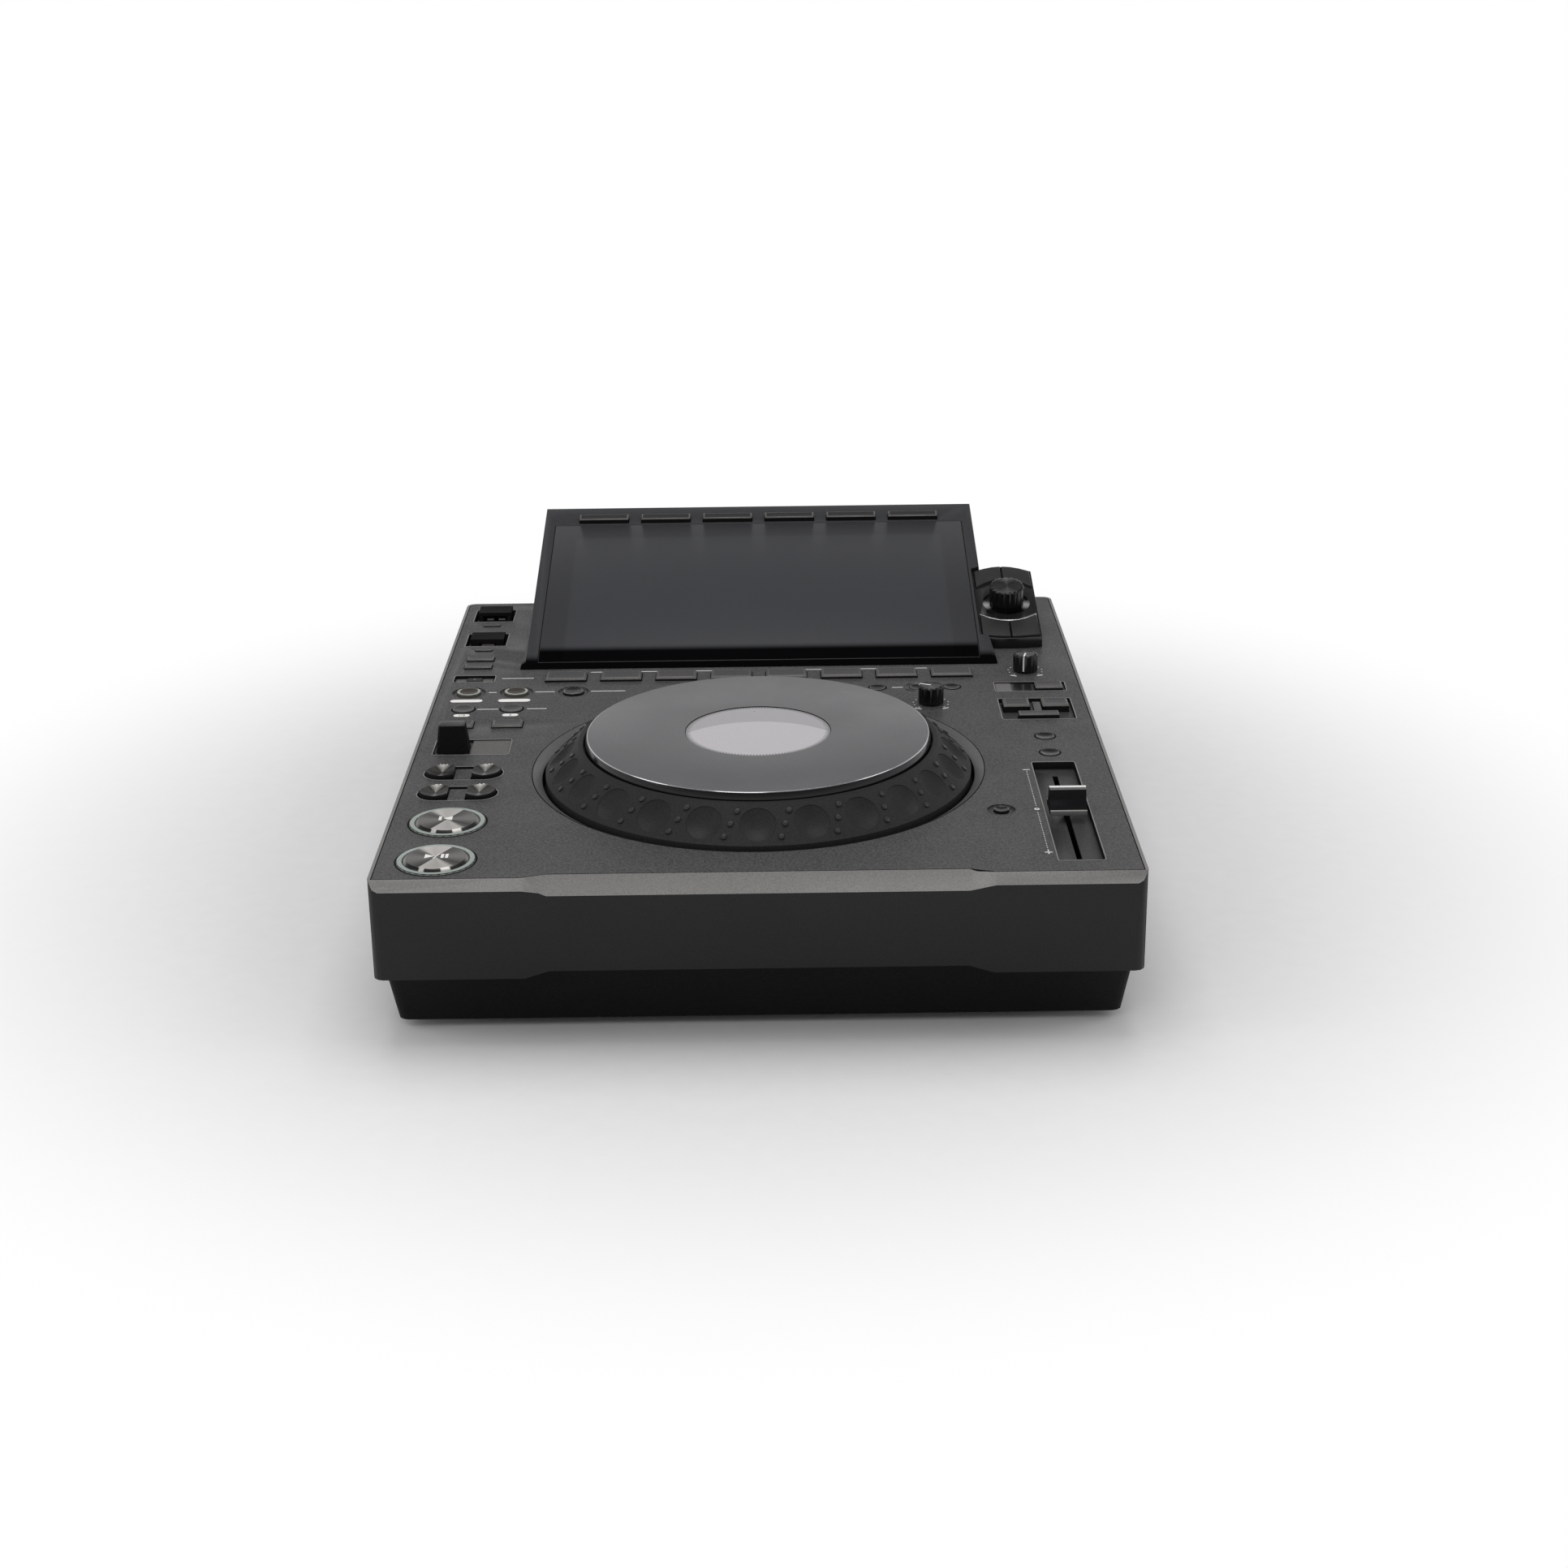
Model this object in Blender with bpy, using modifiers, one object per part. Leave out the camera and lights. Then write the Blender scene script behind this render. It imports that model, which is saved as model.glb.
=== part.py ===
"""A club media player: a flat deck with a jog wheel, a tilted touch display and a tempo slider.

Metres, +Z up, +Y away from the person who plays. The origin is on the table, in the middle of the part's box.
The deck frame has its origin at the middle of the panel's front edge, on the panel's surface.
"""
import math

import bmesh
import bpy
from mathutils import Matrix, Vector

# Clearances and shared small sizes
RUNNING_GAP = 0.0003
SEAT_GAP = 0.0003
CUT_OVERRUN = 0.002
FLANGE_LIP = 0.001
FLANGE_THICKNESS = 0.001
TRAY_FLOOR = 0.002
TRAY_WALL = 0.002
MERGE_DISTANCE = 0.00001
WELD_DISTANCE = 0.000001

# Plan: the jog wheel with a column of controls at each side gives the width, and the left column the depth
JOG_Y = 0.1336
JOG_FUNNEL_RADIUS = 0.1054
JOG_COLUMN_WIDTH = 0.0591
BODY_WIDTH = 2 * (JOG_FUNNEL_RADIUS + JOG_COLUMN_WIDTH)
PLAY_Y = 0.0232
PLAY_TO_CUE = 0.0436
CUE_TO_SEARCH = 0.0355
SEARCH_TO_TRACK_SEARCH = 0.0261
TRACK_SEARCH_TO_DIRECTION = 0.0352
DIRECTION_TO_BEAT_JUMP = 0.0315
BEAT_JUMP_TO_HALF = 0.0233
HALF_TO_LOOP = 0.0258
LOOP_TO_CALL = 0.022
CALL_TO_TIME_MODE = 0.0191
TIME_MODE_TO_QUANTIZE = 0.0127
QUANTIZE_TO_USB_C = 0.0338
USB_C_TO_USB_A = 0.0439
USB_A_REAR_INSET = 0.0238
CUE_Y = PLAY_Y + PLAY_TO_CUE
SEARCH_Y = CUE_Y + CUE_TO_SEARCH
TRACK_SEARCH_Y = SEARCH_Y + SEARCH_TO_TRACK_SEARCH
DIRECTION_Y = TRACK_SEARCH_Y + TRACK_SEARCH_TO_DIRECTION
BEAT_JUMP_Y = DIRECTION_Y + DIRECTION_TO_BEAT_JUMP
HALF_Y = BEAT_JUMP_Y + BEAT_JUMP_TO_HALF
LOOP_Y = HALF_Y + HALF_TO_LOOP
CALL_Y = LOOP_Y + LOOP_TO_CALL
TIME_MODE_Y = CALL_Y + CALL_TO_TIME_MODE
QUANTIZE_Y = TIME_MODE_Y + TIME_MODE_TO_QUANTIZE
USB_C_Y = QUANTIZE_Y + QUANTIZE_TO_USB_C
USB_A_Y = USB_C_Y + USB_C_TO_USB_A
BODY_DEPTH = USB_A_Y + USB_A_REAR_INSET
LOOP_TO_DISPLAY = 0.0388
DISPLAY_Y = LOOP_Y + LOOP_TO_DISPLAY

# Case
PANEL_HEIGHT = 0.0768
CASE_CORNER_RADIUS = 0.0045
CASE_WALL = 0.003
CASE_RIM = 0.0014
CASE_FLOOR = 0.0025
FRONT_WALL = 0.0075
FOOT_HEIGHT = 0.005
FOOT_RADIUS = 0.0125
FOOT_INSET = 0.045
FACE_DROP_SIDE = 0.0454
FACE_DROP_MIDDLE = 0.042
UNDERCUT_FRONT = 0.016
UNDERCUT_SIDE = 0.007
UNDERCUT_REAR = 0.003
WAIST_SHARE = 0.5
CORNER_STEPS = 3
RECESS_CORNER_RADIUS = 0.0012

# Front strip, a chamfer that is deeper between its two knees
KNEE_INSET = 0.0645
KNEE_WIDTH = 0.0108
KNEE_OUTER = BODY_WIDTH / 2 - KNEE_INSET
KNEE_INNER = KNEE_OUTER - KNEE_WIDTH
STRIP_BACK_SIDE = 0.0028
STRIP_BACK_MIDDLE = 0.0062
STRIP_DROP_SIDE = 0.005
STRIP_DROP_MIDDLE = 0.0073

# Top panel
PANEL_THICKNESS = 0.0028
PANEL_GROOVE = 0.0004
PANEL_CORNER_RADIUS = 0.0032

# Jog wheel
JOG_FUNNEL_WIDTH = 0.0044
JOG_WELL_RADIUS = JOG_FUNNEL_RADIUS - JOG_FUNNEL_WIDTH
JOG_WELL_DEPTH = 0.01
JOG_WELL_WALL = 0.0022
JOG_STEPS = 48
SKIRT_FOOT_GAP = 0.0017
SKIRT_RUN = 0.0157
SKIRT_RIM_WIDTH = 0.0024
SKIRT_FOOT_RADIUS = JOG_WELL_RADIUS - SKIRT_FOOT_GAP
SKIRT_TOP_RADIUS = SKIRT_FOOT_RADIUS - SKIRT_RUN
SKIRT_TOP_HEIGHT = 0.0139
SKIRT_HEM_DEPTH = 0.004
SKIRT_WALL = 0.0032
SKIRT_BORE_RADIUS = SKIRT_TOP_RADIUS - SKIRT_RIM_WIDTH
SHELF_WIDTH = 0.0057
SHELF_BORE_RADIUS = SKIRT_BORE_RADIUS - SHELF_WIDTH
SHELF_HEIGHT = 0.0097
SHELF_THICKNESS = 0.0025
DIMPLE_COUNT = 24
DIMPLE_RADIUS = 0.0081
DIMPLE_DEPTH = 0.0017
DIMPLE_SIDES = 12
DIMPLE_BEND_SHARE = 0.5
DIMPLE_BEND_RISE_SHARE = 0.75
DISC_GAP = 0.0007
DISC_BEVEL_WIDTH = 0.001
DISC_RADIUS = SKIRT_BORE_RADIUS - DISC_GAP
DISC_TOP_RADIUS = DISC_RADIUS - DISC_BEVEL_WIDTH
DISC_BEVEL_HEIGHT = 0.0146
DISC_TOP_HEIGHT = 0.0175
DISC_PLATE = 0.003
DISC_FLANGE_WIDTH = 0.005
WINDOW_RADIUS = 0.0338
WINDOW_TOP_HEIGHT = 0.0172
WINDOW_THICKNESS = 0.003
CUP_WALL = 0.003
CUP_WEB_THICKNESS = 0.003
HUB_WALL = 0.0036
HUB_DEPTH = 0.0058
POST_RADIUS = 0.012
POST_STEPS = 24
BEARING_HEIGHT = 0.0035
BEARING_WALL = 0.003

# Display
DISPLAY_TILT = math.radians(13.1)
DISPLAY_Z = 0.0023
PANEL_BESIDE_DISPLAY = 0.0425
FRAME_FOOT_FLARE = 0.0027
FRAME_HALF_WIDTH = BODY_WIDTH / 2 - PANEL_BESIDE_DISPLAY
FRAME_FOOT_HALF_WIDTH = FRAME_HALF_WIDTH + FRAME_FOOT_FLARE
FRAME_FOOT_REACH = 0.003
FRAME_LENGTH = 0.1718
FRAME_REAR_DROP = 0.011
FRAME_FOOT_REAR_INSET = 0.0075
FRAME_FOOT_END_Y = BODY_DEPTH - FRAME_FOOT_REAR_INSET
FRAME_PLATE = 0.0042
FRAME_WALL = 0.0028
FRAME_FOOT_LAND = 0.0065
FRAME_BORDER = 0.0063
GLASS_WIDTH = 2 * (FRAME_HALF_WIDTH - FRAME_BORDER)
GLASS_FRONT = 0.0012
GLASS_REAR_BORDER = 0.0208
GLASS_REAR = FRAME_LENGTH - GLASS_REAR_BORDER
GLASS_THICKNESS = 0.0011
SOURCE_KEY_COUNT = 6
SOURCE_ROW_MARGIN = 0.0161
SOURCE_KEY_SPACE = 0.0075
SOURCE_KEY_PITCH = 2 * (FRAME_HALF_WIDTH - SOURCE_ROW_MARGIN) / SOURCE_KEY_COUNT
SOURCE_KEY_WIDTH = SOURCE_KEY_PITCH - SOURCE_KEY_SPACE
SOURCE_KEY_DEPTH = 0.0062
SOURCE_KEY_REAR_INSET = 0.0151
SOURCE_KEY_SLOPE_Y = FRAME_LENGTH - SOURCE_KEY_REAR_INSET
SOURCE_KEY_RISE = 0.0026

# Selector pod
POD_BEHIND_DISPLAY_EDGE = 0.022
POD_Y = DISPLAY_Y + POD_BEHIND_DISPLAY_EDGE
POD_Z = 0.0055
POD_HALF_WIDTH = 0.0163
POD_BITE = 0.0041
POD_X = FRAME_HALF_WIDTH - POD_BITE + POD_HALF_WIDTH
POD_FRONT_SIDE = 0.0024
POD_FRONT_BOW = 0.0018
POD_REAR_SIDE = 0.0725
POD_REAR_BOW = 0.0055
POD_PLATE = 0.003
POD_WALL = 0.0024
POD_KEY_INSET = 0.0011
POD_KEY_RISE = 0.0011
POD_KEY_SPLIT = 0.0008
POD_REAR_KEY_SIDE = 0.0545
POD_REAR_KEY_BOW = 0.0085
POD_FRONT_KEY_SIDE = 0.024
POD_FRONT_KEY_BOW = 0.0067
POD_RIDGE_GAP = 0.0006
POD_RIDGE_WIDTH = 0.0012
POD_RIDGE_RISE = 0.0008
SELECTOR_SLOPE_Y = 0.0385
SELECTOR_WELL_RADIUS = 0.0128
SELECTOR_WELL_DEPTH = 0.0014
SELECTOR_RADIUS = 0.0092
SELECTOR_HEIGHT = 0.011
SELECTOR_FLUTES = 18
SELECTOR_FLUTE_DEPTH = 0.0005
POD_GAP = 0.0004
ARC_STEPS = 6

# Knobs on the panel
KNOB_RADIUS = 0.0063
KNOB_HEIGHT = 0.0095
KNOB_FLUTES = 12
KNOB_FLUTE_DEPTH = 0.0005
KNOB_CROWN = 0.0009
KNOB_LIFT = 0.0006
SHAFT_RADIUS = 0.003
COLLAR_RADIUS = 0.005
COLLAR_THICKNESS = 0.0015
JOG_ADJUST_INSET = 0.0785
JOG_ADJUST_X = BODY_WIDTH / 2 - JOG_ADJUST_INSET
JOG_ADJUST_FRONT_SPACE = 0.0635
JOG_ADJUST_Y = DISPLAY_Y - JOG_ADJUST_FRONT_SPACE

# Left column
LEFT_INSET = 0.0172
USB_INSET = 0.0177
LEFT_X = LEFT_INSET - BODY_WIDTH / 2
USB_X = USB_INSET - BODY_WIDTH / 2
USB_RECESS_WIDTH = 0.0216
USB_RECESS_LENGTH = 0.0213
USB_RECESS_DEPTH = 0.0052
USB_LIP_DEPTH = 0.0006
USB_RAMP_LENGTH = 0.0036
USB_HOOD_BACK = 0.0002
USB_HOOD_WIDTH = 0.0179
USB_HOOD_LENGTH = 0.0125
USB_HOOD_RISE = 0.0025
USB_C_HOOD_RISE = 0.0011
USB_A_MOUTH_WIDTH = 0.0132
USB_A_MOUTH_HEIGHT = 0.0052
USB_C_MOUTH_WIDTH = 0.0092
USB_C_MOUTH_HEIGHT = 0.0034
USB_MOUTH_DEPTH = 0.0095
USB_MOUTH_LIFT = 0.0006
STOP_KEY_WIDTH = 0.0087
STOP_KEY_DEPTH = 0.0022
STOP_KEY_RISE = 0.0006
STOP_KEY_OFFSET = 0.0184
MODE_KEY_WIDTH = 0.0142
MODE_KEY_DEPTH = 0.0062
MODE_KEY_RISE = 0.0011
CALL_RECESS_WIDTH = 0.0209
CALL_RECESS_LENGTH = 0.0104
CALL_RECESS_DEPTH = 0.0016
CALL_KEY_WIDTH = 0.0077
CALL_KEY_DEPTH = 0.0048
CALL_KEY_RISE = 0.0014
LOOP_PITCH = 0.0241
RELOOP_PITCH = 0.029
LOOP_OUT_X = LEFT_X + LOOP_PITCH
RELOOP_X = LOOP_OUT_X + RELOOP_PITCH
LOOP_DISH_RADIUS = 0.0086
RELOOP_DISH_RADIUS = 0.008
LOOP_DISH_DEPTH = 0.0008
LOOP_CAP_RADIUS = 0.006
LOOP_CAP_RISE = 0.0018
LOOP_CAP_EDGE = 0.0004
RELOOP_CAP_RADIUS = 0.0053
RELOOP_CAP_RISE = 0.0017
HALF_CAP_RADIUS = 0.0053
HALF_CAP_RISE = 0.0008
BEAT_JUMP_WIDTH = 0.0149
BEAT_JUMP_DEPTH = 0.0095
BEAT_JUMP_RISE = 0.0013
DIRECTION_INSET = 0.0274
DIRECTION_X = DIRECTION_INSET - BODY_WIDTH / 2
DIRECTION_RECESS_WIDTH = 0.0359
DIRECTION_RECESS_LENGTH = 0.0205
DIRECTION_RECESS_DEPTH = 0.0014
LEVER_SHIFT_X = 0.0085
LEVER_SHIFT_Y = 0.0034
LEVER_X = DIRECTION_X - LEVER_SHIFT_X
LEVER_Y = DIRECTION_Y - LEVER_SHIFT_Y
LEVER_WIDTH = 0.0157
LEVER_TOP_WIDTH = 0.0122
LEVER_DEPTH = 0.0096
LEVER_TOP_DEPTH = 0.0068
LEVER_RISE = 0.0138
LEVER_EDGE_RADIUS = 0.0008
LEVER_SKIRT_LIFT = 0.0012
LEVER_NECK_WIDTH = 0.008
LEVER_NECK_DEPTH = 0.005
LEVER_PIVOT_DEPTH = 0.0105
LEVER_AXLE_RADIUS = 0.0018
LEVER_HUB_RADIUS = 0.0036
LEVER_EAR_WIDTH = 0.0024
LEVER_EAR_HALF_DEPTH = 0.0042
LEVER_SWING = math.radians(9)
SEARCH_INSET = 0.0271
SEARCH_X = SEARCH_INSET - BODY_WIDTH / 2
SEARCH_SPACING = 0.0199
SEARCH_RECESS_WIDTH = 0.0368
SEARCH_RECESS_DEPTH = 0.0016
SEARCH_RECESS_MARGIN = 0.0008
SEARCH_CAP_RADIUS = 0.0078
SEARCH_CAP_RISE = 0.0034
SEARCH_CAP_EDGE = 0.0009
CAPSULE_STEPS = 6
CUE_INSET = 0.0267
CUE_X = CUE_INSET - BODY_WIDTH / 2
CUE_RING_RADIUS = 0.0169
CUE_RING_RISE = 0.0006
CUE_CAP_RADIUS = 0.0142
CUE_CAP_RISE = 0.0016
CUE_CAP_EDGE = 0.001

# Middle rows
HOT_CUE_COUNT = 8
HOT_CUE_ROW_MARGIN = 0.00852
HOT_CUE_SPACE = 0.00737
HOT_CUE_PITCH = 2 * (FRAME_HALF_WIDTH - HOT_CUE_ROW_MARGIN) / HOT_CUE_COUNT
HOT_CUE_FRONT_SPACE = 0.0176
HOT_CUE_Y = DISPLAY_Y - HOT_CUE_FRONT_SPACE
HOT_CUE_WIDTH = HOT_CUE_PITCH - HOT_CUE_SPACE
HOT_CUE_DEPTH = 0.012
HOT_CUE_RISE = 0.002
CUE_MEMORY_FRONT_SPACE = 0.0389
CUE_MEMORY_Y = DISPLAY_Y - CUE_MEMORY_FRONT_SPACE
CUE_MEMORY_INSET = 0.0664
CUE_MEMORY_PITCH = 0.0175
CUE_DELETE_PITCH = 0.0203
CUE_MEMORY_X = BODY_WIDTH / 2 - CUE_MEMORY_INSET
CUE_DELETE_X = CUE_MEMORY_X - CUE_MEMORY_PITCH
CUE_CALL_X = CUE_DELETE_X - CUE_DELETE_PITCH
CUE_MEMORY_RADIUS = 0.004
CUE_MEMORY_RISE = 0.0004

# Right column, from the slider back
RIGHT_INSET = 0.0267
RIGHT_X = BODY_WIDTH / 2 - RIGHT_INSET
SLIDER_FRONT_MARGIN = 0.0142
SLIDER_RECESS_WIDTH = 0.0199
SLIDER_RECESS_LENGTH = 0.119
SLIDER_RECESS_DEPTH = 0.0036
SLIDER_Y = SLIDER_FRONT_MARGIN + SLIDER_RECESS_LENGTH / 2
SLIDER_CAP_WIDTH = 0.0164
SLIDER_CAP_LENGTH = 0.016
SLIDER_CAP_RISE = 0.0107
SLIDER_CAP_LIFT = 0.0033
SLIDER_END_GAP = 0.0063
SLIDER_TRAVEL = (SLIDER_RECESS_LENGTH - SLIDER_CAP_LENGTH) / 2 - SLIDER_END_GAP
SLIDER_LIP_HEIGHT = 0.0023
SLIDER_RIDGE_LENGTH = 0.0021
SLIDER_RIDGE_EDGE = 0.0009
SLIDER_HOLLOW = 0.0028
SLIDER_HOLLOW_STEPS = 4
SLIDER_STEM_WIDTH = 0.0018
SLIDER_STEM_LENGTH = 0.009
SLIDER_SLOT_GAP = 0.0003
SLIDER_CARRIAGE_WIDTH = 0.011
SLIDER_CARRIAGE_LENGTH = 0.016
SLIDER_CARRIAGE_THICKNESS = 0.003
TEMPO_RESET_INSET = 0.056
TEMPO_RESET_X = BODY_WIDTH / 2 - TEMPO_RESET_INSET
TEMPO_RESET_DISH_RADIUS = 0.0064
TEMPO_RESET_DISH_DEPTH = 0.0009
TEMPO_RESET_RADIUS = 0.0034
TEMPO_RESET_RISE = 0.0016
MASTER_TEMPO_SPACE = 0.013
TEMPO_BUTTON_PITCH = 0.0227
TEMPO_BUTTON_RADIUS = 0.0045
TEMPO_BUTTON_RISE = 0.0004
MASTER_TEMPO_Y = SLIDER_Y + SLIDER_RECESS_LENGTH / 2 + MASTER_TEMPO_SPACE
TEMPO_RANGE_Y = MASTER_TEMPO_Y + TEMPO_BUTTON_PITCH
SYNC_SPACE = 0.0401
SYNC_Y = TEMPO_RANGE_Y + SYNC_SPACE
SYNC_RECESS_WIDTH = 0.0359
SYNC_RECESS_LENGTH = 0.0308
SYNC_RECESS_DEPTH = 0.0022
SYNC_KEY_WIDTH = 0.0132
SYNC_KEY_DEPTH = 0.0112
SYNC_KEY_RISE = 0.004
SYNC_REAR_OFFSET = 0.0064
SYNC_FRONT_OFFSET = 0.0104
SYNC_SIDE_OFFSET = 0.0096
MASTER_KEY_WIDTH = 0.0198
MASTER_KEY_DEPTH = 0.0062
MASTER_STEM_WIDTH = 0.0038
MASTER_STEM_LENGTH = 0.0131
MASTER_STEM_THICKNESS = 0.0018
MASTER_STEM_DROP = 0.0002
JOG_MODE_SPACE = 0.034
JOG_MODE_Y = SYNC_Y + JOG_MODE_SPACE
JOG_MODE_RECESS_WIDTH = 0.0356
JOG_MODE_RECESS_LENGTH = 0.014
JOG_MODE_RECESS_DEPTH = 0.0012
JOG_MODE_KEY_SHIFT = 0.0094
JOG_MODE_KEY_X = RIGHT_X + JOG_MODE_KEY_SHIFT
JOG_MODE_KEY_WIDTH = 0.0139
JOG_MODE_KEY_DEPTH = 0.0098
JOG_MODE_KEY_RISE = 0.0027
VINYL_SPEED_SPACE = 0.0256
VINYL_SPEED_Y = JOG_MODE_Y + VINYL_SPEED_SPACE

# Rear wall
SOCKET_HEIGHT = -0.0352
SOCKET_WALL = 0.0015
INLET_INSET = 0.0365
INLET_X = BODY_WIDTH / 2 - INLET_INSET
INLET_WIDTH = 0.0275
INLET_HEIGHT = 0.0195
INLET_DEPTH = 0.016
POWER_BUTTON_SPACE = 0.033
POWER_BUTTON_X = INLET_X - POWER_BUTTON_SPACE
POWER_BUTTON_RADIUS = 0.0055
POWER_BUTTON_RISE = 0.0022
NETWORK_X = -0.01
NETWORK_WIDTH = 0.012
NETWORK_HEIGHT = 0.0085
USB_B_X = -0.045
USB_B_WIDTH = 0.0086
USB_B_HEIGHT = 0.008
SIGNAL_SOCKET_DEPTH = 0.012
PHONO_X_SHARES = (-0.28, -0.37, -0.43)
PHONO_RADIUS = 0.0042
PHONO_BORE_RADIUS = 0.0016
PHONO_LENGTH = 0.0085
PHONO_NUT_RADIUS = 0.0062
PHONO_NUT_THICKNESS = 0.0015
LOCK_INSET = 0.0125
LOCK_X = LOCK_INSET - BODY_WIDTH / 2
LOCK_WIDTH = 0.007
LOCK_HEIGHT = 0.003

# Shares of a control's own size
KEY_EDGE_SHARE = 0.09
DISH_SHARE = 0.3
CAP_EDGE_SHARE = 0.35
SMALL_CAP_STEPS = 16
LARGE_CAP_STEPS = 32

# Finishes: colour, metallic, roughness
PANEL_GREY = ((0.060, 0.058, 0.060), 0.35, 0.5)
STRIP_GREY = ((0.055, 0.054, 0.055), 0.4, 0.42)
RUBBER = ((0.020, 0.020, 0.021), 0.0, 0.7)
SOFT_BLACK = ((0.022, 0.022, 0.023), 0.0, 0.5)
GLOSS_BLACK = ((0.008, 0.008, 0.009), 0.0, 0.15)
GLASS_BLACK = ((0.006, 0.006, 0.008), 0.0, 0.05)
KEY_GREY = ((0.045, 0.044, 0.045), 0.1, 0.55)
SPUN_STEEL = ((0.62, 0.60, 0.57), 1.0, 0.25)
DARK_METAL = ((0.12, 0.12, 0.12), 0.9, 0.3)
OLIVE_LENS = ((0.10, 0.10, 0.085), 0.0, 0.35)
DISC_GREY = ((0.16, 0.16, 0.165), 0.3, 0.35)
WINDOW_GREY = ((0.42, 0.40, 0.42), 0.0, 0.25)


def overall_depth():
    """The reach from the front face to the display's rear edge."""
    rear_of_plane = DISPLAY_Y + FRAME_LENGTH * math.cos(DISPLAY_TILT)
    return rear_of_plane + FRAME_REAR_DROP * math.sin(DISPLAY_TILT)


# Collections, frames and finishes

def new_collection(name, parent):
    collection = bpy.data.collections.new(name)
    parent.children.link(collection)
    return collection


def new_frame(name, location, tilt, parent):
    """An empty that carries the pieces of one plane."""
    frame = bpy.data.objects.new(name, None)
    frame.location = location
    frame.rotation_euler = (tilt, 0, 0)
    frame.parent = parent
    PARTS.objects.link(frame)
    return frame


def finish(name, look):
    """The piece's own material, from one of the shared looks."""
    colour, metallic, roughness = look
    material = bpy.data.materials.new(name + "_finish")
    material.use_nodes = True
    shader = material.node_tree.nodes["Principled BSDF"]
    shader.inputs["Base Color"].default_value = (*colour, 1)
    shader.inputs["Metallic"].default_value = metallic
    shader.inputs["Roughness"].default_value = roughness
    return material


def place(name, mesh, frame, location=(0, 0, 0), look=None, collection=None):
    """One object from a mesh: a part when it has a look, and a hidden tool when it has none."""
    piece = bpy.data.objects.new(name, mesh)
    piece.parent = frame
    piece.location = location
    if look is None:
        piece.hide_render = True
        piece.display_type = "WIRE"
        collection.objects.link(piece)
        return piece
    if mesh.users > 1:
        piece.data = mesh.copy()
    piece.data.materials.clear()
    piece.data.materials.append(finish(name, look))
    PARTS.objects.link(piece)
    return piece


def combine(target, operation, tools):
    """A Boolean with every object of a tool collection."""
    modifier = target.modifiers.new(tools.name, "BOOLEAN")
    modifier.operation = operation
    modifier.solver = "EXACT"
    modifier.operand_type = "COLLECTION"
    modifier.collection = tools
    weld = target.modifiers.new(tools.name + "_weld", "WELD")
    weld.merge_threshold = WELD_DISTANCE


def mesh_from(bm, name):
    mesh = bpy.data.meshes.new(name)
    bmesh.ops.recalc_face_normals(bm, faces=bm.faces)
    bm.to_mesh(mesh)
    bm.free()
    return mesh


# Outlines

def arc_points(centre, radius, start, end, steps):
    """Points along a round arc, both ends included."""
    points = []
    for step in range(steps + 1):
        angle = start + (end - start) * step / steps
        points.append((centre[0] + radius * math.cos(angle), centre[1] + radius * math.sin(angle)))
    return points


def rounded_rectangle(width, depth, radius, centre=(0, 0), steps=CORNER_STEPS):
    """A rectangle's outline with quarter-round corners, counter-clockwise."""
    points = []
    corners = ((1, 1), (-1, 1), (-1, -1), (1, -1))
    for index, (side_x, side_y) in enumerate(corners):
        corner = (centre[0] + side_x * (width / 2 - radius), centre[1] + side_y * (depth / 2 - radius))
        start = index * math.pi / 2
        points.extend(arc_points(corner, radius, start, start + math.pi / 2, steps))
    return points


def bow(start, end, height, steps=ARC_STEPS):
    """Points from start to end that swell by height in Y at the middle, as a shallow arc does."""
    points = []
    for step in range(steps + 1):
        share = step / steps
        swell = height * (1 - (2 * share - 1) ** 2)
        points.append((start[0] + (end[0] - start[0]) * share, start[1] + (end[1] - start[1]) * share + swell))
    return points


def wavy_circle(radius, depth, waves):
    """A knob's fluted outline."""
    points = []
    count = waves * 2
    for index in range(count):
        angle = index * math.pi / waves
        reach = radius if index % 2 else radius - depth
        points.append((reach * math.cos(angle), reach * math.sin(angle)))
    return points


def along_slope(points, front_y):
    """Outline points measured up the slope, as plan points on the deck."""
    return [(x, front_y + slope_y * math.cos(DISPLAY_TILT)) for x, slope_y in points]


# Meshes

def outline_slab(name, points, low, high):
    """A flat outline, filled and thickened from low to high."""
    curve = bpy.data.curves.new(name, "CURVE")
    curve.dimensions = "2D"
    curve.fill_mode = "BOTH"
    curve.extrude = (high - low) / 2
    spline = curve.splines.new("POLY")
    spline.points.add(len(points) - 1)
    for point, (x, y) in zip(spline.points, points):
        point.co = (x, y, 0, 1)
    spline.use_cyclic_u = True
    flat = bpy.data.objects.new(name, curve)
    mesh = bpy.data.meshes.new_from_object(flat)
    bpy.data.objects.remove(flat)
    bpy.data.curves.remove(curve)
    bm = bmesh.new()
    bm.from_mesh(mesh)
    bmesh.ops.remove_doubles(bm, verts=bm.verts, dist=MERGE_DISTANCE)
    bmesh.ops.dissolve_limit(bm, angle_limit=math.radians(1), verts=bm.verts, edges=bm.edges)
    bmesh.ops.translate(bm, vec=(0, 0, (low + high) / 2), verts=bm.verts)
    bpy.data.meshes.remove(mesh)
    return mesh_from(bm, name)


def box_mesh(name, low, high):
    """A box between two corners."""
    bm = bmesh.new()
    bmesh.ops.create_cube(bm, size=1)
    size = Vector(high) - Vector(low)
    centre = (Vector(high) + Vector(low)) / 2
    bmesh.ops.scale(bm, vec=size, verts=bm.verts)
    bmesh.ops.translate(bm, vec=centre, verts=bm.verts)
    return mesh_from(bm, name)


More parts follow.
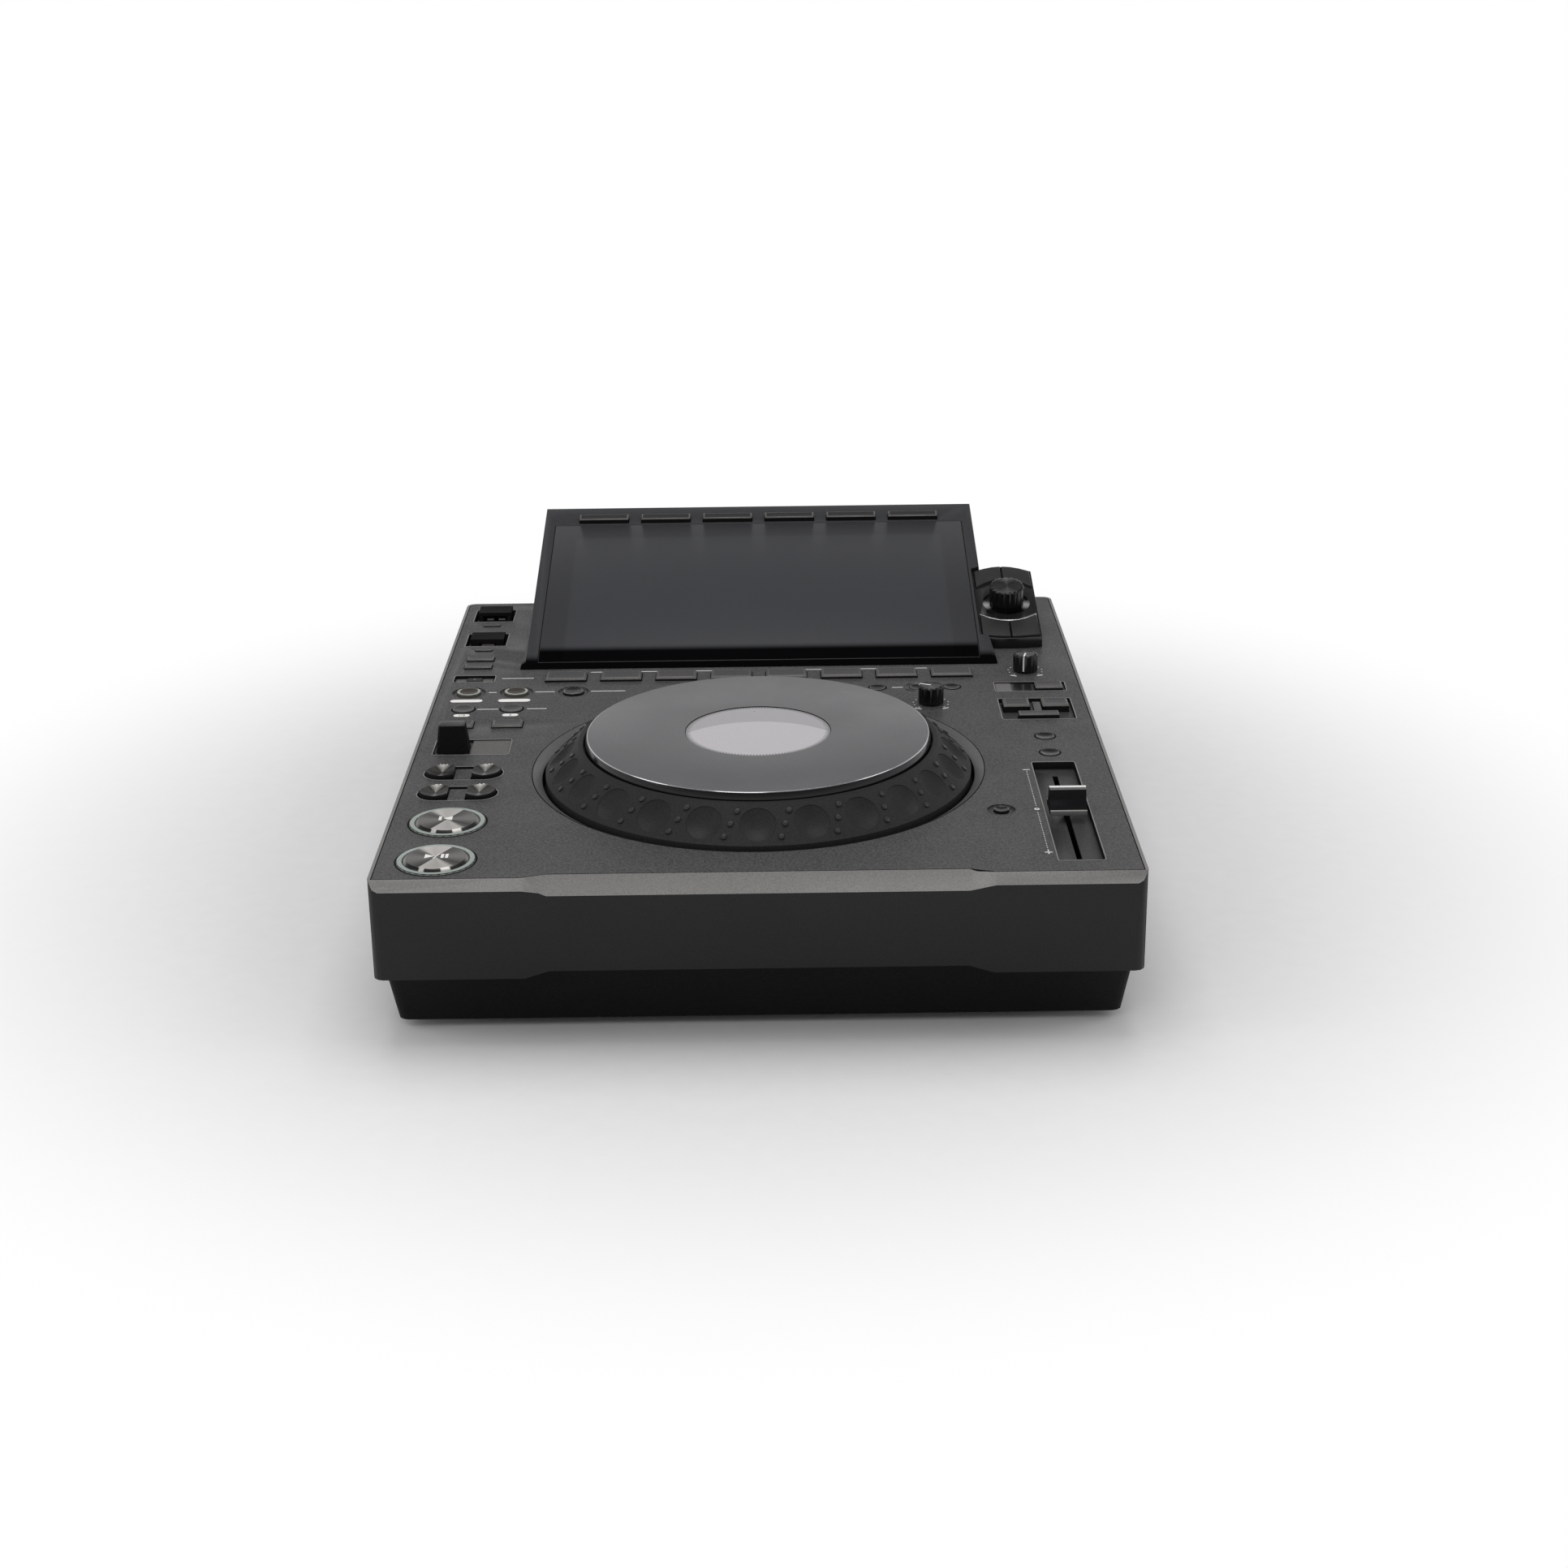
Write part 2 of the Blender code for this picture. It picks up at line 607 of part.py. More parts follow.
def profile_mesh(name, points, closed=False):
    """A profile at +X for the Screw modifier, which runs down its outer side."""
    bm = bmesh.new()
    verts = [bm.verts.new((radius, 0, height)) for radius, height in points]
    for first, second in zip(verts, verts[1:]):
        bm.edges.new((first, second))
    if closed:
        bm.edges.new((verts[-1], verts[0]))
    mesh = bpy.data.meshes.new(name)
    bm.to_mesh(mesh)
    bm.free()
    return mesh


def spin_up(piece, steps):
    """Turns the profile into a solid of revolution about the piece's own Z axis."""
    screw = piece.modifiers.new("turn", "SCREW")
    screw.steps = steps
    screw.render_steps = steps
    screw.use_merge_vertices = True
    screw.merge_threshold = MERGE_DISTANCE
    screw.use_smooth_shade = False
    return piece


def loft(name, rings):
    """A solid through rings of equally many points, from the first ring to the last."""
    bm = bmesh.new()
    loops = [[bm.verts.new(point) for point in ring] for ring in rings]
    for lower, upper in zip(loops, loops[1:]):
        for index in range(len(lower)):
            following = (index + 1) % len(lower)
            bm.faces.new((lower[index], lower[following], upper[following], upper[index]))
    bm.faces.new(list(reversed(loops[0])))
    bm.faces.new(loops[-1])
    return mesh_from(bm, name)


def wedge_mesh(name, points, low, plane_point):
    """An outline from low up to the tilted plane through plane_point."""
    tall = outline_slab(name, points, low, plane_point[2] + overall_depth())
    bm = bmesh.new()
    bm.from_mesh(tall)
    bpy.data.meshes.remove(tall)
    normal = (0, -math.sin(DISPLAY_TILT), math.cos(DISPLAY_TILT))
    geometry = bm.verts[:] + bm.edges[:] + bm.faces[:]
    sliced = bmesh.ops.bisect_plane(bm, geom=geometry, dist=0, plane_co=plane_point, plane_no=normal, clear_outer=True)
    rim = [item for item in sliced["geom_cut"] if isinstance(item, bmesh.types.BMEdge)]
    bmesh.ops.edgenet_fill(bm, edges=rim)
    bmesh.ops.triangulate(bm, faces=[face for face in bm.faces if len(face.verts) > 4])
    return mesh_from(bm, name)


def key_mesh(name, width, depth, rise, plate, lip=FLANGE_LIP):
    """A key that passes through a plate: flange below, body in the hole and a cap with chamfered edges."""
    bm = bmesh.new()
    bmesh.ops.create_cube(bm, size=1)
    bmesh.ops.scale(bm, vec=(width + 2 * lip, depth + 2 * lip, FLANGE_THICKNESS), verts=bm.verts)
    flange_top = -plate - SEAT_GAP
    bmesh.ops.translate(bm, vec=(0, 0, flange_top - FLANGE_THICKNESS / 2), verts=bm.verts)
    top = max(bm.faces, key=lambda face: face.calc_center_median().z)
    bmesh.ops.inset_individual(bm, faces=[top], thickness=lip, use_even_offset=True)
    body = bmesh.ops.extrude_face_region(bm, geom=[top])
    bmesh.ops.delete(bm, geom=[top], context="FACES_ONLY")
    moved = [item for item in body["geom"] if isinstance(item, bmesh.types.BMVert)]
    bmesh.ops.translate(bm, vec=(0, 0, rise - flange_top), verts=moved)
    chamfer_top(bm, min(width, depth) * KEY_EDGE_SHARE)
    return mesh_from(bm, name)


def chamfer_top(bm, width):
    """Chamfers the edges round the highest face."""
    highest = max(vert.co.z for vert in bm.verts)
    edges = [edge for edge in bm.edges if all(abs(vert.co.z - highest) < MERGE_DISTANCE for vert in edge.verts)]
    bmesh.ops.bevel(bm, geom=edges, offset=width, segments=1, profile=0.5, affect="EDGES", material=-1)


def shaped_key_mesh(name, points, rise, plate):
    """A key of any outline that passes through a plate, with a chamfered cap."""
    slab = outline_slab(name, points, -plate - SEAT_GAP - FLANGE_THICKNESS, rise)
    bm = bmesh.new()
    bm.from_mesh(slab)
    bpy.data.meshes.remove(slab)
    chamfer_top(bm, rise * CAP_EDGE_SHARE)
    return mesh_from(bm, name)


def cap_profile(radius, rise, plate, edge, dish):
    """A round button from its dished top down to the flange under its plate."""
    under = -plate - SEAT_GAP
    return [
        (0, rise - dish),
        (radius - edge, rise),
        (radius, rise - edge),
        (radius, under),
        (radius + FLANGE_LIP, under),
        (radius + FLANGE_LIP, under - FLANGE_THICKNESS),
        (0, under - FLANGE_THICKNESS),
    ]


def disc_profile(radius, low, high):
    """A plain round cutter or boss."""
    return [(0, high), (radius, high), (radius, low), (0, low)]


def round_tool(name, radius, low, high, frame, location, collection, steps=SMALL_CAP_STEPS):
    mesh = profile_mesh(name, disc_profile(radius, low, high))
    return spin_up(place(name, mesh, frame, location, collection=collection), steps)


def box_tool(name, low, high, frame, collection):
    return place(name, box_mesh(name, low, high), frame, collection=collection)


# Controls: each one is placed with the hole that it passes through

def round_button(name, x, y, radius, rise, floor, plate, look, dish_share=0.0, edge=None, steps=SMALL_CAP_STEPS):
    """A round button on a floor at height floor, in the plate below that floor."""
    edge = edge or (rise * CAP_EDGE_SHARE)
    mesh = profile_mesh(name, cap_profile(radius, rise, plate, edge, rise * dish_share))
    spin_up(place(name, mesh, DECK, (x, y, floor), look), steps)
    hole = name + "_hole"
    round_tool(hole, radius + RUNNING_GAP, -plate - CUT_OVERRUN, CUT_OVERRUN, DECK, (x, y, floor), PANEL_CUTS, steps)


def panel_key(name, x, y, width, depth, rise, floor, plate, look):
    """A rectangular key on a floor at height floor, in the plate below that floor."""
    piece = place(name, key_mesh(name, width, depth, rise, plate), DECK, (x, y, floor), look)
    half_width = width / 2 + RUNNING_GAP
    half_depth = depth / 2 + RUNNING_GAP
    low = (x - half_width, y - half_depth, floor - plate - CUT_OVERRUN)
    high = (x + half_width, y + half_depth, floor + CUT_OVERRUN)
    box_tool(name + "_hole", low, high, DECK, PANEL_CUTS)
    return piece


def recess(name, points, depth):
    """A recess in the panel with its tray below: the outline is the recess at the panel's surface."""
    place(name + "_recess", outline_slab(name, points, -depth, CUT_OVERRUN), DECK, collection=PANEL_CUTS)
    centre_x = sum(x for x, y in points) / len(points)
    centre_y = sum(y for x, y in points) / len(points)
    reach_x = max(x for x, y in points) - centre_x + TRAY_WALL
    reach_y = max(y for x, y in points) - centre_y + TRAY_WALL
    low = (centre_x - reach_x, centre_y - reach_y, -depth - TRAY_FLOOR)
    high = (centre_x + reach_x, centre_y + reach_y, -PANEL_THICKNESS / 2)
    box_tool(name + "_tray", low, high, DECK, PANEL_BASES)


def knob(name, x, y):
    """A fluted potentiometer knob with its shaft, and a collar that keeps it under the panel."""
    outline = wavy_circle(KNOB_RADIUS, KNOB_FLUTE_DEPTH, KNOB_FLUTES)
    crown = wavy_circle(KNOB_RADIUS - KNOB_CROWN, KNOB_FLUTE_DEPTH, KNOB_FLUTES)
    rings = [
        [(px, py, KNOB_LIFT) for px, py in outline],
        [(px, py, KNOB_HEIGHT - KNOB_CROWN) for px, py in outline],
        [(px, py, KNOB_HEIGHT) for px, py in crown],
    ]
    piece = place(name, loft(name, rings), DECK, (x, y, 0), KEY_GREY)
    add_shaft(piece, name, DECK, (x, y, 0), KNOB_HEIGHT / 2, PANEL_THICKNESS)
    round_tool(name + "_hole", SHAFT_RADIUS + RUNNING_GAP, -PANEL_THICKNESS - CUT_OVERRUN, CUT_OVERRUN,
               DECK, (x, y, 0), PANEL_CUTS)


# Case

def front_line(side, middle):
    """A value along the front: one at the sides, another between the knees."""
    half = BODY_WIDTH / 2 + CUT_OVERRUN
    return [(-half, side), (-KNEE_OUTER, side), (-KNEE_INNER, middle),
            (KNEE_INNER, middle), (KNEE_OUTER, side), (half, side)]


def build_lower_case():
    """The case: walls with the thin rim, the front strip and face, the base and the rear sockets."""
    outline = rounded_rectangle(BODY_WIDTH, BODY_DEPTH, CASE_CORNER_RADIUS, (0, BODY_DEPTH / 2))
    case = place("lower_case", outline_slab("lower_case", outline, -FACE_DROP_SIDE, 0), DECK, look=STRIP_GREY)
    bases = new_collection("case_bases", CUTTERS)
    hollows = new_collection("case_hollows", CUTTERS)
    housings = new_collection("case_housings", CUTTERS)
    mouths = new_collection("case_mouths", CUTTERS)
    build_base_pan(bases, hollows)
    build_front_cuts(hollows)
    build_case_hollow(hollows)
    build_rear_sockets(housings, mouths)
    combine(case, "UNION", bases)
    combine(case, "DIFFERENCE", hollows)
    combine(case, "UNION", housings)
    combine(case, "DIFFERENCE", mouths)


def pan_outline(share, spare):
    """The base pan's plan at a share of the way down its slope, drawn in by spare all round."""
    side = UNDERCUT_SIDE * share + spare
    front = UNDERCUT_FRONT * share + spare
    rear = UNDERCUT_REAR * share + spare
    width = BODY_WIDTH - 2 * side
    depth = BODY_DEPTH - front - rear
    return rounded_rectangle(width, depth, CASE_CORNER_RADIUS, (0, front + depth / 2))


def build_base_pan(bases, hollows):
    """The part of the case below its face, which draws in towards the table, with its feet."""
    bottom = FOOT_HEIGHT - PANEL_HEIGHT
    pan_top = CASE_WALL - FACE_DROP_SIDE
    rings = []
    for share, height in ((WAIST_SHARE, pan_top), (WAIST_SHARE, -FACE_DROP_SIDE), (1, bottom)):
        rings.append([(x, y, height) for x, y in pan_outline(share, 0)])
    place("base_pan", loft("base_pan", rings), DECK, collection=bases)
    hollow = []
    for share, height in ((WAIST_SHARE, pan_top + CUT_OVERRUN), (WAIST_SHARE, -FACE_DROP_SIDE),
                          (1, bottom + CASE_FLOOR)):
        hollow.append([(x, y, height) for x, y in pan_outline(share, CASE_WALL)])
    place("base_pan_hollow", loft("base_pan_hollow", hollow), DECK, collection=hollows)
    foot_xs = (FOOT_INSET - BODY_WIDTH / 2, BODY_WIDTH / 2 - FOOT_INSET)
    foot_ys = (FOOT_INSET, BODY_DEPTH - FOOT_INSET)
    for number, (x, y) in enumerate([(x, y) for x in foot_xs for y in foot_ys], start=1):
        round_tool(f"foot_{number}", FOOT_RADIUS, -PANEL_HEIGHT, bottom + CASE_FLOOR / 2, DECK, (x, y, 0), bases)


def build_front_cuts(cuts):
    """The chamfer of the front strip, and the higher lower edge between the knees."""
    backs = front_line(STRIP_BACK_SIDE, STRIP_BACK_MIDDLE)
    drops = front_line(STRIP_DROP_SIDE, STRIP_DROP_MIDDLE)
    rings = []
    for (x, back), (_, drop) in zip(backs, drops):
        over = CUT_OVERRUN / drop
        rings.append([(x, back * (1 + over), drop * over), (x, -back * over, -drop * (1 + over)),
                      (x, -back * (1 + over), drop * over)])
    place("strip_chamfer", loft("strip_chamfer", rings), DECK, collection=cuts)
    notch = [(-KNEE_OUTER, -FACE_DROP_SIDE - CUT_OVERRUN), (-KNEE_OUTER, -FACE_DROP_SIDE),
             (-KNEE_INNER, -FACE_DROP_MIDDLE), (KNEE_INNER, -FACE_DROP_MIDDLE),
             (KNEE_OUTER, -FACE_DROP_SIDE), (KNEE_OUTER, -FACE_DROP_SIDE - CUT_OVERRUN)]
    rings = [[(x, y, z) for x, z in notch] for y in (-CUT_OVERRUN, UNDERCUT_FRONT * WAIST_SHARE)]
    place("face_notch", loft("face_notch", rings), DECK, collection=cuts)


def panel_outline(spare):
    """The top panel's plan: inside the case's rim, with its front edge behind the strip."""
    half = BODY_WIDTH / 2 - CASE_RIM - spare
    rear = BODY_DEPTH - CASE_RIM - spare
    radius = PANEL_CORNER_RADIUS - spare
    step = STRIP_BACK_MIDDLE - STRIP_BACK_SIDE
    front = STRIP_BACK_SIDE + spare
    points = arc_points((half - radius, rear - radius), radius, 0, math.pi / 2, CORNER_STEPS)
    points += arc_points((radius - half, rear - radius), radius, math.pi / 2, math.pi, CORNER_STEPS)
    points += [(-half, front), (-KNEE_OUTER, front), (-KNEE_INNER, front + step)]
    points += [(KNEE_INNER, front + step), (KNEE_OUTER, front), (half, front)]
    return points


def build_case_hollow(hollows):
    """The seat that the panel lies in, and the space below it."""
    seat = outline_slab("panel_seat", panel_outline(0), -PANEL_THICKNESS - SEAT_GAP, CUT_OVERRUN)
    place("panel_seat", seat, DECK, collection=hollows)
    width = BODY_WIDTH - 2 * CASE_WALL
    depth = BODY_DEPTH - FRONT_WALL - CASE_WALL
    outline = rounded_rectangle(width, depth, CASE_CORNER_RADIUS, (0, FRONT_WALL + depth / 2))
    low = CASE_WALL - FACE_DROP_SIDE
    hollow = outline_slab("case_hollow", outline, low, -PANEL_THICKNESS / 2)
    place("case_hollow", hollow, DECK, collection=hollows)


def socket(name, x, width, height, depth, housings, mouths):
    """A rectangular socket let into the rear wall, in a housing of its own."""
    low = (x - width / 2, BODY_DEPTH - depth, SOCKET_HEIGHT - height / 2)
    high = (x + width / 2, BODY_DEPTH + CUT_OVERRUN, SOCKET_HEIGHT + height / 2)
    box_tool(name + "_mouth", low, high, DECK, mouths)
    house_low = (low[0] - SOCKET_WALL, low[1] - SOCKET_WALL, low[2] - SOCKET_WALL)
    house_high = (high[0] + SOCKET_WALL, BODY_DEPTH - CASE_WALL / 2, high[2] + SOCKET_WALL)
    box_tool(name + "_housing", house_low, house_high, DECK, housings)


def rear_turned(name, profile, x, collection, steps=SMALL_CAP_STEPS):
    """A turned tool on the rear wall, with its axis pointing away from the case."""
    piece = place(name, profile_mesh(name, profile), DECK, (x, BODY_DEPTH, SOCKET_HEIGHT), collection=collection)
    piece.rotation_euler = (-math.pi / 2, 0, 0)
    return spin_up(piece, steps)


def build_rear_sockets(housings, mouths):
    """Mains inlet, network, USB-B, one coaxial and two phono sockets, lock slot and power button hole."""
    socket("inlet", INLET_X, INLET_WIDTH, INLET_HEIGHT, INLET_DEPTH, housings, mouths)
    socket("network", NETWORK_X, NETWORK_WIDTH, NETWORK_HEIGHT, SIGNAL_SOCKET_DEPTH, housings, mouths)
    socket("usb_b", USB_B_X, USB_B_WIDTH, USB_B_HEIGHT, SIGNAL_SOCKET_DEPTH, housings, mouths)
    low = (LOCK_X - LOCK_WIDTH / 2, BODY_DEPTH - CASE_WALL - CUT_OVERRUN, SOCKET_HEIGHT - LOCK_HEIGHT / 2)
    high = (LOCK_X + LOCK_WIDTH / 2, BODY_DEPTH + CUT_OVERRUN, SOCKET_HEIGHT + LOCK_HEIGHT / 2)
    box_tool("lock_slot", low, high, DECK, mouths)
    for number, share in enumerate(PHONO_X_SHARES, start=1):
        profile = [
            (0, PHONO_LENGTH),
            (PHONO_RADIUS, PHONO_LENGTH),
            (PHONO_RADIUS, PHONO_NUT_THICKNESS),
            (PHONO_NUT_RADIUS, PHONO_NUT_THICKNESS),
            (PHONO_NUT_RADIUS, -CASE_WALL / 2),
            (0, -CASE_WALL / 2),
        ]
        rear_turned(f"phono_{number}", profile, share * BODY_WIDTH, housings)
        bore = disc_profile(PHONO_BORE_RADIUS, PHONO_NUT_THICKNESS, PHONO_LENGTH + CUT_OVERRUN)
        rear_turned(f"phono_bore_{number}", bore, share * BODY_WIDTH, mouths)
    hole = disc_profile(POWER_BUTTON_RADIUS + RUNNING_GAP, -CASE_WALL - CUT_OVERRUN, CUT_OVERRUN)
    rear_turned("power_hole", hole, POWER_BUTTON_X, mouths)


def build_power_button():
    """The round button on the rear wall, with its flange inside the case."""
    profile = cap_profile(POWER_BUTTON_RADIUS, POWER_BUTTON_RISE, CASE_WALL, POWER_BUTTON_RISE * CAP_EDGE_SHARE, 0)
    location = (POWER_BUTTON_X, BODY_DEPTH, SOCKET_HEIGHT)
    button = place("power_button", profile_mesh("power_button", profile), DECK, location, SOFT_BLACK)
    button.rotation_euler = (-math.pi / 2, 0, 0)
    spin_up(button, SMALL_CAP_STEPS)


# Top panel

def build_top_panel():
    """The deck plate, made whole after every control has placed its own hole."""
    slab = outline_slab("top_panel", panel_outline(PANEL_GROOVE), -PANEL_THICKNESS, 0)
    panel = place("top_panel", slab, DECK, look=PANEL_GREY)
    combine(panel, "UNION", PANEL_BASES)
    combine(panel, "DIFFERENCE", PANEL_CUTS)
    combine(panel, "UNION", PANEL_FITTINGS)
    combine(panel, "DIFFERENCE", PANEL_FITTING_CUTS)


def build_jog_well():
    """The round well that the jog wheel turns in, with its sloped funnel ring and its bearing collar."""
    centre = (0, JOG_Y, 0)
    bottom = -JOG_WELL_DEPTH - TRAY_FLOOR
    round_tool("jog_well_body", JOG_WELL_RADIUS + JOG_WELL_WALL, bottom, -PANEL_THICKNESS / 2, DECK, centre,
               PANEL_BASES, JOG_STEPS)
    slope = (JOG_FUNNEL_RADIUS - JOG_WELL_RADIUS) / PANEL_THICKNESS
    profile = [
        (0, CUT_OVERRUN),
        (JOG_FUNNEL_RADIUS + slope * CUT_OVERRUN, CUT_OVERRUN),
        (JOG_WELL_RADIUS, -PANEL_THICKNESS),
        (JOG_WELL_RADIUS, -JOG_WELL_DEPTH),
        (0, -JOG_WELL_DEPTH),
    ]
    spin_up(place("jog_well_hollow", profile_mesh("jog_well_hollow", profile), DECK, centre, collection=PANEL_CUTS),
            JOG_STEPS)
    bore = POST_RADIUS + RUNNING_GAP
    collar = [
        (bore, BEARING_HEIGHT - JOG_WELL_DEPTH),
        (bore + BEARING_WALL, BEARING_HEIGHT - JOG_WELL_DEPTH),
        (bore + BEARING_WALL, -JOG_WELL_DEPTH - TRAY_FLOOR / 2),
        (bore, -JOG_WELL_DEPTH - TRAY_FLOOR / 2),
    ]
    spin_up(place("bearing_collar", profile_mesh("bearing_collar", collar, closed=True), DECK, centre,
                  collection=PANEL_FITTINGS), POST_STEPS)


def build_jog_wheel():
    """The rubber ring with its dimples and the disc that it carries, turning together."""
    centre = (0, JOG_Y, 0)
    skirt = [
        (SKIRT_TOP_RADIUS, SKIRT_TOP_HEIGHT),
        (SKIRT_FOOT_RADIUS, 0),
        (SKIRT_FOOT_RADIUS, -SKIRT_HEM_DEPTH),
        (SKIRT_FOOT_RADIUS - SKIRT_WALL, -SKIRT_HEM_DEPTH),
        (SHELF_BORE_RADIUS + SKIRT_WALL, SHELF_HEIGHT - SHELF_THICKNESS),
        (SHELF_BORE_RADIUS, SHELF_HEIGHT - SHELF_THICKNESS),
        (SHELF_BORE_RADIUS, SHELF_HEIGHT),
        (SKIRT_BORE_RADIUS, SHELF_HEIGHT),
        (SKIRT_BORE_RADIUS, SKIRT_TOP_HEIGHT),
    ]
    ring = spin_up(place("jog_ring", profile_mesh("jog_ring", skirt, closed=True), DECK, centre, RUBBER), JOG_STEPS)
    dimples = new_collection("dimples", CUTTERS)
    run = SKIRT_FOOT_RADIUS - SKIRT_TOP_RADIUS
    lean = math.atan2(SKIRT_TOP_HEIGHT, run)
    middle = Vector(((SKIRT_FOOT_RADIUS + SKIRT_TOP_RADIUS) / 2, 0, SKIRT_TOP_HEIGHT / 2))
    bottom = [(0, -DIMPLE_DEPTH), (DIMPLE_RADIUS * DIMPLE_BEND_SHARE, -DIMPLE_DEPTH * DIMPLE_BEND_RISE_SHARE),
              (DIMPLE_RADIUS, 0)]
    lens = list(reversed(bottom + [(DIMPLE_RADIUS, DIMPLE_RADIUS), (0, DIMPLE_RADIUS)]))
    mesh = profile_mesh("dimple", lens)
    for number in range(DIMPLE_COUNT):
        turn = Matrix.Rotation(number * math.tau / DIMPLE_COUNT - math.pi / 2, 4, "Z")
        pose = turn @ Matrix.Translation(middle) @ Matrix.Rotation(math.pi / 2 - lean, 4, "Y")
        tool = place(f"dimple_{number + 1}", mesh, DECK, collection=dimples)
        tool.matrix_local = Matrix.Translation(centre) @ pose
        spin_up(tool, DIMPLE_SIDES)
    combine(ring, "DIFFERENCE", dimples)
    window = WINDOW_RADIUS + RUNNING_GAP
    web_low = WINDOW_TOP_HEIGHT - WINDOW_THICKNESS - SEAT_GAP - CUP_WEB_THICKNESS
    hub_bore = POST_RADIUS + RUNNING_GAP
    disc = [
        (window, DISC_TOP_HEIGHT),
        (DISC_TOP_RADIUS, DISC_TOP_HEIGHT),
        (DISC_RADIUS, DISC_BEVEL_HEIGHT),
        (DISC_RADIUS, SHELF_HEIGHT + SEAT_GAP),
        (DISC_RADIUS - DISC_FLANGE_WIDTH, SHELF_HEIGHT + SEAT_GAP),
        (DISC_RADIUS - DISC_FLANGE_WIDTH, DISC_TOP_HEIGHT - DISC_PLATE),
        (window + CUP_WALL, DISC_TOP_HEIGHT - DISC_PLATE),
        (window + CUP_WALL, web_low),
        (hub_bore + HUB_WALL, web_low),
        (hub_bore + HUB_WALL, -HUB_DEPTH),
        (hub_bore, -HUB_DEPTH),
        (hub_bore, web_low + CUP_WEB_THICKNESS),
        (window, web_low + CUP_WEB_THICKNESS),
    ]
    spin_up(place("jog_disc", profile_mesh("jog_disc", disc, closed=True), DECK, centre, DISC_GREY), JOG_STEPS)


def build_jog_display():
    """The still display in the jog wheel's middle, on the post that the wheel turns about."""
    profile = [
        (0, WINDOW_TOP_HEIGHT),
        (WINDOW_RADIUS, WINDOW_TOP_HEIGHT),
        (WINDOW_RADIUS, WINDOW_TOP_HEIGHT - WINDOW_THICKNESS),
        (POST_RADIUS, WINDOW_TOP_HEIGHT - WINDOW_THICKNESS),
        (POST_RADIUS, SEAT_GAP - JOG_WELL_DEPTH),
        (0, SEAT_GAP - JOG_WELL_DEPTH),
    ]
    window = place("jog_display", profile_mesh("jog_display", profile), DECK, (0, JOG_Y, 0), WINDOW_GREY)
    spin_up(window, POST_STEPS)


# Display

def on_slope(slope_y, lift):
    """The deck's Y and Z of a point up the display's slope and off its surface."""
    y = DISPLAY_Y + slope_y * math.cos(DISPLAY_TILT) - lift * math.sin(DISPLAY_TILT)
    z = DISPLAY_Z + slope_y * math.sin(DISPLAY_TILT) + lift * math.cos(DISPLAY_TILT)
    return y, z


def both_sides(profile):
    """A side profile of half widths, Ys and Zs, as two rings across the deck."""
    return [[(side * half_width, y, z) for half_width, y, z in profile] for side in (-1, 1)]


def build_display_frame(pod_points):
    """The wedge that carries the touch display: flared foot, thin plate on top, open below."""
    outer = [
        (FRAME_FOOT_HALF_WIDTH, DISPLAY_Y - FRAME_FOOT_REACH, SEAT_GAP),
        (FRAME_HALF_WIDTH, *on_slope(0, 0)),
        (FRAME_HALF_WIDTH, *on_slope(FRAME_LENGTH, 0)),
        (FRAME_HALF_WIDTH, *on_slope(FRAME_LENGTH, -FRAME_REAR_DROP)),
        (FRAME_FOOT_HALF_WIDTH, FRAME_FOOT_END_Y, SEAT_GAP),
    ]
    frame = place("display_frame", loft("display_frame", both_sides(outer)), DECK, look=PANEL_GREY)
    open_bottom = SEAT_GAP - CUT_OVERRUN
    start = (open_bottom - DISPLAY_Z + FRAME_PLATE * math.cos(DISPLAY_TILT)) / math.sin(DISPLAY_TILT)
    half_width = FRAME_HALF_WIDTH - FRAME_WALL
    hollow = [
        (half_width, *on_slope(start, -FRAME_PLATE)),
        (half_width, *on_slope(FRAME_LENGTH - FRAME_WALL, -FRAME_PLATE)),
        (half_width, *on_slope(FRAME_LENGTH - FRAME_WALL, FRAME_WALL - FRAME_REAR_DROP)),
        (half_width, FRAME_FOOT_END_Y - FRAME_FOOT_LAND, open_bottom),
    ]
    cuts = new_collection("frame_cuts", CUTTERS)
    place("frame_hollow", loft("frame_hollow", both_sides(hollow)), DECK, collection=cuts)
    notch = outline_slab("pod_notch", pod_points, -CUT_OVERRUN, overall_depth())
    place("pod_notch", notch, DECK, collection=cuts)
    pocket_low = (-GLASS_WIDTH / 2 - RUNNING_GAP, GLASS_FRONT - RUNNING_GAP, -GLASS_THICKNESS - SEAT_GAP)
    pocket_high = (GLASS_WIDTH / 2 + RUNNING_GAP, GLASS_REAR + RUNNING_GAP, CUT_OVERRUN)
    box_tool("glass_pocket", pocket_low, pocket_high, SLOPE, cuts)
    build_source_keys(cuts)
    combine(frame, "DIFFERENCE", cuts)
    glass_low = (-GLASS_WIDTH / 2, GLASS_FRONT, -GLASS_THICKNESS)
    place("display_glass", box_mesh("display_glass", glass_low, (GLASS_WIDTH / 2, GLASS_REAR, 0)), SLOPE,
          look=GLASS_BLACK)


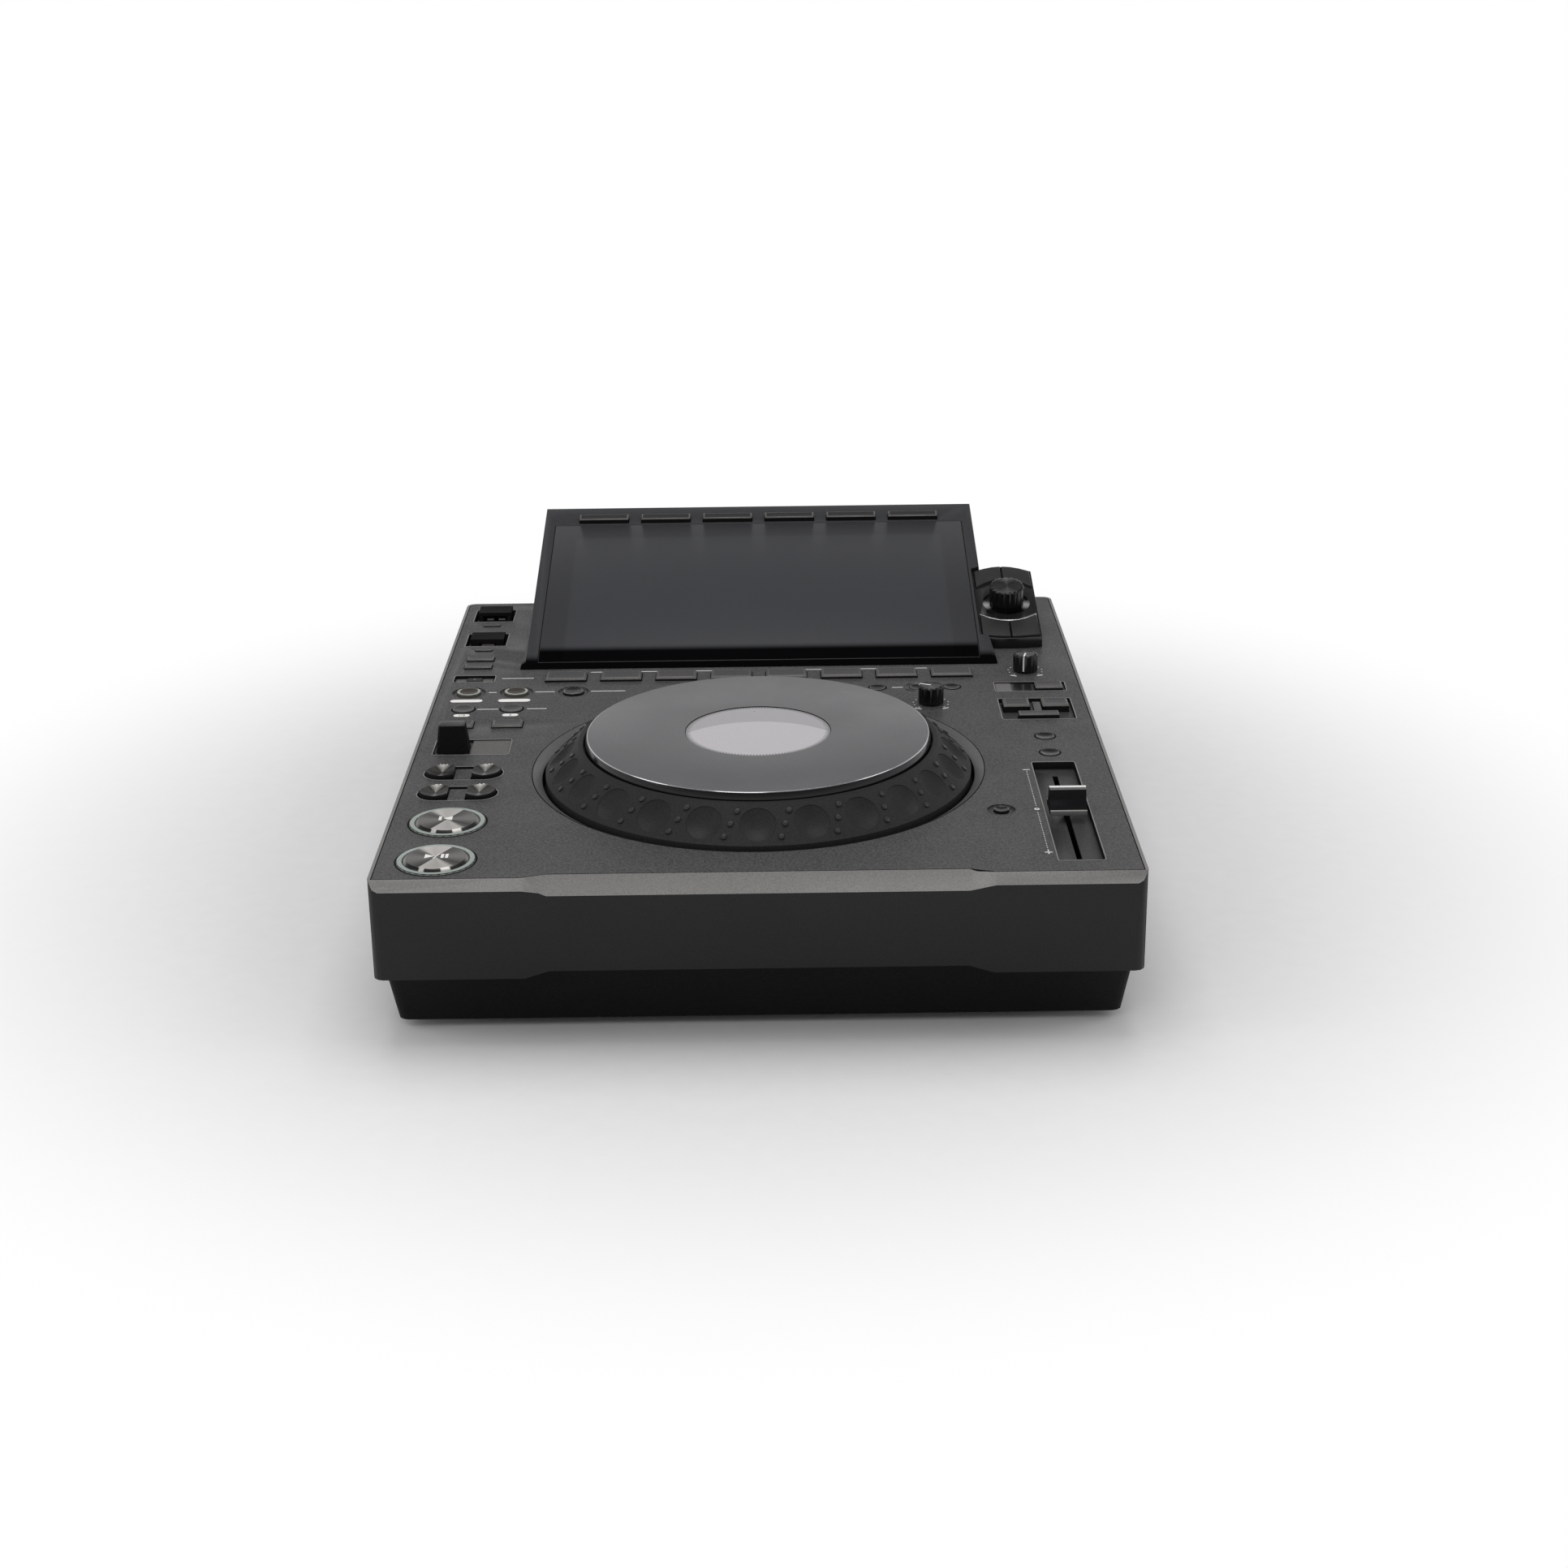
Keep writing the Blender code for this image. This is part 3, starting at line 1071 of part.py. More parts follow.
def build_source_keys(cuts):
    """The row of keys in the frame, over the glass."""
    for number in range(1, SOURCE_KEY_COUNT + 1):
        x = (number - (SOURCE_KEY_COUNT + 1) / 2) * SOURCE_KEY_PITCH
        name = f"source_key_{number}"
        mesh = key_mesh(name, SOURCE_KEY_WIDTH, SOURCE_KEY_DEPTH, SOURCE_KEY_RISE, FRAME_PLATE)
        place(name, mesh, SLOPE, (x, SOURCE_KEY_SLOPE_Y, 0), KEY_GREY)
        half_width = SOURCE_KEY_WIDTH / 2 + RUNNING_GAP
        half_depth = SOURCE_KEY_DEPTH / 2 + RUNNING_GAP
        low = (x - half_width, SOURCE_KEY_SLOPE_Y - half_depth, -FRAME_PLATE - CUT_OVERRUN)
        high = (x + half_width, SOURCE_KEY_SLOPE_Y + half_depth, CUT_OVERRUN)
        box_tool(name + "_hole", low, high, SLOPE, cuts)


# Selector pod

def pod_outline(spare):
    """The pod's plan up its slope: bowed front and rear, drawn in by spare."""
    left = POD_X - POD_HALF_WIDTH + spare
    right = POD_X + POD_HALF_WIDTH - spare
    front = POD_FRONT_SIDE + spare
    rear = POD_REAR_SIDE - spare
    return bow((left, front), (right, front), -POD_FRONT_BOW) + bow((right, rear), (left, rear), POD_REAR_BOW)


def pod_key_outlines(spare):
    """The plans of the two rear and two front keys, drawn in by spare."""
    left = POD_X - POD_HALF_WIDTH + POD_KEY_INSET
    right = POD_X + POD_HALF_WIDTH - POD_KEY_INSET
    rear = POD_REAR_SIDE - POD_KEY_INSET
    front = POD_FRONT_SIDE + POD_KEY_INSET
    half_split = POD_KEY_SPLIT / 2
    outlines = {}
    for name, low, low_bow, high, high_bow in (
        ("rear", POD_REAR_KEY_SIDE, POD_REAR_KEY_BOW, rear, POD_REAR_BOW),
        ("front", front, -POD_FRONT_BOW, POD_FRONT_KEY_SIDE, -POD_FRONT_KEY_BOW),
    ):
        low_edge = bow((left, low), (right, low), low_bow, ARC_STEPS)
        high_edge = bow((left, high), (right, high), high_bow, ARC_STEPS)
        middle = ARC_STEPS // 2
        for side, start, end, direction in (("left", 0, middle, -1), ("right", middle, ARC_STEPS, 1)):
            lower = [list(point) for point in low_edge[start:end + 1]]
            upper = [list(point) for point in high_edge[start:end + 1]]
            inner, outer = (-1, 0) if side == "left" else (0, -1)
            for edge, inward in ((lower, 1), (upper, -1)):
                edge[inner][0] += direction * (half_split + spare)
                edge[outer][0] -= direction * spare
                for point in edge:
                    point[1] += inward * spare
            outlines[(name, side)] = lower + upper[::-1]
    return outlines


def build_selector_pod():
    """The raised block beside the display, with its rotary selector and its four keys."""
    lowest = (0, POD_Y, POD_Z)
    pod_mesh = wedge_mesh("selector_pod", along_slope(pod_outline(0), POD_Y), SEAT_GAP, lowest)
    pod = place("selector_pod", pod_mesh, DECK, look=GLOSS_BLACK)
    cuts = new_collection("pod_cuts", CUTTERS)
    fittings = new_collection("pod_fittings", CUTTERS)
    ceiling = (0, POD_Y + POD_PLATE * math.sin(DISPLAY_TILT), POD_Z - POD_PLATE * math.cos(DISPLAY_TILT))
    hollow = wedge_mesh("pod_hollow", along_slope(pod_outline(POD_WALL), POD_Y), SEAT_GAP - CUT_OVERRUN, ceiling)
    place("pod_hollow", hollow, DECK, collection=cuts)
    names = {("rear", "left"): "back_key", ("rear", "right"): "tag_key",
             ("front", "left"): "track_filter_key", ("front", "right"): "shortcut_key"}
    holes = pod_key_outlines(-RUNNING_GAP)
    for where, outline in pod_key_outlines(0).items():
        name = names[where]
        place(name, shaped_key_mesh(name, outline, POD_KEY_RISE, POD_PLATE), POD, look=SOFT_BLACK)
        hole = outline_slab(name + "_hole", holes[where], -POD_PLATE - CUT_OVERRUN, CUT_OVERRUN)
        place(name + "_hole", hole, POD, collection=cuts)
    centre = (POD_X, SELECTOR_SLOPE_Y, 0)
    round_tool("selector_well", SELECTOR_WELL_RADIUS, -SELECTOR_WELL_DEPTH, CUT_OVERRUN, POD, centre, cuts,
               LARGE_CAP_STEPS)
    round_tool("selector_hole", SHAFT_RADIUS + RUNNING_GAP, -POD_PLATE - CUT_OVERRUN, CUT_OVERRUN, POD, centre, cuts)
    ridge = bow((POD_X - POD_HALF_WIDTH + POD_KEY_INSET, POD_FRONT_KEY_SIDE + POD_RIDGE_GAP),
                (POD_X + POD_HALF_WIDTH - POD_KEY_INSET, POD_FRONT_KEY_SIDE + POD_RIDGE_GAP), -POD_FRONT_KEY_BOW)
    ridge += [(x, y + POD_RIDGE_WIDTH) for x, y in reversed(ridge)]
    place("pod_ridge", outline_slab("pod_ridge", ridge, -POD_PLATE / 2, POD_RIDGE_RISE), POD, collection=fittings)
    combine(pod, "DIFFERENCE", cuts)
    combine(pod, "UNION", fittings)
    build_selector_knob(centre)


def build_selector_knob(centre):
    """The fluted rotary selector, with its shaft through the pod's plate and a collar below it."""
    low = KNOB_LIFT - SELECTOR_WELL_DEPTH
    wall = wavy_circle(SELECTOR_RADIUS, SELECTOR_FLUTE_DEPTH, SELECTOR_FLUTES)
    crown = wavy_circle(SELECTOR_RADIUS - KNOB_CROWN, SELECTOR_FLUTE_DEPTH, SELECTOR_FLUTES)
    rings = [
        [(x, y, low) for x, y in wall],
        [(x, y, SELECTOR_HEIGHT - KNOB_CROWN) for x, y in wall],
        [(x, y, SELECTOR_HEIGHT) for x, y in crown],
    ]
    knob_piece = place("selector_knob", loft("selector_knob", rings), POD, centre, GLOSS_BLACK)
    add_shaft(knob_piece, "selector_knob", POD, centre, SELECTOR_HEIGHT / 2, POD_PLATE)


# Knobs

def add_shaft(piece, name, frame, centre, high, plate):
    """A shaft through the plate with the collar that keeps it there, in one body with the knob."""
    under = -plate - SEAT_GAP
    profile = [
        (0, high),
        (SHAFT_RADIUS, high),
        (SHAFT_RADIUS, under),
        (COLLAR_RADIUS, under),
        (COLLAR_RADIUS, under - COLLAR_THICKNESS),
        (0, under - COLLAR_THICKNESS),
    ]
    stem = new_collection(name + "_stem", CUTTERS)
    shaft = place(name + "_shaft", profile_mesh(name + "_shaft", profile), frame, centre, collection=stem)
    spin_up(shaft, SMALL_CAP_STEPS)
    combine(piece, "UNION", stem)


def build_knobs():
    knob("vinyl_speed_knob", RIGHT_X, VINYL_SPEED_Y)
    knob("jog_adjust_knob", JOG_ADJUST_X, JOG_ADJUST_Y)


# USB recesses

def build_usb_recess(number, centre_y, hood_rise, mouth_width, mouth_height):
    """A recess whose floor slopes down to a hooded socket at its rear end."""
    front = centre_y - USB_RECESS_LENGTH / 2
    rear = centre_y + USB_RECESS_LENGTH / 2
    half = USB_RECESS_WIDTH / 2
    hood_front = rear - USB_HOOD_LENGTH
    side = [
        (front, -USB_LIP_DEPTH),
        (front + USB_RAMP_LENGTH, -USB_RECESS_DEPTH),
        (rear, -USB_RECESS_DEPTH),
        (rear, CUT_OVERRUN),
        (front, CUT_OVERRUN),
    ]
    name = f"usb_{number}"
    rings = [[(x, y, z) for y, z in side] for x in (USB_X - half, USB_X + half)]
    place(name + "_recess", loft(name + "_recess", rings), DECK, collection=PANEL_CUTS)
    tray_low = (USB_X - half - TRAY_WALL, front - TRAY_WALL, -USB_RECESS_DEPTH - TRAY_FLOOR)
    tray_high = (USB_X + half + TRAY_WALL, rear + TRAY_WALL, -PANEL_THICKNESS / 2)
    box_tool(name + "_tray", tray_low, tray_high, DECK, PANEL_BASES)
    hood_low = (USB_X - USB_HOOD_WIDTH / 2, hood_front, -USB_RECESS_DEPTH - TRAY_FLOOR / 2)
    hood_high = (USB_X + USB_HOOD_WIDTH / 2, rear + USB_HOOD_BACK, hood_rise)
    box_tool(name + "_hood", hood_low, hood_high, DECK, PANEL_FITTINGS)
    mouth_bottom = -USB_RECESS_DEPTH + USB_MOUTH_LIFT
    mouth_low = (USB_X - mouth_width / 2, hood_front - CUT_OVERRUN, mouth_bottom)
    mouth_high = (USB_X + mouth_width / 2, hood_front + USB_MOUTH_DEPTH, mouth_bottom + mouth_height)
    box_tool(name + "_mouth", mouth_low, mouth_high, DECK, PANEL_FITTING_CUTS)


def build_usb_recesses():
    """USB-A behind, USB-C in front, each with its stop key before it."""
    build_usb_recess(1, USB_A_Y, USB_HOOD_RISE, USB_A_MOUTH_WIDTH, USB_A_MOUTH_HEIGHT)
    build_usb_recess(2, USB_C_Y, USB_C_HOOD_RISE, USB_C_MOUTH_WIDTH, USB_C_MOUTH_HEIGHT)
    for number, socket_y in enumerate((USB_A_Y, USB_C_Y), start=1):
        panel_key(f"usb_stop_key_{number}", USB_X, socket_y - STOP_KEY_OFFSET, STOP_KEY_WIDTH, STOP_KEY_DEPTH,
                  STOP_KEY_RISE, 0, PANEL_THICKNESS, KEY_GREY)


# Direction lever

def build_direction_lever():
    """The tall lever in its recess, rocking on an axle between two ears under the tray."""
    floor = -DIRECTION_RECESS_DEPTH
    recess("direction", rounded_rectangle(DIRECTION_RECESS_WIDTH, DIRECTION_RECESS_LENGTH, RECESS_CORNER_RADIUS,
                                          (DIRECTION_X, DIRECTION_Y)), DIRECTION_RECESS_DEPTH)
    pivot_z = floor - LEVER_PIVOT_DEPTH
    skirt_z = LEVER_PIVOT_DEPTH + LEVER_SKIRT_LIFT
    top_z = LEVER_RISE - pivot_z
    body = []
    for width, depth, z in ((LEVER_WIDTH, LEVER_DEPTH, skirt_z), (LEVER_TOP_WIDTH, LEVER_TOP_DEPTH, top_z)):
        body.append([(x, y, z) for x, y in rounded_rectangle(width, depth, LEVER_EDGE_RADIUS, steps=1)])
    lever = place("direction_lever", loft("direction_lever", body), DECK, (LEVER_X, LEVER_Y, pivot_z), SOFT_BLACK)
    neck = new_collection("lever_neck", CUTTERS)
    location = (LEVER_X, LEVER_Y, pivot_z)
    neck_low = (-LEVER_NECK_WIDTH / 2, -LEVER_NECK_DEPTH / 2, 0)
    neck_high = (LEVER_NECK_WIDTH / 2, LEVER_NECK_DEPTH / 2, (skirt_z + top_z) / 2)
    place("lever_neck_block", box_mesh("lever_neck_block", neck_low, neck_high), DECK, location, collection=neck)
    for name, radius, reach in (("lever_hub", LEVER_HUB_RADIUS, LEVER_NECK_WIDTH / 2),
                                ("lever_axle", LEVER_AXLE_RADIUS, LEVER_NECK_WIDTH / 2 + LEVER_EAR_WIDTH)):
        tool = round_tool(name, radius, -reach, reach, DECK, location, neck)
        tool.rotation_euler = (0, math.pi / 2, 0)
    combine(lever, "UNION", neck)
    hole_half_width = LEVER_NECK_WIDTH / 2 + 2 * RUNNING_GAP
    sweep = LEVER_PIVOT_DEPTH * math.tan(LEVER_SWING)
    hole_half_depth = LEVER_NECK_DEPTH / 2 / math.cos(LEVER_SWING) + sweep + RUNNING_GAP
    box_tool("lever_slot", (LEVER_X - hole_half_width, LEVER_Y - hole_half_depth, floor - TRAY_FLOOR - CUT_OVERRUN),
             (LEVER_X + hole_half_width, LEVER_Y + hole_half_depth, floor + CUT_OVERRUN), DECK, PANEL_CUTS)
    for side in (-1, 1):
        near = LEVER_X + side * (LEVER_NECK_WIDTH / 2 + RUNNING_GAP)
        far = near + side * LEVER_EAR_WIDTH
        low = (min(near, far), LEVER_Y - LEVER_EAR_HALF_DEPTH, pivot_z - LEVER_EAR_HALF_DEPTH)
        high = (max(near, far), LEVER_Y + LEVER_EAR_HALF_DEPTH, floor - TRAY_FLOOR / 2)
        box_tool(f"lever_ear_{side + 2}", low, high, DECK, PANEL_FITTINGS)
    bore_reach = LEVER_NECK_WIDTH / 2 + LEVER_EAR_WIDTH + CUT_OVERRUN
    bore = round_tool("lever_bore", LEVER_AXLE_RADIUS + RUNNING_GAP, -bore_reach, bore_reach, DECK, location,
                      PANEL_FITTING_CUTS)
    bore.rotation_euler = (0, math.pi / 2, 0)


# Tempo slider

def build_tempo_slider():
    """The slider's tray with its slot, and the cap with its hollow faces on a stem and carriage."""
    outline = rounded_rectangle(SLIDER_RECESS_WIDTH, SLIDER_RECESS_LENGTH, RECESS_CORNER_RADIUS, (RIGHT_X, SLIDER_Y))
    recess("slider", outline, SLIDER_RECESS_DEPTH)
    floor = -SLIDER_RECESS_DEPTH
    reach = SLIDER_TRAVEL + SLIDER_STEM_LENGTH / 2 + SLIDER_SLOT_GAP
    half_slot = SLIDER_STEM_WIDTH / 2 + SLIDER_SLOT_GAP
    box_tool("slider_slot", (RIGHT_X - half_slot, SLIDER_Y - reach, floor - TRAY_FLOOR - CUT_OVERRUN),
             (RIGHT_X + half_slot, SLIDER_Y + reach, floor + CUT_OVERRUN), DECK, PANEL_CUTS)
    low = SLIDER_CAP_LIFT - SLIDER_RECESS_DEPTH
    half = SLIDER_CAP_LENGTH / 2
    lip = low + SLIDER_LIP_HEIGHT
    ridge = SLIDER_RIDGE_LENGTH / 2
    shoulder = (ridge + SLIDER_RIDGE_EDGE, SLIDER_CAP_RISE - SLIDER_RIDGE_EDGE)
    side = bow((half, lip), shoulder, -SLIDER_HOLLOW, SLIDER_HOLLOW_STEPS) + [(ridge, SLIDER_CAP_RISE)]
    profile = [(-half, low), (half, low)] + side + [(-y, z) for y, z in reversed(side)]
    rings = [[(x, y, z) for y, z in profile] for x in (-SLIDER_CAP_WIDTH / 2, SLIDER_CAP_WIDTH / 2)]
    location = (RIGHT_X, SLIDER_Y, 0)
    slider = place("tempo_slider", loft("tempo_slider", rings), DECK, location, SOFT_BLACK)
    stem = new_collection("slider_stem", CUTTERS)
    carriage_top = floor - TRAY_FLOOR - SEAT_GAP
    carriage_middle = carriage_top - SLIDER_CARRIAGE_THICKNESS / 2
    place("slider_stem_block", box_mesh(
        "slider_stem_block", (-SLIDER_STEM_WIDTH / 2, -SLIDER_STEM_LENGTH / 2, carriage_middle),
        (SLIDER_STEM_WIDTH / 2, SLIDER_STEM_LENGTH / 2, (low + lip) / 2)), DECK, location, collection=stem)
    place("slider_carriage", box_mesh(
        "slider_carriage", (-SLIDER_CARRIAGE_WIDTH / 2, -SLIDER_CARRIAGE_LENGTH / 2,
                            carriage_top - SLIDER_CARRIAGE_THICKNESS),
        (SLIDER_CARRIAGE_WIDTH / 2, SLIDER_CARRIAGE_LENGTH / 2, carriage_top)), DECK, location, collection=stem)
    combine(slider, "UNION", stem)


# Keys and buttons

def dish(name, x, y, radius, depth, steps=SMALL_CAP_STEPS):
    """A shallow round recess about a button."""
    round_tool(name + "_dish", radius, -depth, CUT_OVERRUN, DECK, (x, y, 0), PANEL_CUTS, steps)


def build_loop_controls():
    """Loop in, loop out, reloop, half and double."""
    remaining = PANEL_THICKNESS - LOOP_DISH_DEPTH
    for name, x in (("loop_in_button", LEFT_X), ("loop_out_button", LOOP_OUT_X)):
        dish(name, x, LOOP_Y, LOOP_DISH_RADIUS, LOOP_DISH_DEPTH)
        round_button(name, x, LOOP_Y, LOOP_CAP_RADIUS, LOOP_CAP_RISE, -LOOP_DISH_DEPTH, remaining, OLIVE_LENS,
                     DISH_SHARE, LOOP_CAP_EDGE)
    dish("reloop_button", RELOOP_X, LOOP_Y, RELOOP_DISH_RADIUS, LOOP_DISH_DEPTH)
    round_button("reloop_button", RELOOP_X, LOOP_Y, RELOOP_CAP_RADIUS, RELOOP_CAP_RISE, -LOOP_DISH_DEPTH, remaining,
                 SOFT_BLACK, DISH_SHARE, LOOP_CAP_EDGE)
    for name, x in (("loop_half_button", LEFT_X), ("loop_double_button", LOOP_OUT_X)):
        round_button(name, x, HALF_Y, HALF_CAP_RADIUS, HALF_CAP_RISE, 0, PANEL_THICKNESS, SOFT_BLACK, DISH_SHARE)


def build_left_keys():
    """The two mode keys, the call key in its recess and the beat jump keys."""
    for name, y in (("quantize_key", QUANTIZE_Y), ("time_mode_key", TIME_MODE_Y)):
        panel_key(name, USB_X, y, MODE_KEY_WIDTH, MODE_KEY_DEPTH, MODE_KEY_RISE, 0, PANEL_THICKNESS, KEY_GREY)
    recess("call", rounded_rectangle(CALL_RECESS_WIDTH, CALL_RECESS_LENGTH, RECESS_CORNER_RADIUS, (USB_X, CALL_Y)),
           CALL_RECESS_DEPTH)
    panel_key("call_key", USB_X, CALL_Y, CALL_KEY_WIDTH, CALL_KEY_DEPTH, CALL_KEY_RISE, -CALL_RECESS_DEPTH,
              TRAY_FLOOR, SOFT_BLACK)
    for name, x in (("beat_jump_back_key", LEFT_X), ("beat_jump_forward_key", LOOP_OUT_X)):
        panel_key(name, x, BEAT_JUMP_Y, BEAT_JUMP_WIDTH, BEAT_JUMP_DEPTH, BEAT_JUMP_RISE, 0, PANEL_THICKNESS,
                  KEY_GREY)


def build_search_buttons():
    """Two pairs of spun caps, each pair in a capsule-shaped recess."""
    recess_depth = 2 * (SEARCH_CAP_RADIUS + SEARCH_RECESS_MARGIN)
    for prefix, y in (("track_search", TRACK_SEARCH_Y), ("search", SEARCH_Y)):
        outline = rounded_rectangle(SEARCH_RECESS_WIDTH, recess_depth, recess_depth / 2 - MERGE_DISTANCE,
                                    (SEARCH_X, y), CAPSULE_STEPS)
        recess(prefix, outline, SEARCH_RECESS_DEPTH)
        for suffix, side in (("back_button", -1), ("forward_button", 1)):
            round_button(f"{prefix}_{suffix}", SEARCH_X + side * SEARCH_SPACING / 2, y, SEARCH_CAP_RADIUS,
                         SEARCH_CAP_RISE, -SEARCH_RECESS_DEPTH, TRAY_FLOOR, DARK_METAL, 0, SEARCH_CAP_EDGE)


def build_cue_and_play():
    """The two large steel buttons, each in a pale ring that stands a little proud."""
    for name, y in (("cue_button", CUE_Y), ("play_button", PLAY_Y)):
        round_tool(name + "_ring", CUE_RING_RADIUS, -PANEL_THICKNESS / 2, CUE_RING_RISE, DECK, (CUE_X, y, 0),
                   PANEL_BASES, LARGE_CAP_STEPS)
        round_button(name, CUE_X, y, CUE_CAP_RADIUS, CUE_CAP_RISE, 0, PANEL_THICKNESS, SPUN_STEEL, 0, CUE_CAP_EDGE,
                     LARGE_CAP_STEPS)


def build_middle_rows():
    """The hot cue keys before the display, and the three cue memory buttons."""
    for number in range(1, HOT_CUE_COUNT + 1):
        x = (number - (HOT_CUE_COUNT + 1) / 2) * HOT_CUE_PITCH
        panel_key(f"hot_cue_key_{number}", x, HOT_CUE_Y, HOT_CUE_WIDTH, HOT_CUE_DEPTH, HOT_CUE_RISE, 0,
                  PANEL_THICKNESS, KEY_GREY)
    for name, x in (("cue_call_button", CUE_CALL_X), ("cue_delete_button", CUE_DELETE_X),
                    ("cue_memory_button", CUE_MEMORY_X)):
        round_button(name, x, CUE_MEMORY_Y, CUE_MEMORY_RADIUS, CUE_MEMORY_RISE, 0, PANEL_THICKNESS, SOFT_BLACK,
                     DISH_SHARE)


def build_right_column():
    """Jog mode, the three sync keys, one of them T-shaped, and the three tempo buttons."""
    recess("jog_mode", rounded_rectangle(JOG_MODE_RECESS_WIDTH, JOG_MODE_RECESS_LENGTH, RECESS_CORNER_RADIUS,
                                         (RIGHT_X, JOG_MODE_Y)), JOG_MODE_RECESS_DEPTH)
    panel_key("jog_mode_key", JOG_MODE_KEY_X, JOG_MODE_Y, JOG_MODE_KEY_WIDTH, JOG_MODE_KEY_DEPTH,
              JOG_MODE_KEY_RISE, -JOG_MODE_RECESS_DEPTH, TRAY_FLOOR, KEY_GREY)
    recess("sync", rounded_rectangle(SYNC_RECESS_WIDTH, SYNC_RECESS_LENGTH, RECESS_CORNER_RADIUS, (RIGHT_X, SYNC_Y)),
           SYNC_RECESS_DEPTH)
    for name, side in (("key_sync_key", -1), ("beat_sync_key", 1)):
        panel_key(name, RIGHT_X + side * SYNC_SIDE_OFFSET, SYNC_Y + SYNC_REAR_OFFSET, SYNC_KEY_WIDTH, SYNC_KEY_DEPTH,
                  SYNC_KEY_RISE, -SYNC_RECESS_DEPTH, TRAY_FLOOR, KEY_GREY)
    master_y = SYNC_Y - SYNC_FRONT_OFFSET
    master = panel_key("master_key", RIGHT_X, master_y, MASTER_KEY_WIDTH, MASTER_KEY_DEPTH, SYNC_KEY_RISE,
                       -SYNC_RECESS_DEPTH, TRAY_FLOOR, KEY_GREY)
    stem = new_collection("master_stem", CUTTERS)
    stem_top = SYNC_KEY_RISE - MASTER_STEM_DROP
    place("master_stem_block", box_mesh(
        "master_stem_block", (-MASTER_STEM_WIDTH / 2, 0, stem_top - MASTER_STEM_THICKNESS),
        (MASTER_STEM_WIDTH / 2, MASTER_KEY_DEPTH / 2 + MASTER_STEM_LENGTH, stem_top)), DECK,
        (RIGHT_X, master_y, -SYNC_RECESS_DEPTH), collection=stem)
    combine(master, "UNION", stem)
    for name, y in (("tempo_range_button", TEMPO_RANGE_Y), ("master_tempo_button", MASTER_TEMPO_Y)):
        round_button(name, RIGHT_X, y, TEMPO_BUTTON_RADIUS, TEMPO_BUTTON_RISE, 0, PANEL_THICKNESS, SOFT_BLACK,
                     DISH_SHARE)
    dish("tempo_reset_button", TEMPO_RESET_X, SLIDER_Y, TEMPO_RESET_DISH_RADIUS, TEMPO_RESET_DISH_DEPTH)
    round_button("tempo_reset_button", TEMPO_RESET_X, SLIDER_Y, TEMPO_RESET_RADIUS, TEMPO_RESET_RISE,
                 -TEMPO_RESET_DISH_DEPTH, PANEL_THICKNESS - TEMPO_RESET_DISH_DEPTH, SOFT_BLACK, DISH_SHARE)


def clear_scene():
    for piece in list(bpy.data.objects):
        bpy.data.objects.remove(piece)
    for collection in list(bpy.data.collections):
        bpy.data.collections.remove(collection)


clear_scene()
PARTS = new_collection("club_media_player", bpy.context.scene.collection)
CUTTERS = new_collection("cutters", bpy.context.scene.collection)
PANEL_BASES = new_collection("panel_bases", CUTTERS)
PANEL_CUTS = new_collection("panel_cuts", CUTTERS)
PANEL_FITTINGS = new_collection("panel_fittings", CUTTERS)
PANEL_FITTING_CUTS = new_collection("panel_fitting_cuts", CUTTERS)
DECK = new_frame("deck", (0, -overall_depth() / 2, PANEL_HEIGHT), 0, None)
SLOPE = new_frame("display_slope", (0, DISPLAY_Y, DISPLAY_Z), DISPLAY_TILT, DECK)
POD = new_frame("pod_slope", (0, POD_Y, POD_Z), DISPLAY_TILT, DECK)

build_lower_case()
build_power_button()
build_jog_well()
build_jog_wheel()
build_jog_display()
build_selector_pod()
build_display_frame(along_slope(pod_outline(-POD_GAP), POD_Y))
build_usb_recesses()
build_left_keys()
build_loop_controls()
build_direction_lever()
build_search_buttons()
build_cue_and_play()
build_middle_rows()
build_knobs()
build_right_column()
build_tempo_slider()
build_top_panel()
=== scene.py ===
"""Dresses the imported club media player: finishes, finer shapes, printed marks, studio and camera.

Metres, +Z up, +Y away from the person who plays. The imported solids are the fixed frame, and each piece
is made in its place and rides on the body that it belongs to.
"""

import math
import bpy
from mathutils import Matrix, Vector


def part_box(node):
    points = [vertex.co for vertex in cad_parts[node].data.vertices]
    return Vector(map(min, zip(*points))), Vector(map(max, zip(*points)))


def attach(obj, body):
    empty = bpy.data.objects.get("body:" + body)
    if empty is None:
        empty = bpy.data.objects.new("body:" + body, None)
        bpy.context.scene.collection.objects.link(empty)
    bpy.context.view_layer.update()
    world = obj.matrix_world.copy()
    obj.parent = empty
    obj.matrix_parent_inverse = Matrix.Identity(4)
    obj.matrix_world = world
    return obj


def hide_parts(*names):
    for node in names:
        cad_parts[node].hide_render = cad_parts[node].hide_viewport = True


bl_info = {
    "name": "Club Media Player",
    "version": (1, 0, 0),
    "blender": (4, 5, 0),
    "location": "View3D > Sidebar > Player",
    "description": "Builds the looks of a club media player on its packed solids",
    "category": "Object",
}

import bmesh
import bpy
from bpy.props import FloatProperty, FloatVectorProperty, IntProperty, PointerProperty
from mathutils import Matrix, Vector

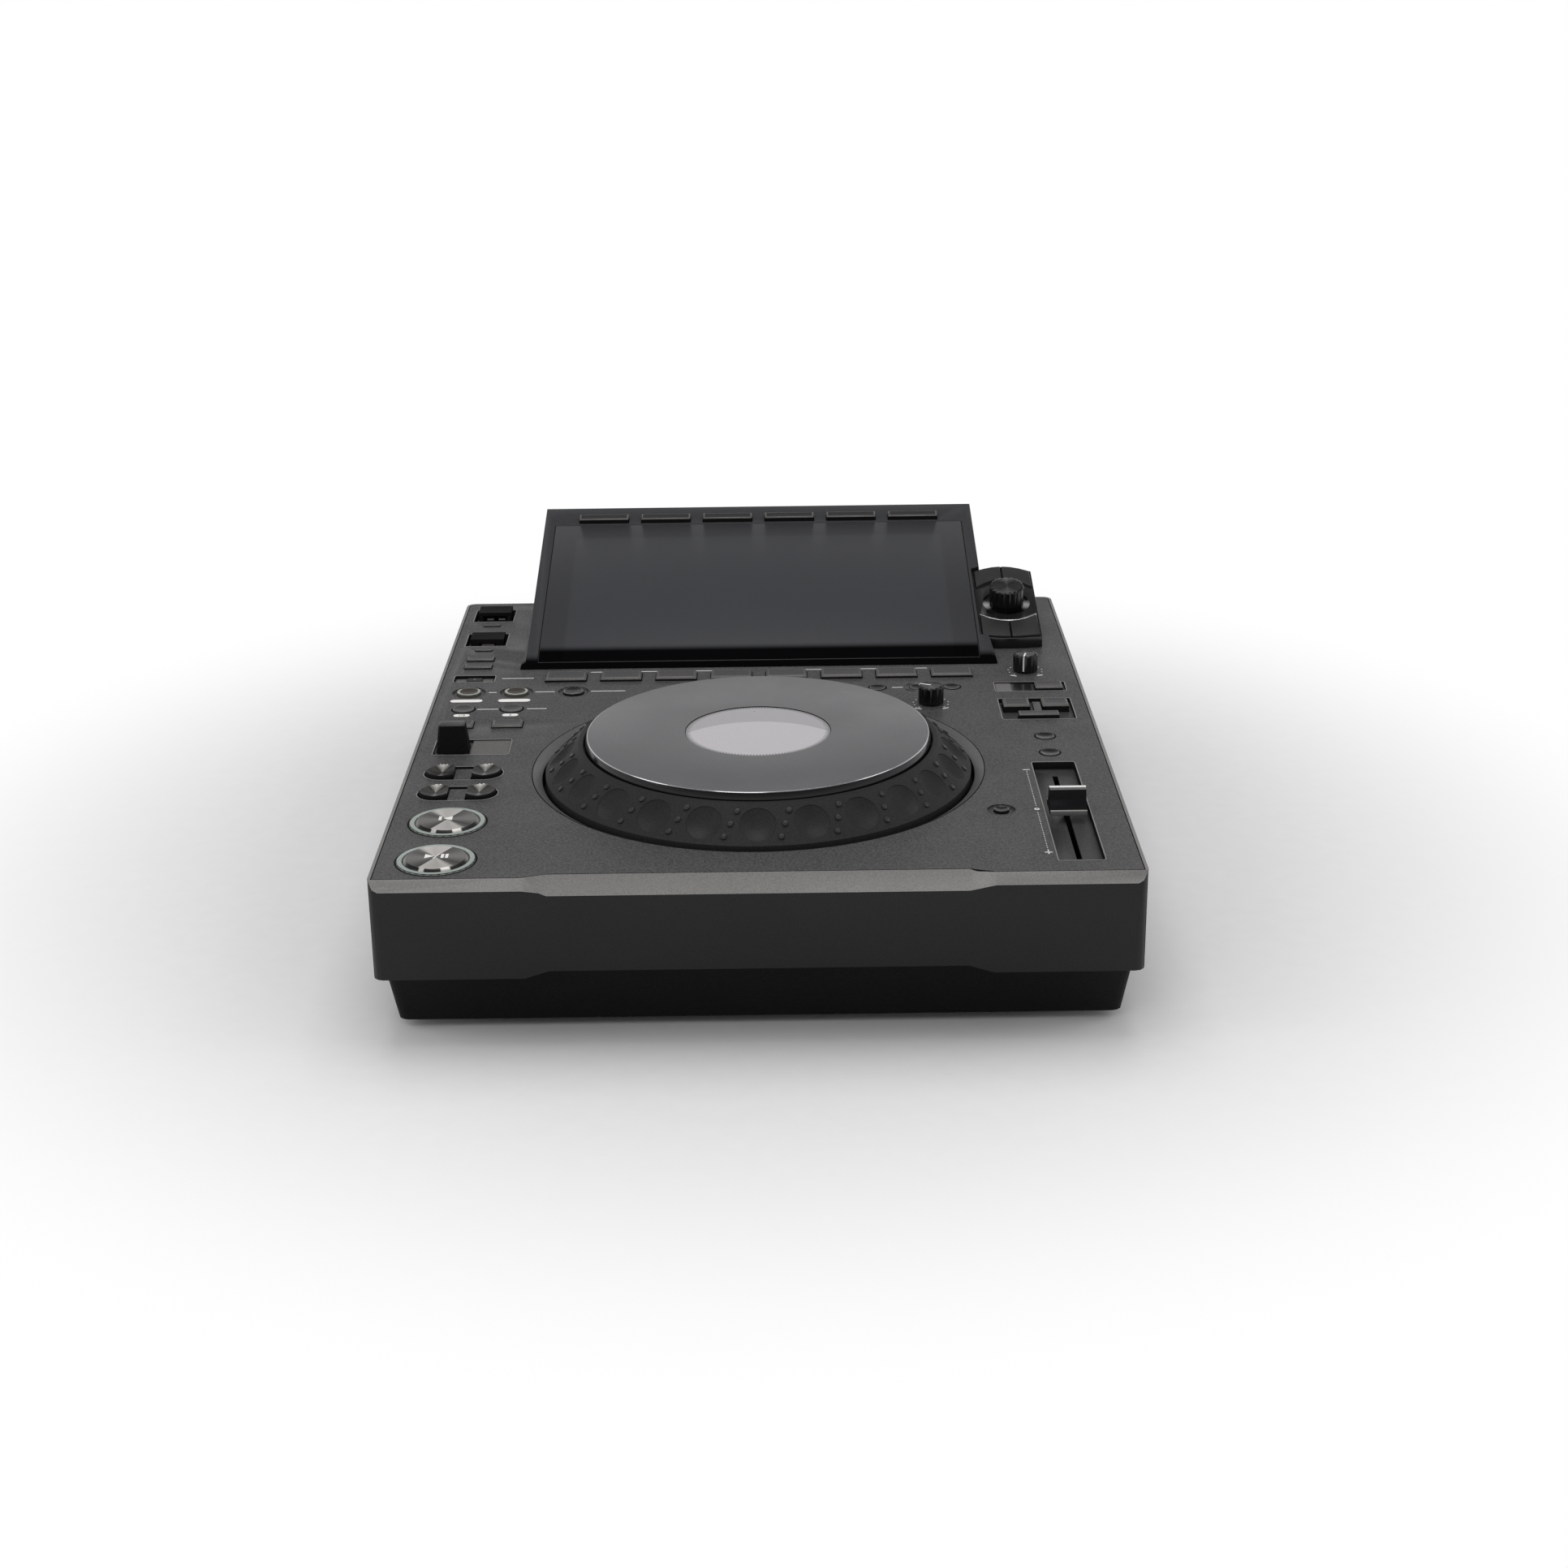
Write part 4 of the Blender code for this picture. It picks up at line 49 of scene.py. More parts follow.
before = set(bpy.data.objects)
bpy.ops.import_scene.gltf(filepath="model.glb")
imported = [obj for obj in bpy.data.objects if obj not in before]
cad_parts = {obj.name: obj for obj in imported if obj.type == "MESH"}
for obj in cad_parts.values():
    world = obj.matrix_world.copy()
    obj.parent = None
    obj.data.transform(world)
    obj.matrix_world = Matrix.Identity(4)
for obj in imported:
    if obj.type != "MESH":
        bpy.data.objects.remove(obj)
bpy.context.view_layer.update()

MERGE = 0.000001
FLANGE = 0.001
GLASS_THICKNESS = 0.0011
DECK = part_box("lower_case")[1].z
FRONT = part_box("lower_case")[0].y
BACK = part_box("lower_case")[1].y
HALF_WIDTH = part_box("lower_case")[1].x
UP = Vector((0, 0, 1))
SOCKETS = {
    "specular": "Specular IOR Level",
    "coat": "Coat Weight",
    "coat_roughness": "Coat Roughness",
    "anisotropy": "Anisotropic",
    "subsurface": "Subsurface Weight",
    "sheen": "Sheen Weight",
    "ior": "IOR",
}


# Settings

def length(name, description, default):
    return FloatProperty(name=name, description=description, default=default, min=0.0, unit="LENGTH", precision=5)


def angle(name, description, degrees):
    return FloatProperty(name=name, description=description, default=math.radians(degrees), subtype="ANGLE")


def share(name, description, default):
    return FloatProperty(name=name, description=description, default=default, min=0.0, max=1.0, subtype="FACTOR")


def number(name, description, default):
    return FloatProperty(name=name, description=description, default=default, min=0.0)


def colour(name, description, default):
    return FloatVectorProperty(name=name, description=description, default=default, size=3, min=0.0, max=1.0,
                               subtype="COLOR")


class StageSettings(bpy.types.PropertyGroup):
    """Floor, light and camera."""
    floor_width: length("Floor width", "Side of the square floor", 20.0)
    floor_colour: colour("Floor", "Pale floor colour", (0.80, 0.80, 0.80))
    fill: share("Fill", "Even light from all around", 0.42)
    key_power: number("Top light", "Power of the large lamp over the deck, in watts", 9.0)
    key_width: length("Top light width", "Side of the large lamp", 1.1)
    key_height: length("Top light height", "Height of the large lamp over the floor", 1.5)
    side_power: number("Side lights", "Power of each side lamp, in watts", 3.4)
    side_reach: length("Side light distance", "Distance of the side lamps from the middle", 1.4)
    lens: number("Lens", "Focal length on a 36 mm sensor, in millimetres", 58.67)


class FinishSettings(bpy.types.PropertyGroup):
    """Colours of the finishes."""
    panel: colour("Panel", "Painted top panel", (0.080, 0.078, 0.079))
    strip: colour("Front strip", "Metallic front strip and rim", (0.27, 0.263, 0.257))
    funnel: colour("Funnel", "Sloped ring round the jog wheel", (0.16, 0.16, 0.165))
    case_black: colour("Case", "Front face, sides and base", (0.010, 0.010, 0.0105))
    recess: colour("Recess floor", "Floors of the recesses", (0.06, 0.059, 0.06))
    key_top: colour("Key top", "Tops of the rectangular keys", (0.062, 0.060, 0.061))
    # Painted highlight: the key edge colour lightens the chamfered edges of the keys and the rims of the small buttons,
    # where light catches them.
    key_edge: colour("Key edge", "Highlighted edge of the rectangular keys", (0.115, 0.112, 0.109))
    # Painted shade: near black for the sides of keys and for walls, holes and gaps that lie in shade; it is also the
    # own black of the lever, the slider body and the socket hoods.
    side_black_and_shade: colour("Key side", "Sides of the keys", (0.008, 0.008, 0.008))
    rubber: colour("Rubber", "Skirt of the jog wheel", (0.017, 0.017, 0.017))
    gloss_black: colour("Gloss black", "Display border and selector pod", (0.005, 0.005, 0.0055))
    soft_black: colour("Soft black", "Lever, slider and small buttons", (0.010, 0.010, 0.010))
    steel: colour("Steel", "Spun caps of the two large buttons", (0.76, 0.73, 0.70))
    dark_metal: colour("Dark metal", "Spun caps of the search buttons", (0.50, 0.49, 0.46))
    glow_ring: colour("Light ring", "Translucent rings round the large buttons", (0.34, 0.36, 0.33))
    olive: colour("Olive lens", "Translucent sides of the loop buttons", (0.12, 0.125, 0.10))
    disc: colour("Disc", "Top of the jog wheel", (0.185, 0.181, 0.188))
    window: colour("Window", "Still display in the jog wheel", (0.50, 0.475, 0.50))
    white: colour("Print", "Printed lines and marks", (0.85, 0.84, 0.82))
    # Painted highlight: a light line round each recess, where the recess's edge catches the light.
    line: colour("Light line", "Light edge round a recess", (0.24, 0.236, 0.232))
    # Painted reflection: the grey of the display glass and its border stands in for the reflection of a large soft
    # lamp.
    glass: colour("Glass", "Display glass and its border", (0.040, 0.041, 0.044))


class JogSettings(bpy.types.PropertyGroup):
    """Sizes of the jog wheel."""
    dimples: IntProperty(name="Dimples", description="Finger dimples round the skirt", default=24, min=3)
    skirt_run: length("Skirt run", "How far the skirt draws in from foot to top", 0.0157)
    skirt_rise: length("Skirt rise", "Height of the skirt over the deck", 0.0139)
    rim_width: length("Rim width", "Flat rim at the top of the skirt", 0.0024)
    shelf_width: length("Shelf width", "Shelf that carries the disc", 0.0057)
    shelf_rise: length("Shelf rise", "Height of the shelf over the deck", 0.0097)
    hem: length("Hem", "Depth of the skirt below the deck", 0.004)
    wall: length("Skirt wall", "Thickness of the skirt", 0.0032)
    dimple_radius: length("Dimple radius", "Radius of a finger dimple", 0.0081)
    dimple_depth: length("Dimple depth", "Depth of a finger dimple", 0.0024)
    nub_radius: length("Nub radius", "Radius of the small nubs between dimples", 0.0016)
    nub_rise: length("Nub rise", "Height of the small nubs", 0.0007)
    nub_pitch: length("Nub pitch", "Distance between the nubs up the skirt", 0.0063)
    nub_slant: share("Nub slant", "Sideways lean of a row of nubs", 0.37)
    groove_pitch: length("Groove pitch", "Distance between the fine grooves of the disc", 0.0011)
    window_teeth: IntProperty(name="Window teeth", description="Teeth round the window", default=140, min=8)


class DisplaySettings(bpy.types.PropertyGroup):
    """Sizes of the touch display."""
    tilt: angle("Tilt", "Slope of the display", 13.1)
    image_width: length("Image width", "Width of the active area", 0.2054)
    image_front: length("Image front", "Dark band before the active area", 0.0083)
    image_depth: length("Image depth", "Length of the active area up the slope", 0.1265)
    edge: length("Glass edge", "Chamfer round the glass", 0.0003)


class LegendSettings(bpy.types.PropertyGroup):
    """Sizes of the printed lines and marks."""
    line: length("Line", "Width of the printed lines", 0.0006)
    print_rise: length("Print thickness", "Thickness of the print", 0.00008)
    pill: length("Pill width", "Width of the white pills", 0.0042)
    frame_line: length("Frame line", "Width of the light line round a recess", 0.0005)
    mark: length("Mark", "Height of a printed symbol", 0.0022)


# Finishes

def node_after(tree, kind, *sources, **values):
    """A shader node, linked from the given sockets in order, with its own settings."""
    node = tree.nodes.new(kind)
    for key, value in values.items():
        setattr(node, key, value)
    for index, source in enumerate(sources):
        if isinstance(source, bpy.types.NodeSocket):
            tree.links.new(source, node.inputs[index])
        elif source is not None:
            node.inputs[index].default_value = source
    return node


def place_of(tree):
    return node_after(tree, "ShaderNodeTexCoord").outputs["Object"]


def noise_of(tree, place, size, detail=2.0):
    noise = node_after(tree, "ShaderNodeTexNoise", place)
    noise.inputs["Scale"].default_value = 1 / size
    noise.inputs["Detail"].default_value = detail
    return noise.outputs["Fac"]


def math_of(tree, operation, *sources):
    return node_after(tree, "ShaderNodeMath", *sources, operation=operation).outputs[0]


def blend_of(tree, factor, first, second):
    """A colour between two colours or sockets."""
    mix = node_after(tree, "ShaderNodeMix", data_type="RGBA")
    for index, source in ((0, factor), (6, first), (7, second)):
        if isinstance(source, bpy.types.NodeSocket):
            tree.links.new(source, mix.inputs[index])
        else:
            mix.inputs[index].default_value = source
    return mix.outputs[2]


def product_of(tree, first, second):
    """Two colour sockets multiplied."""
    mix = node_after(tree, "ShaderNodeMix", data_type="RGBA", blend_type="MULTIPLY")
    mix.inputs[0].default_value = 1.0
    tree.links.new(first, mix.inputs[6])
    tree.links.new(second, mix.inputs[7])
    return mix.outputs[2]


def ramp_of(tree, factor, stops):
    """A colour ramp from (position, colour) stops."""
    ramp = node_after(tree, "ShaderNodeValToRGB", factor)
    points = ramp.color_ramp.elements
    while len(points) < len(stops):
        points.new(1.0)
    for point, (position, shade) in zip(points, stops):
        point.position = position
        point.color = shade
    return ramp.outputs["Color"]


def shade_of(tint, scale=1.0):
    """A linear colour, lighter or darker by scale."""
    return (*[min(channel * scale, 1.0) for channel in tint], 1.0)


def new_finish(name, tint, metallic=0.0, roughness=0.5, grain=0.0007, tone=0.15, relief=0.12, smudge=0.12, **sockets):
    """A finish whose tone, gloss and surface vary with a fine grain and with soft smudges."""
    found = bpy.data.materials.get(name)
    if found:
        return found
    material = bpy.data.materials.new(name)
    material.use_nodes = True
    tree = material.node_tree
    shader = tree.nodes["Principled BSDF"]
    shader.inputs["Metallic"].default_value = metallic
    for key, value in sockets.items():
        shader.inputs[SOCKETS[key]].default_value = value
    place = place_of(tree)
    fine = noise_of(tree, place, grain)
    colours = ramp_of(tree, fine, [(0.32, shade_of(tint, 1 - tone)), (0.68, shade_of(tint, 1 + tone))])
    tree.links.new(colours, shader.inputs["Base Color"])
    soft = noise_of(tree, place, 0.035, 3.0)
    gloss = node_after(tree, "ShaderNodeMapRange", soft)
    gloss.inputs["From Min"].default_value = 0.3
    gloss.inputs["From Max"].default_value = 0.7
    gloss.inputs["To Min"].default_value = roughness * (1 - smudge)
    gloss.inputs["To Max"].default_value = roughness * (1 + smudge)
    tree.links.new(gloss.outputs[0], shader.inputs["Roughness"])
    bump = node_after(tree, "ShaderNodeBump")
    bump.inputs["Strength"].default_value = relief
    bump.inputs["Distance"].default_value = grain * 0.4
    tree.links.new(fine, bump.inputs["Height"])
    tree.links.new(bump.outputs["Normal"], shader.inputs["Normal"])
    return material


def base_of(material):
    """The shader and the socket that now gives its base colour."""
    shader = material.node_tree.nodes["Principled BSDF"]
    return shader, shader.inputs["Base Color"].links[0].from_socket


def centred(tree, centre, turn=0.0):
    """Object coordinates about a point, leaned by turn about X."""
    moved = node_after(tree, "ShaderNodeVectorMath", place_of(tree), tuple(centre), operation="SUBTRACT").outputs[0]
    if not turn:
        return moved
    leaned = node_after(tree, "ShaderNodeVectorRotate", moved, rotation_type="X_AXIS")
    leaned.inputs["Angle"].default_value = -turn
    return leaned.outputs[0]


def radius_of(tree, place):
    flat = node_after(tree, "ShaderNodeVectorMath", place, (1, 1, 0), operation="MULTIPLY").outputs[0]
    return node_after(tree, "ShaderNodeVectorMath", flat, operation="LENGTH").outputs["Value"]


def turns_of(tree, place):
    return node_after(tree, "ShaderNodeTexGradient", place, gradient_type="RADIAL").outputs["Fac"]


def fade_of(tree, value, low, high):
    """Rises softly from zero at low to one at high."""
    fade = node_after(tree, "ShaderNodeMapRange", value, interpolation_type="SMOOTHSTEP")
    fade.inputs["From Min"].default_value = low
    fade.inputs["From Max"].default_value = high
    return fade.outputs[0]


def within(tree, value, low, high):
    """One where the value lies between low and high, and zero elsewhere."""
    above = math_of(tree, "GREATER_THAN", value, low)
    below = math_of(tree, "LESS_THAN", value, high)
    return math_of(tree, "MULTIPLY", above, below)


# Painted highlights: brightness stops round a turn, painted into the colour of spun metal for the fans of light that
# its fine rings catch; the bevel stops paint the reflections of the lamps on the bevels of the large buttons.
STEEL_PAINTED_FANS = ((0.0, 0.33), (0.12, 0.30), (0.26, 0.15), (0.335, 0.09), (0.35, 0.97), (0.45, 0.9), (0.56, 0.84),
              (0.66, 1.0), (0.705, 0.75), (0.745, 0.2), (0.82, 0.1), (0.92, 0.24), (1.0, 0.33))
DARK_PAINTED_FANS = ((0.0, 0.06), (0.08, 0.01), (0.2, 0.01), (0.225, 0.2), (0.25, 0.45), (0.275, 0.2), (0.3, 0.01),
             (0.42, 0.01), (0.5, 0.06), (0.6, 0.15), (0.66, 0.05), (0.70, 0.5), (0.75, 1.0), (0.80, 0.5),
             (0.84, 0.05), (0.9, 0.15), (1.0, 0.06))
WELL_PAINTED_FANS = ((0.0, 0.8), (0.06, 0.5), (0.14, 0.02), (0.86, 0.02), (0.94, 0.5), (1.0, 0.8))
SOFT_PAINTED_FANS = ((0.0, 0.3), (0.25, 0.12), (0.42, 0.5), (0.5, 0.9), (0.58, 0.5), (0.75, 0.12), (1.0, 0.3))
BEVEL_PAINTED_REFLECTIONS = ((0.0, 0.25), (0.06, 0.25), (0.09, 0.02), (0.178, 0.02), (0.182, 0.95), (0.205, 0.95), (0.21, 0.02),
              (0.292, 0.02), (0.297, 0.95), (0.34, 0.95), (0.346, 0.02), (0.45, 0.02), (0.49, 0.3), (0.53, 0.3),
              (0.57, 0.02), (1.0, 0.25))


def spun_finish(name, tint, centre, metallic, roughness, fans, repeats=2.0, turn=0.0, pitch=0.00035):
    """Spun metal: fine rings about a point, and painted highlights, the fans of light that such rings show, painted
    into the base colour.
    """
    material = new_finish(name, tint, metallic, roughness, tone=0.05, relief=0.03, anisotropy=0.3)
    tree = material.node_tree
    shader, base = base_of(material)
    place = centred(tree, centre, turn)
    fan = math_of(tree, "FRACT", math_of(tree, "MULTIPLY", turns_of(tree, place), repeats))
    # Painted highlight: the fans of light, multiplied into the base colour below.
    painted_shine = ramp_of(tree, fan, [(at, shade_of((1, 1, 1), level)) for at, level in fans])
    rings = math_of(tree, "MULTIPLY", radius_of(tree, place), 1 / pitch)
    grooves = node_after(tree, "ShaderNodeTexNoise", noise_dimensions="1D")
    tree.links.new(rings, grooves.inputs["W"])
    lines = ramp_of(tree, grooves.outputs["Fac"], [(0.3, (0.82, 0.82, 0.82, 1)), (0.7, (1, 1, 1, 1))])
    tree.links.new(product_of(tree, product_of(tree, base, painted_shine), lines), shader.inputs["Base Color"])
    tangent = node_after(tree, "ShaderNodeVectorMath", place, (0, 0, 1), operation="CROSS_PRODUCT").outputs[0]
    along = node_after(tree, "ShaderNodeVectorMath", tangent, operation="NORMALIZE").outputs[0]
    tree.links.new(along, shader.inputs["Tangent"])
    return material


def panel_finish(finish):
    return new_finish("panel_paint", finish.panel, 0.3, 0.5, grain=0.001, tone=0.42, relief=0.25, specular=0.32)


def trim_finish(finish):
    return new_finish("strip_metal", finish.strip, 0.55, 0.42, grain=0.0006, tone=0.14, relief=0.12, specular=0.35)


def black_finish(finish):
    return new_finish("soft_black", finish.soft_black, 0.0, 0.5, grain=0.0004, tone=0.25, relief=0.15, specular=0.14)


def gloss_finish(finish):
    return new_finish("gloss_black", finish.gloss_black, 0.0, 0.2, tone=0.1, relief=0.01, specular=0.16)


# Painted shade: the near black of sides, walls, holes and gaps that lie in shade, and the own black of some black
# parts.
def black_and_shade_finish(finish):
    return new_finish("side_black_and_shade", finish.side_black_and_shade, 0.0, 0.7, grain=0.0005, tone=0.3, relief=0.1, specular=0.08)


# Painted highlight: the light lines round the recesses.
def edge_highlight_finish(finish):
    return new_finish("recess_edge_highlight", finish.line, 0.2, 0.45, grain=0.0006, tone=0.1, relief=0.05, specular=0.3)


def print_finish(finish):
    return new_finish("white_print", finish.white, 0.0, 0.6, grain=0.0004, tone=0.06, relief=0.05)


# Shapes

def merged(node, flat=1.0):
    """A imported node's mesh, merged and with its flat areas whole."""
    bm = bmesh.new()
    bm.from_mesh(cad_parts[node].data)
    bmesh.ops.remove_doubles(bm, verts=bm.verts, dist=MERGE)
    bmesh.ops.dissolve_limit(bm, angle_limit=math.radians(flat), verts=bm.verts, edges=bm.edges)
    bm.normal_update()
    return bm


def soften(bm, width, segments=2, sharpest=30.0, among=None):
    """Rounds the sharp edges."""
    edges = [edge for edge in among or bm.edges
             if len(edge.link_faces) == 2 and edge.calc_face_angle(0) > math.radians(sharpest)]
    return bmesh.ops.bevel(bm, geom=edges, offset=width, segments=segments, profile=0.5, affect="EDGES",
                           material=-1, clamp_overlap=True)


def add_piece(name, bm, body, materials, replaced=None, smooth=30.0):
    """One object from a bmesh, on its body."""
    mesh = bpy.data.meshes.new(name)
    bm.to_mesh(mesh)
    bm.free()
    for material in materials:
        mesh.materials.append(material)
    for face in mesh.polygons:
        face.use_smooth = True
    mesh.set_sharp_from_angle(angle=math.radians(smooth))
    piece = bpy.data.objects.new(name, mesh)
    bpy.context.scene.collection.objects.link(piece)
    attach(piece, body)
    if replaced:
        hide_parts(replaced)
    return piece


def spun(profile, steps, closed=False):
    """A solid turned about Z, from (radius, height) pairs."""
    bm = bmesh.new()
    verts = [bm.verts.new((radius, 0, height)) for radius, height in profile]
    edges = [bm.edges.new(pair) for pair in zip(verts, verts[1:])]
    if closed:
        edges.append(bm.edges.new((verts[-1], verts[0])))
    bmesh.ops.spin(bm, geom=verts + edges, cent=(0, 0, 0), axis=UP, angle=math.tau, steps=steps, use_merge=True)
    bmesh.ops.remove_doubles(bm, verts=bm.verts, dist=MERGE)
    bmesh.ops.recalc_face_normals(bm, faces=bm.faces)
    return bm


def moved(bm, centre, turn=None):
    """Turns a shape and moves it to its place."""
    if turn:
        bmesh.ops.rotate(bm, cent=(0, 0, 0), matrix=turn, verts=bm.verts)
    bmesh.ops.translate(bm, vec=centre, verts=bm.verts)
    return bm


def joined(bm, other):
    """Adds another bmesh, which is freed."""
    mesh = bpy.data.meshes.new("joined")
    other.to_mesh(mesh)
    other.free()
    bm.from_mesh(mesh)
    bpy.data.meshes.remove(mesh)
    return bm


def lift(bm, face, rise=0.0, scale=1.0):
    """Extrudes a face up and scales it about Z, and returns the new face."""
    alone = all(len(edge.link_faces) == 1 for edge in face.edges)
    made = bmesh.ops.extrude_face_region(bm, geom=[face])
    if not alone:
        bmesh.ops.delete(bm, geom=[face], context="FACES_ONLY")
    new = next(item for item in made["geom"] if isinstance(item, bmesh.types.BMFace))
    bmesh.ops.translate(bm, vec=(0, 0, rise), verts=new.verts)
    bmesh.ops.scale(bm, vec=(scale, scale, 1), verts=new.verts)
    return new


def middle_of(node):
    low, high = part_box(node)
    return (low + high) / 2


def slab(bm, x, y, z, width, depth, rise, turn=0.0):
    """A thin printed bar on a flat surface."""
    pose = Matrix.Translation((x, y, z + rise / 2)) @ Matrix.Rotation(turn, 4, "Z")
    bmesh.ops.create_cube(bm, size=1, matrix=pose @ Matrix.Diagonal((width, depth, rise, 1)))


def outline_plate(width, depth, radius, segments=4):
    """A flat plate with round corners."""
    bm = bmesh.new()
    bmesh.ops.create_grid(bm, x_segments=1, y_segments=1, size=0.5)
    bmesh.ops.scale(bm, vec=(width, depth, 1), verts=bm.verts)
    bmesh.ops.bevel(bm, geom=bm.verts[:], offset=radius, segments=segments, profile=0.5, affect="VERTICES",
                    material=-1)
    bmesh.ops.remove_doubles(bm, verts=bm.verts, dist=MERGE)
    return bm


def plate(x, y, z, width, depth, radius, rise, segments=4):
    """A thin plate with round corners, standing on a flat surface."""
    bm = outline_plate(width, depth, radius, segments)
    lift(bm, bm.faces[:][0], rise)
    bmesh.ops.recalc_face_normals(bm, faces=bm.faces)
    return moved(bm, (x, y, z))


def frame_line(x, y, z, width, depth, radius, line, rise, segments=4):
    """A thin raised line round a rectangle with round corners."""
    bm = outline_plate(width + 2 * line, depth + 2 * line, radius + line, segments)
    inner = bm.faces[:][0]
    bmesh.ops.inset_region(bm, faces=[inner], thickness=line, use_boundary=True, use_even_offset=True)
    bmesh.ops.delete(bm, geom=[inner], context="FACES")
    made = bmesh.ops.extrude_face_region(bm, geom=bm.faces[:])
    raised = [item for item in made["geom"] if isinstance(item, bmesh.types.BMVert)]
    bmesh.ops.translate(bm, vec=(0, 0, rise), verts=raised)
    bmesh.ops.recalc_face_normals(bm, faces=bm.faces)
    return moved(bm, (x, y, z))


def triangle(bm, x, y, z, size, rise, turn):
    """A small printed arrowhead that points along turn."""
    pose = Matrix.Translation((x, y, z)) @ Matrix.Rotation(turn - math.pi / 2, 4, "Z")
    made = bmesh.ops.create_circle(bm, segments=3, radius=size / 2, cap_ends=True, matrix=pose)
    face = made["verts"][0].link_faces[0]
    top = bmesh.ops.extrude_face_region(bm, geom=[face])
    raised = [item for item in top["geom"] if isinstance(item, bmesh.types.BMVert)]
    bmesh.ops.translate(bm, vec=(0, 0, rise), verts=raised)


def printed_text(bm, text, x, y, z, size, rise):
    """Plain numbers or signs, standing just proud of a flat surface."""
    curve = bpy.data.curves.new(text, "FONT")
    curve.body = text
    curve.size = size
    curve.extrude = rise / 2
    curve.align_x = "CENTER"
    curve.align_y = "CENTER"
    holder = bpy.data.objects.new(text, curve)
    mesh = bpy.data.meshes.new_from_object(holder)
    mesh.transform(Matrix.Translation((x, y, z + rise / 2)))
    bm.from_mesh(mesh)
    bpy.data.meshes.remove(mesh)
    bpy.data.objects.remove(holder)
    bpy.data.curves.remove(curve)


def mark_faces(bm, choose):
    """Gives each face the material index that choose returns for its middle and normal."""
    bm.normal_update()
    for face in bm.faces:
        face.material_index = choose(face.calc_center_median(), face.normal)


def deck_spot(node):
    """A node's middle, on the deck."""
    middle = middle_of(node)
    return Vector((middle.x, middle.y, DECK))


# Stage

def aim_lamp(name, place, target, power, width, depth):
    lamp = bpy.data.lights.new(name, "AREA")
    lamp.energy = power
    lamp.shape = "RECTANGLE"
    lamp.size = width
    lamp.size_y = depth
    holder = bpy.data.objects.new(name, lamp)
    holder.location = place
    holder.rotation_euler = (Vector(target) - Vector(place)).to_track_quat("-Z", "Y").to_euler()
    bpy.context.scene.collection.objects.link(holder)
    return holder


def build_world(stage):
    """White to the camera and in reflections, and an even fill for the rest."""
    world = bpy.data.worlds.new("studio")
    bpy.context.scene.world = world
    world.use_nodes = True
    tree = world.node_tree
    seen = tree.nodes["Background"]
    seen.inputs["Strength"].default_value = 1.0
    sky = node_after(tree, "ShaderNodeSeparateXYZ", node_after(tree, "ShaderNodeTexCoord").outputs["Generated"])
    ceiling = ramp_of(tree, sky.outputs[2], [(0.0, (1, 1, 1, 1)), (0.16, (1, 1, 1, 1)), (0.4, shade_of((1, 1, 1), 0.35)),
                                             (0.7, shade_of((1, 1, 1), 0.1))])
    tree.links.new(ceiling, seen.inputs["Color"])
    fill = node_after(tree, "ShaderNodeBackground", (1, 1, 1, 1), stage.fill)
    path = node_after(tree, "ShaderNodeLightPath")
    mirrored = math_of(tree, "MAXIMUM", path.outputs["Is Glossy Ray"], path.outputs["Is Transmission Ray"])
    shown = math_of(tree, "MAXIMUM", path.outputs["Is Camera Ray"], mirrored)
    mix = node_after(tree, "ShaderNodeMixShader", shown, fill.outputs[0], seen.outputs[0])
    tree.links.new(mix.outputs[0], tree.nodes["World Output"].inputs["Surface"])


def floor_finish(stage):
    """Pale paint near the player, and the white of the backdrop further off."""
    material = new_finish("floor_paint", stage.floor_colour, roughness=0.9, grain=0.01, tone=0.01, relief=0.02,
                          specular=0.1)
    tree = material.node_tree
    shader = tree.nodes["Principled BSDF"]
    white = node_after(tree, "ShaderNodeEmission", (1, 1, 1, 1), 1.0)
    away = node_after(tree, "ShaderNodeMapRange", radius_of(tree, place_of(tree)), interpolation_type="SMOOTHSTEP")
    away.inputs["From Min"].default_value = 0.22
    away.inputs["From Max"].default_value = 0.5
    path = node_after(tree, "ShaderNodeLightPath")
    mirrored = math_of(tree, "MAXIMUM", path.outputs["Is Glossy Ray"], path.outputs["Is Transmission Ray"])
    shown = math_of(tree, "MAXIMUM", path.outputs["Is Camera Ray"], mirrored)
    factor = math_of(tree, "MULTIPLY", away.outputs[0], shown)
    mix = node_after(tree, "ShaderNodeMixShader", factor, shader.outputs[0], white.outputs[0])
    tree.links.new(mix.outputs[0], tree.nodes["Material Output"].inputs["Surface"])
    return material


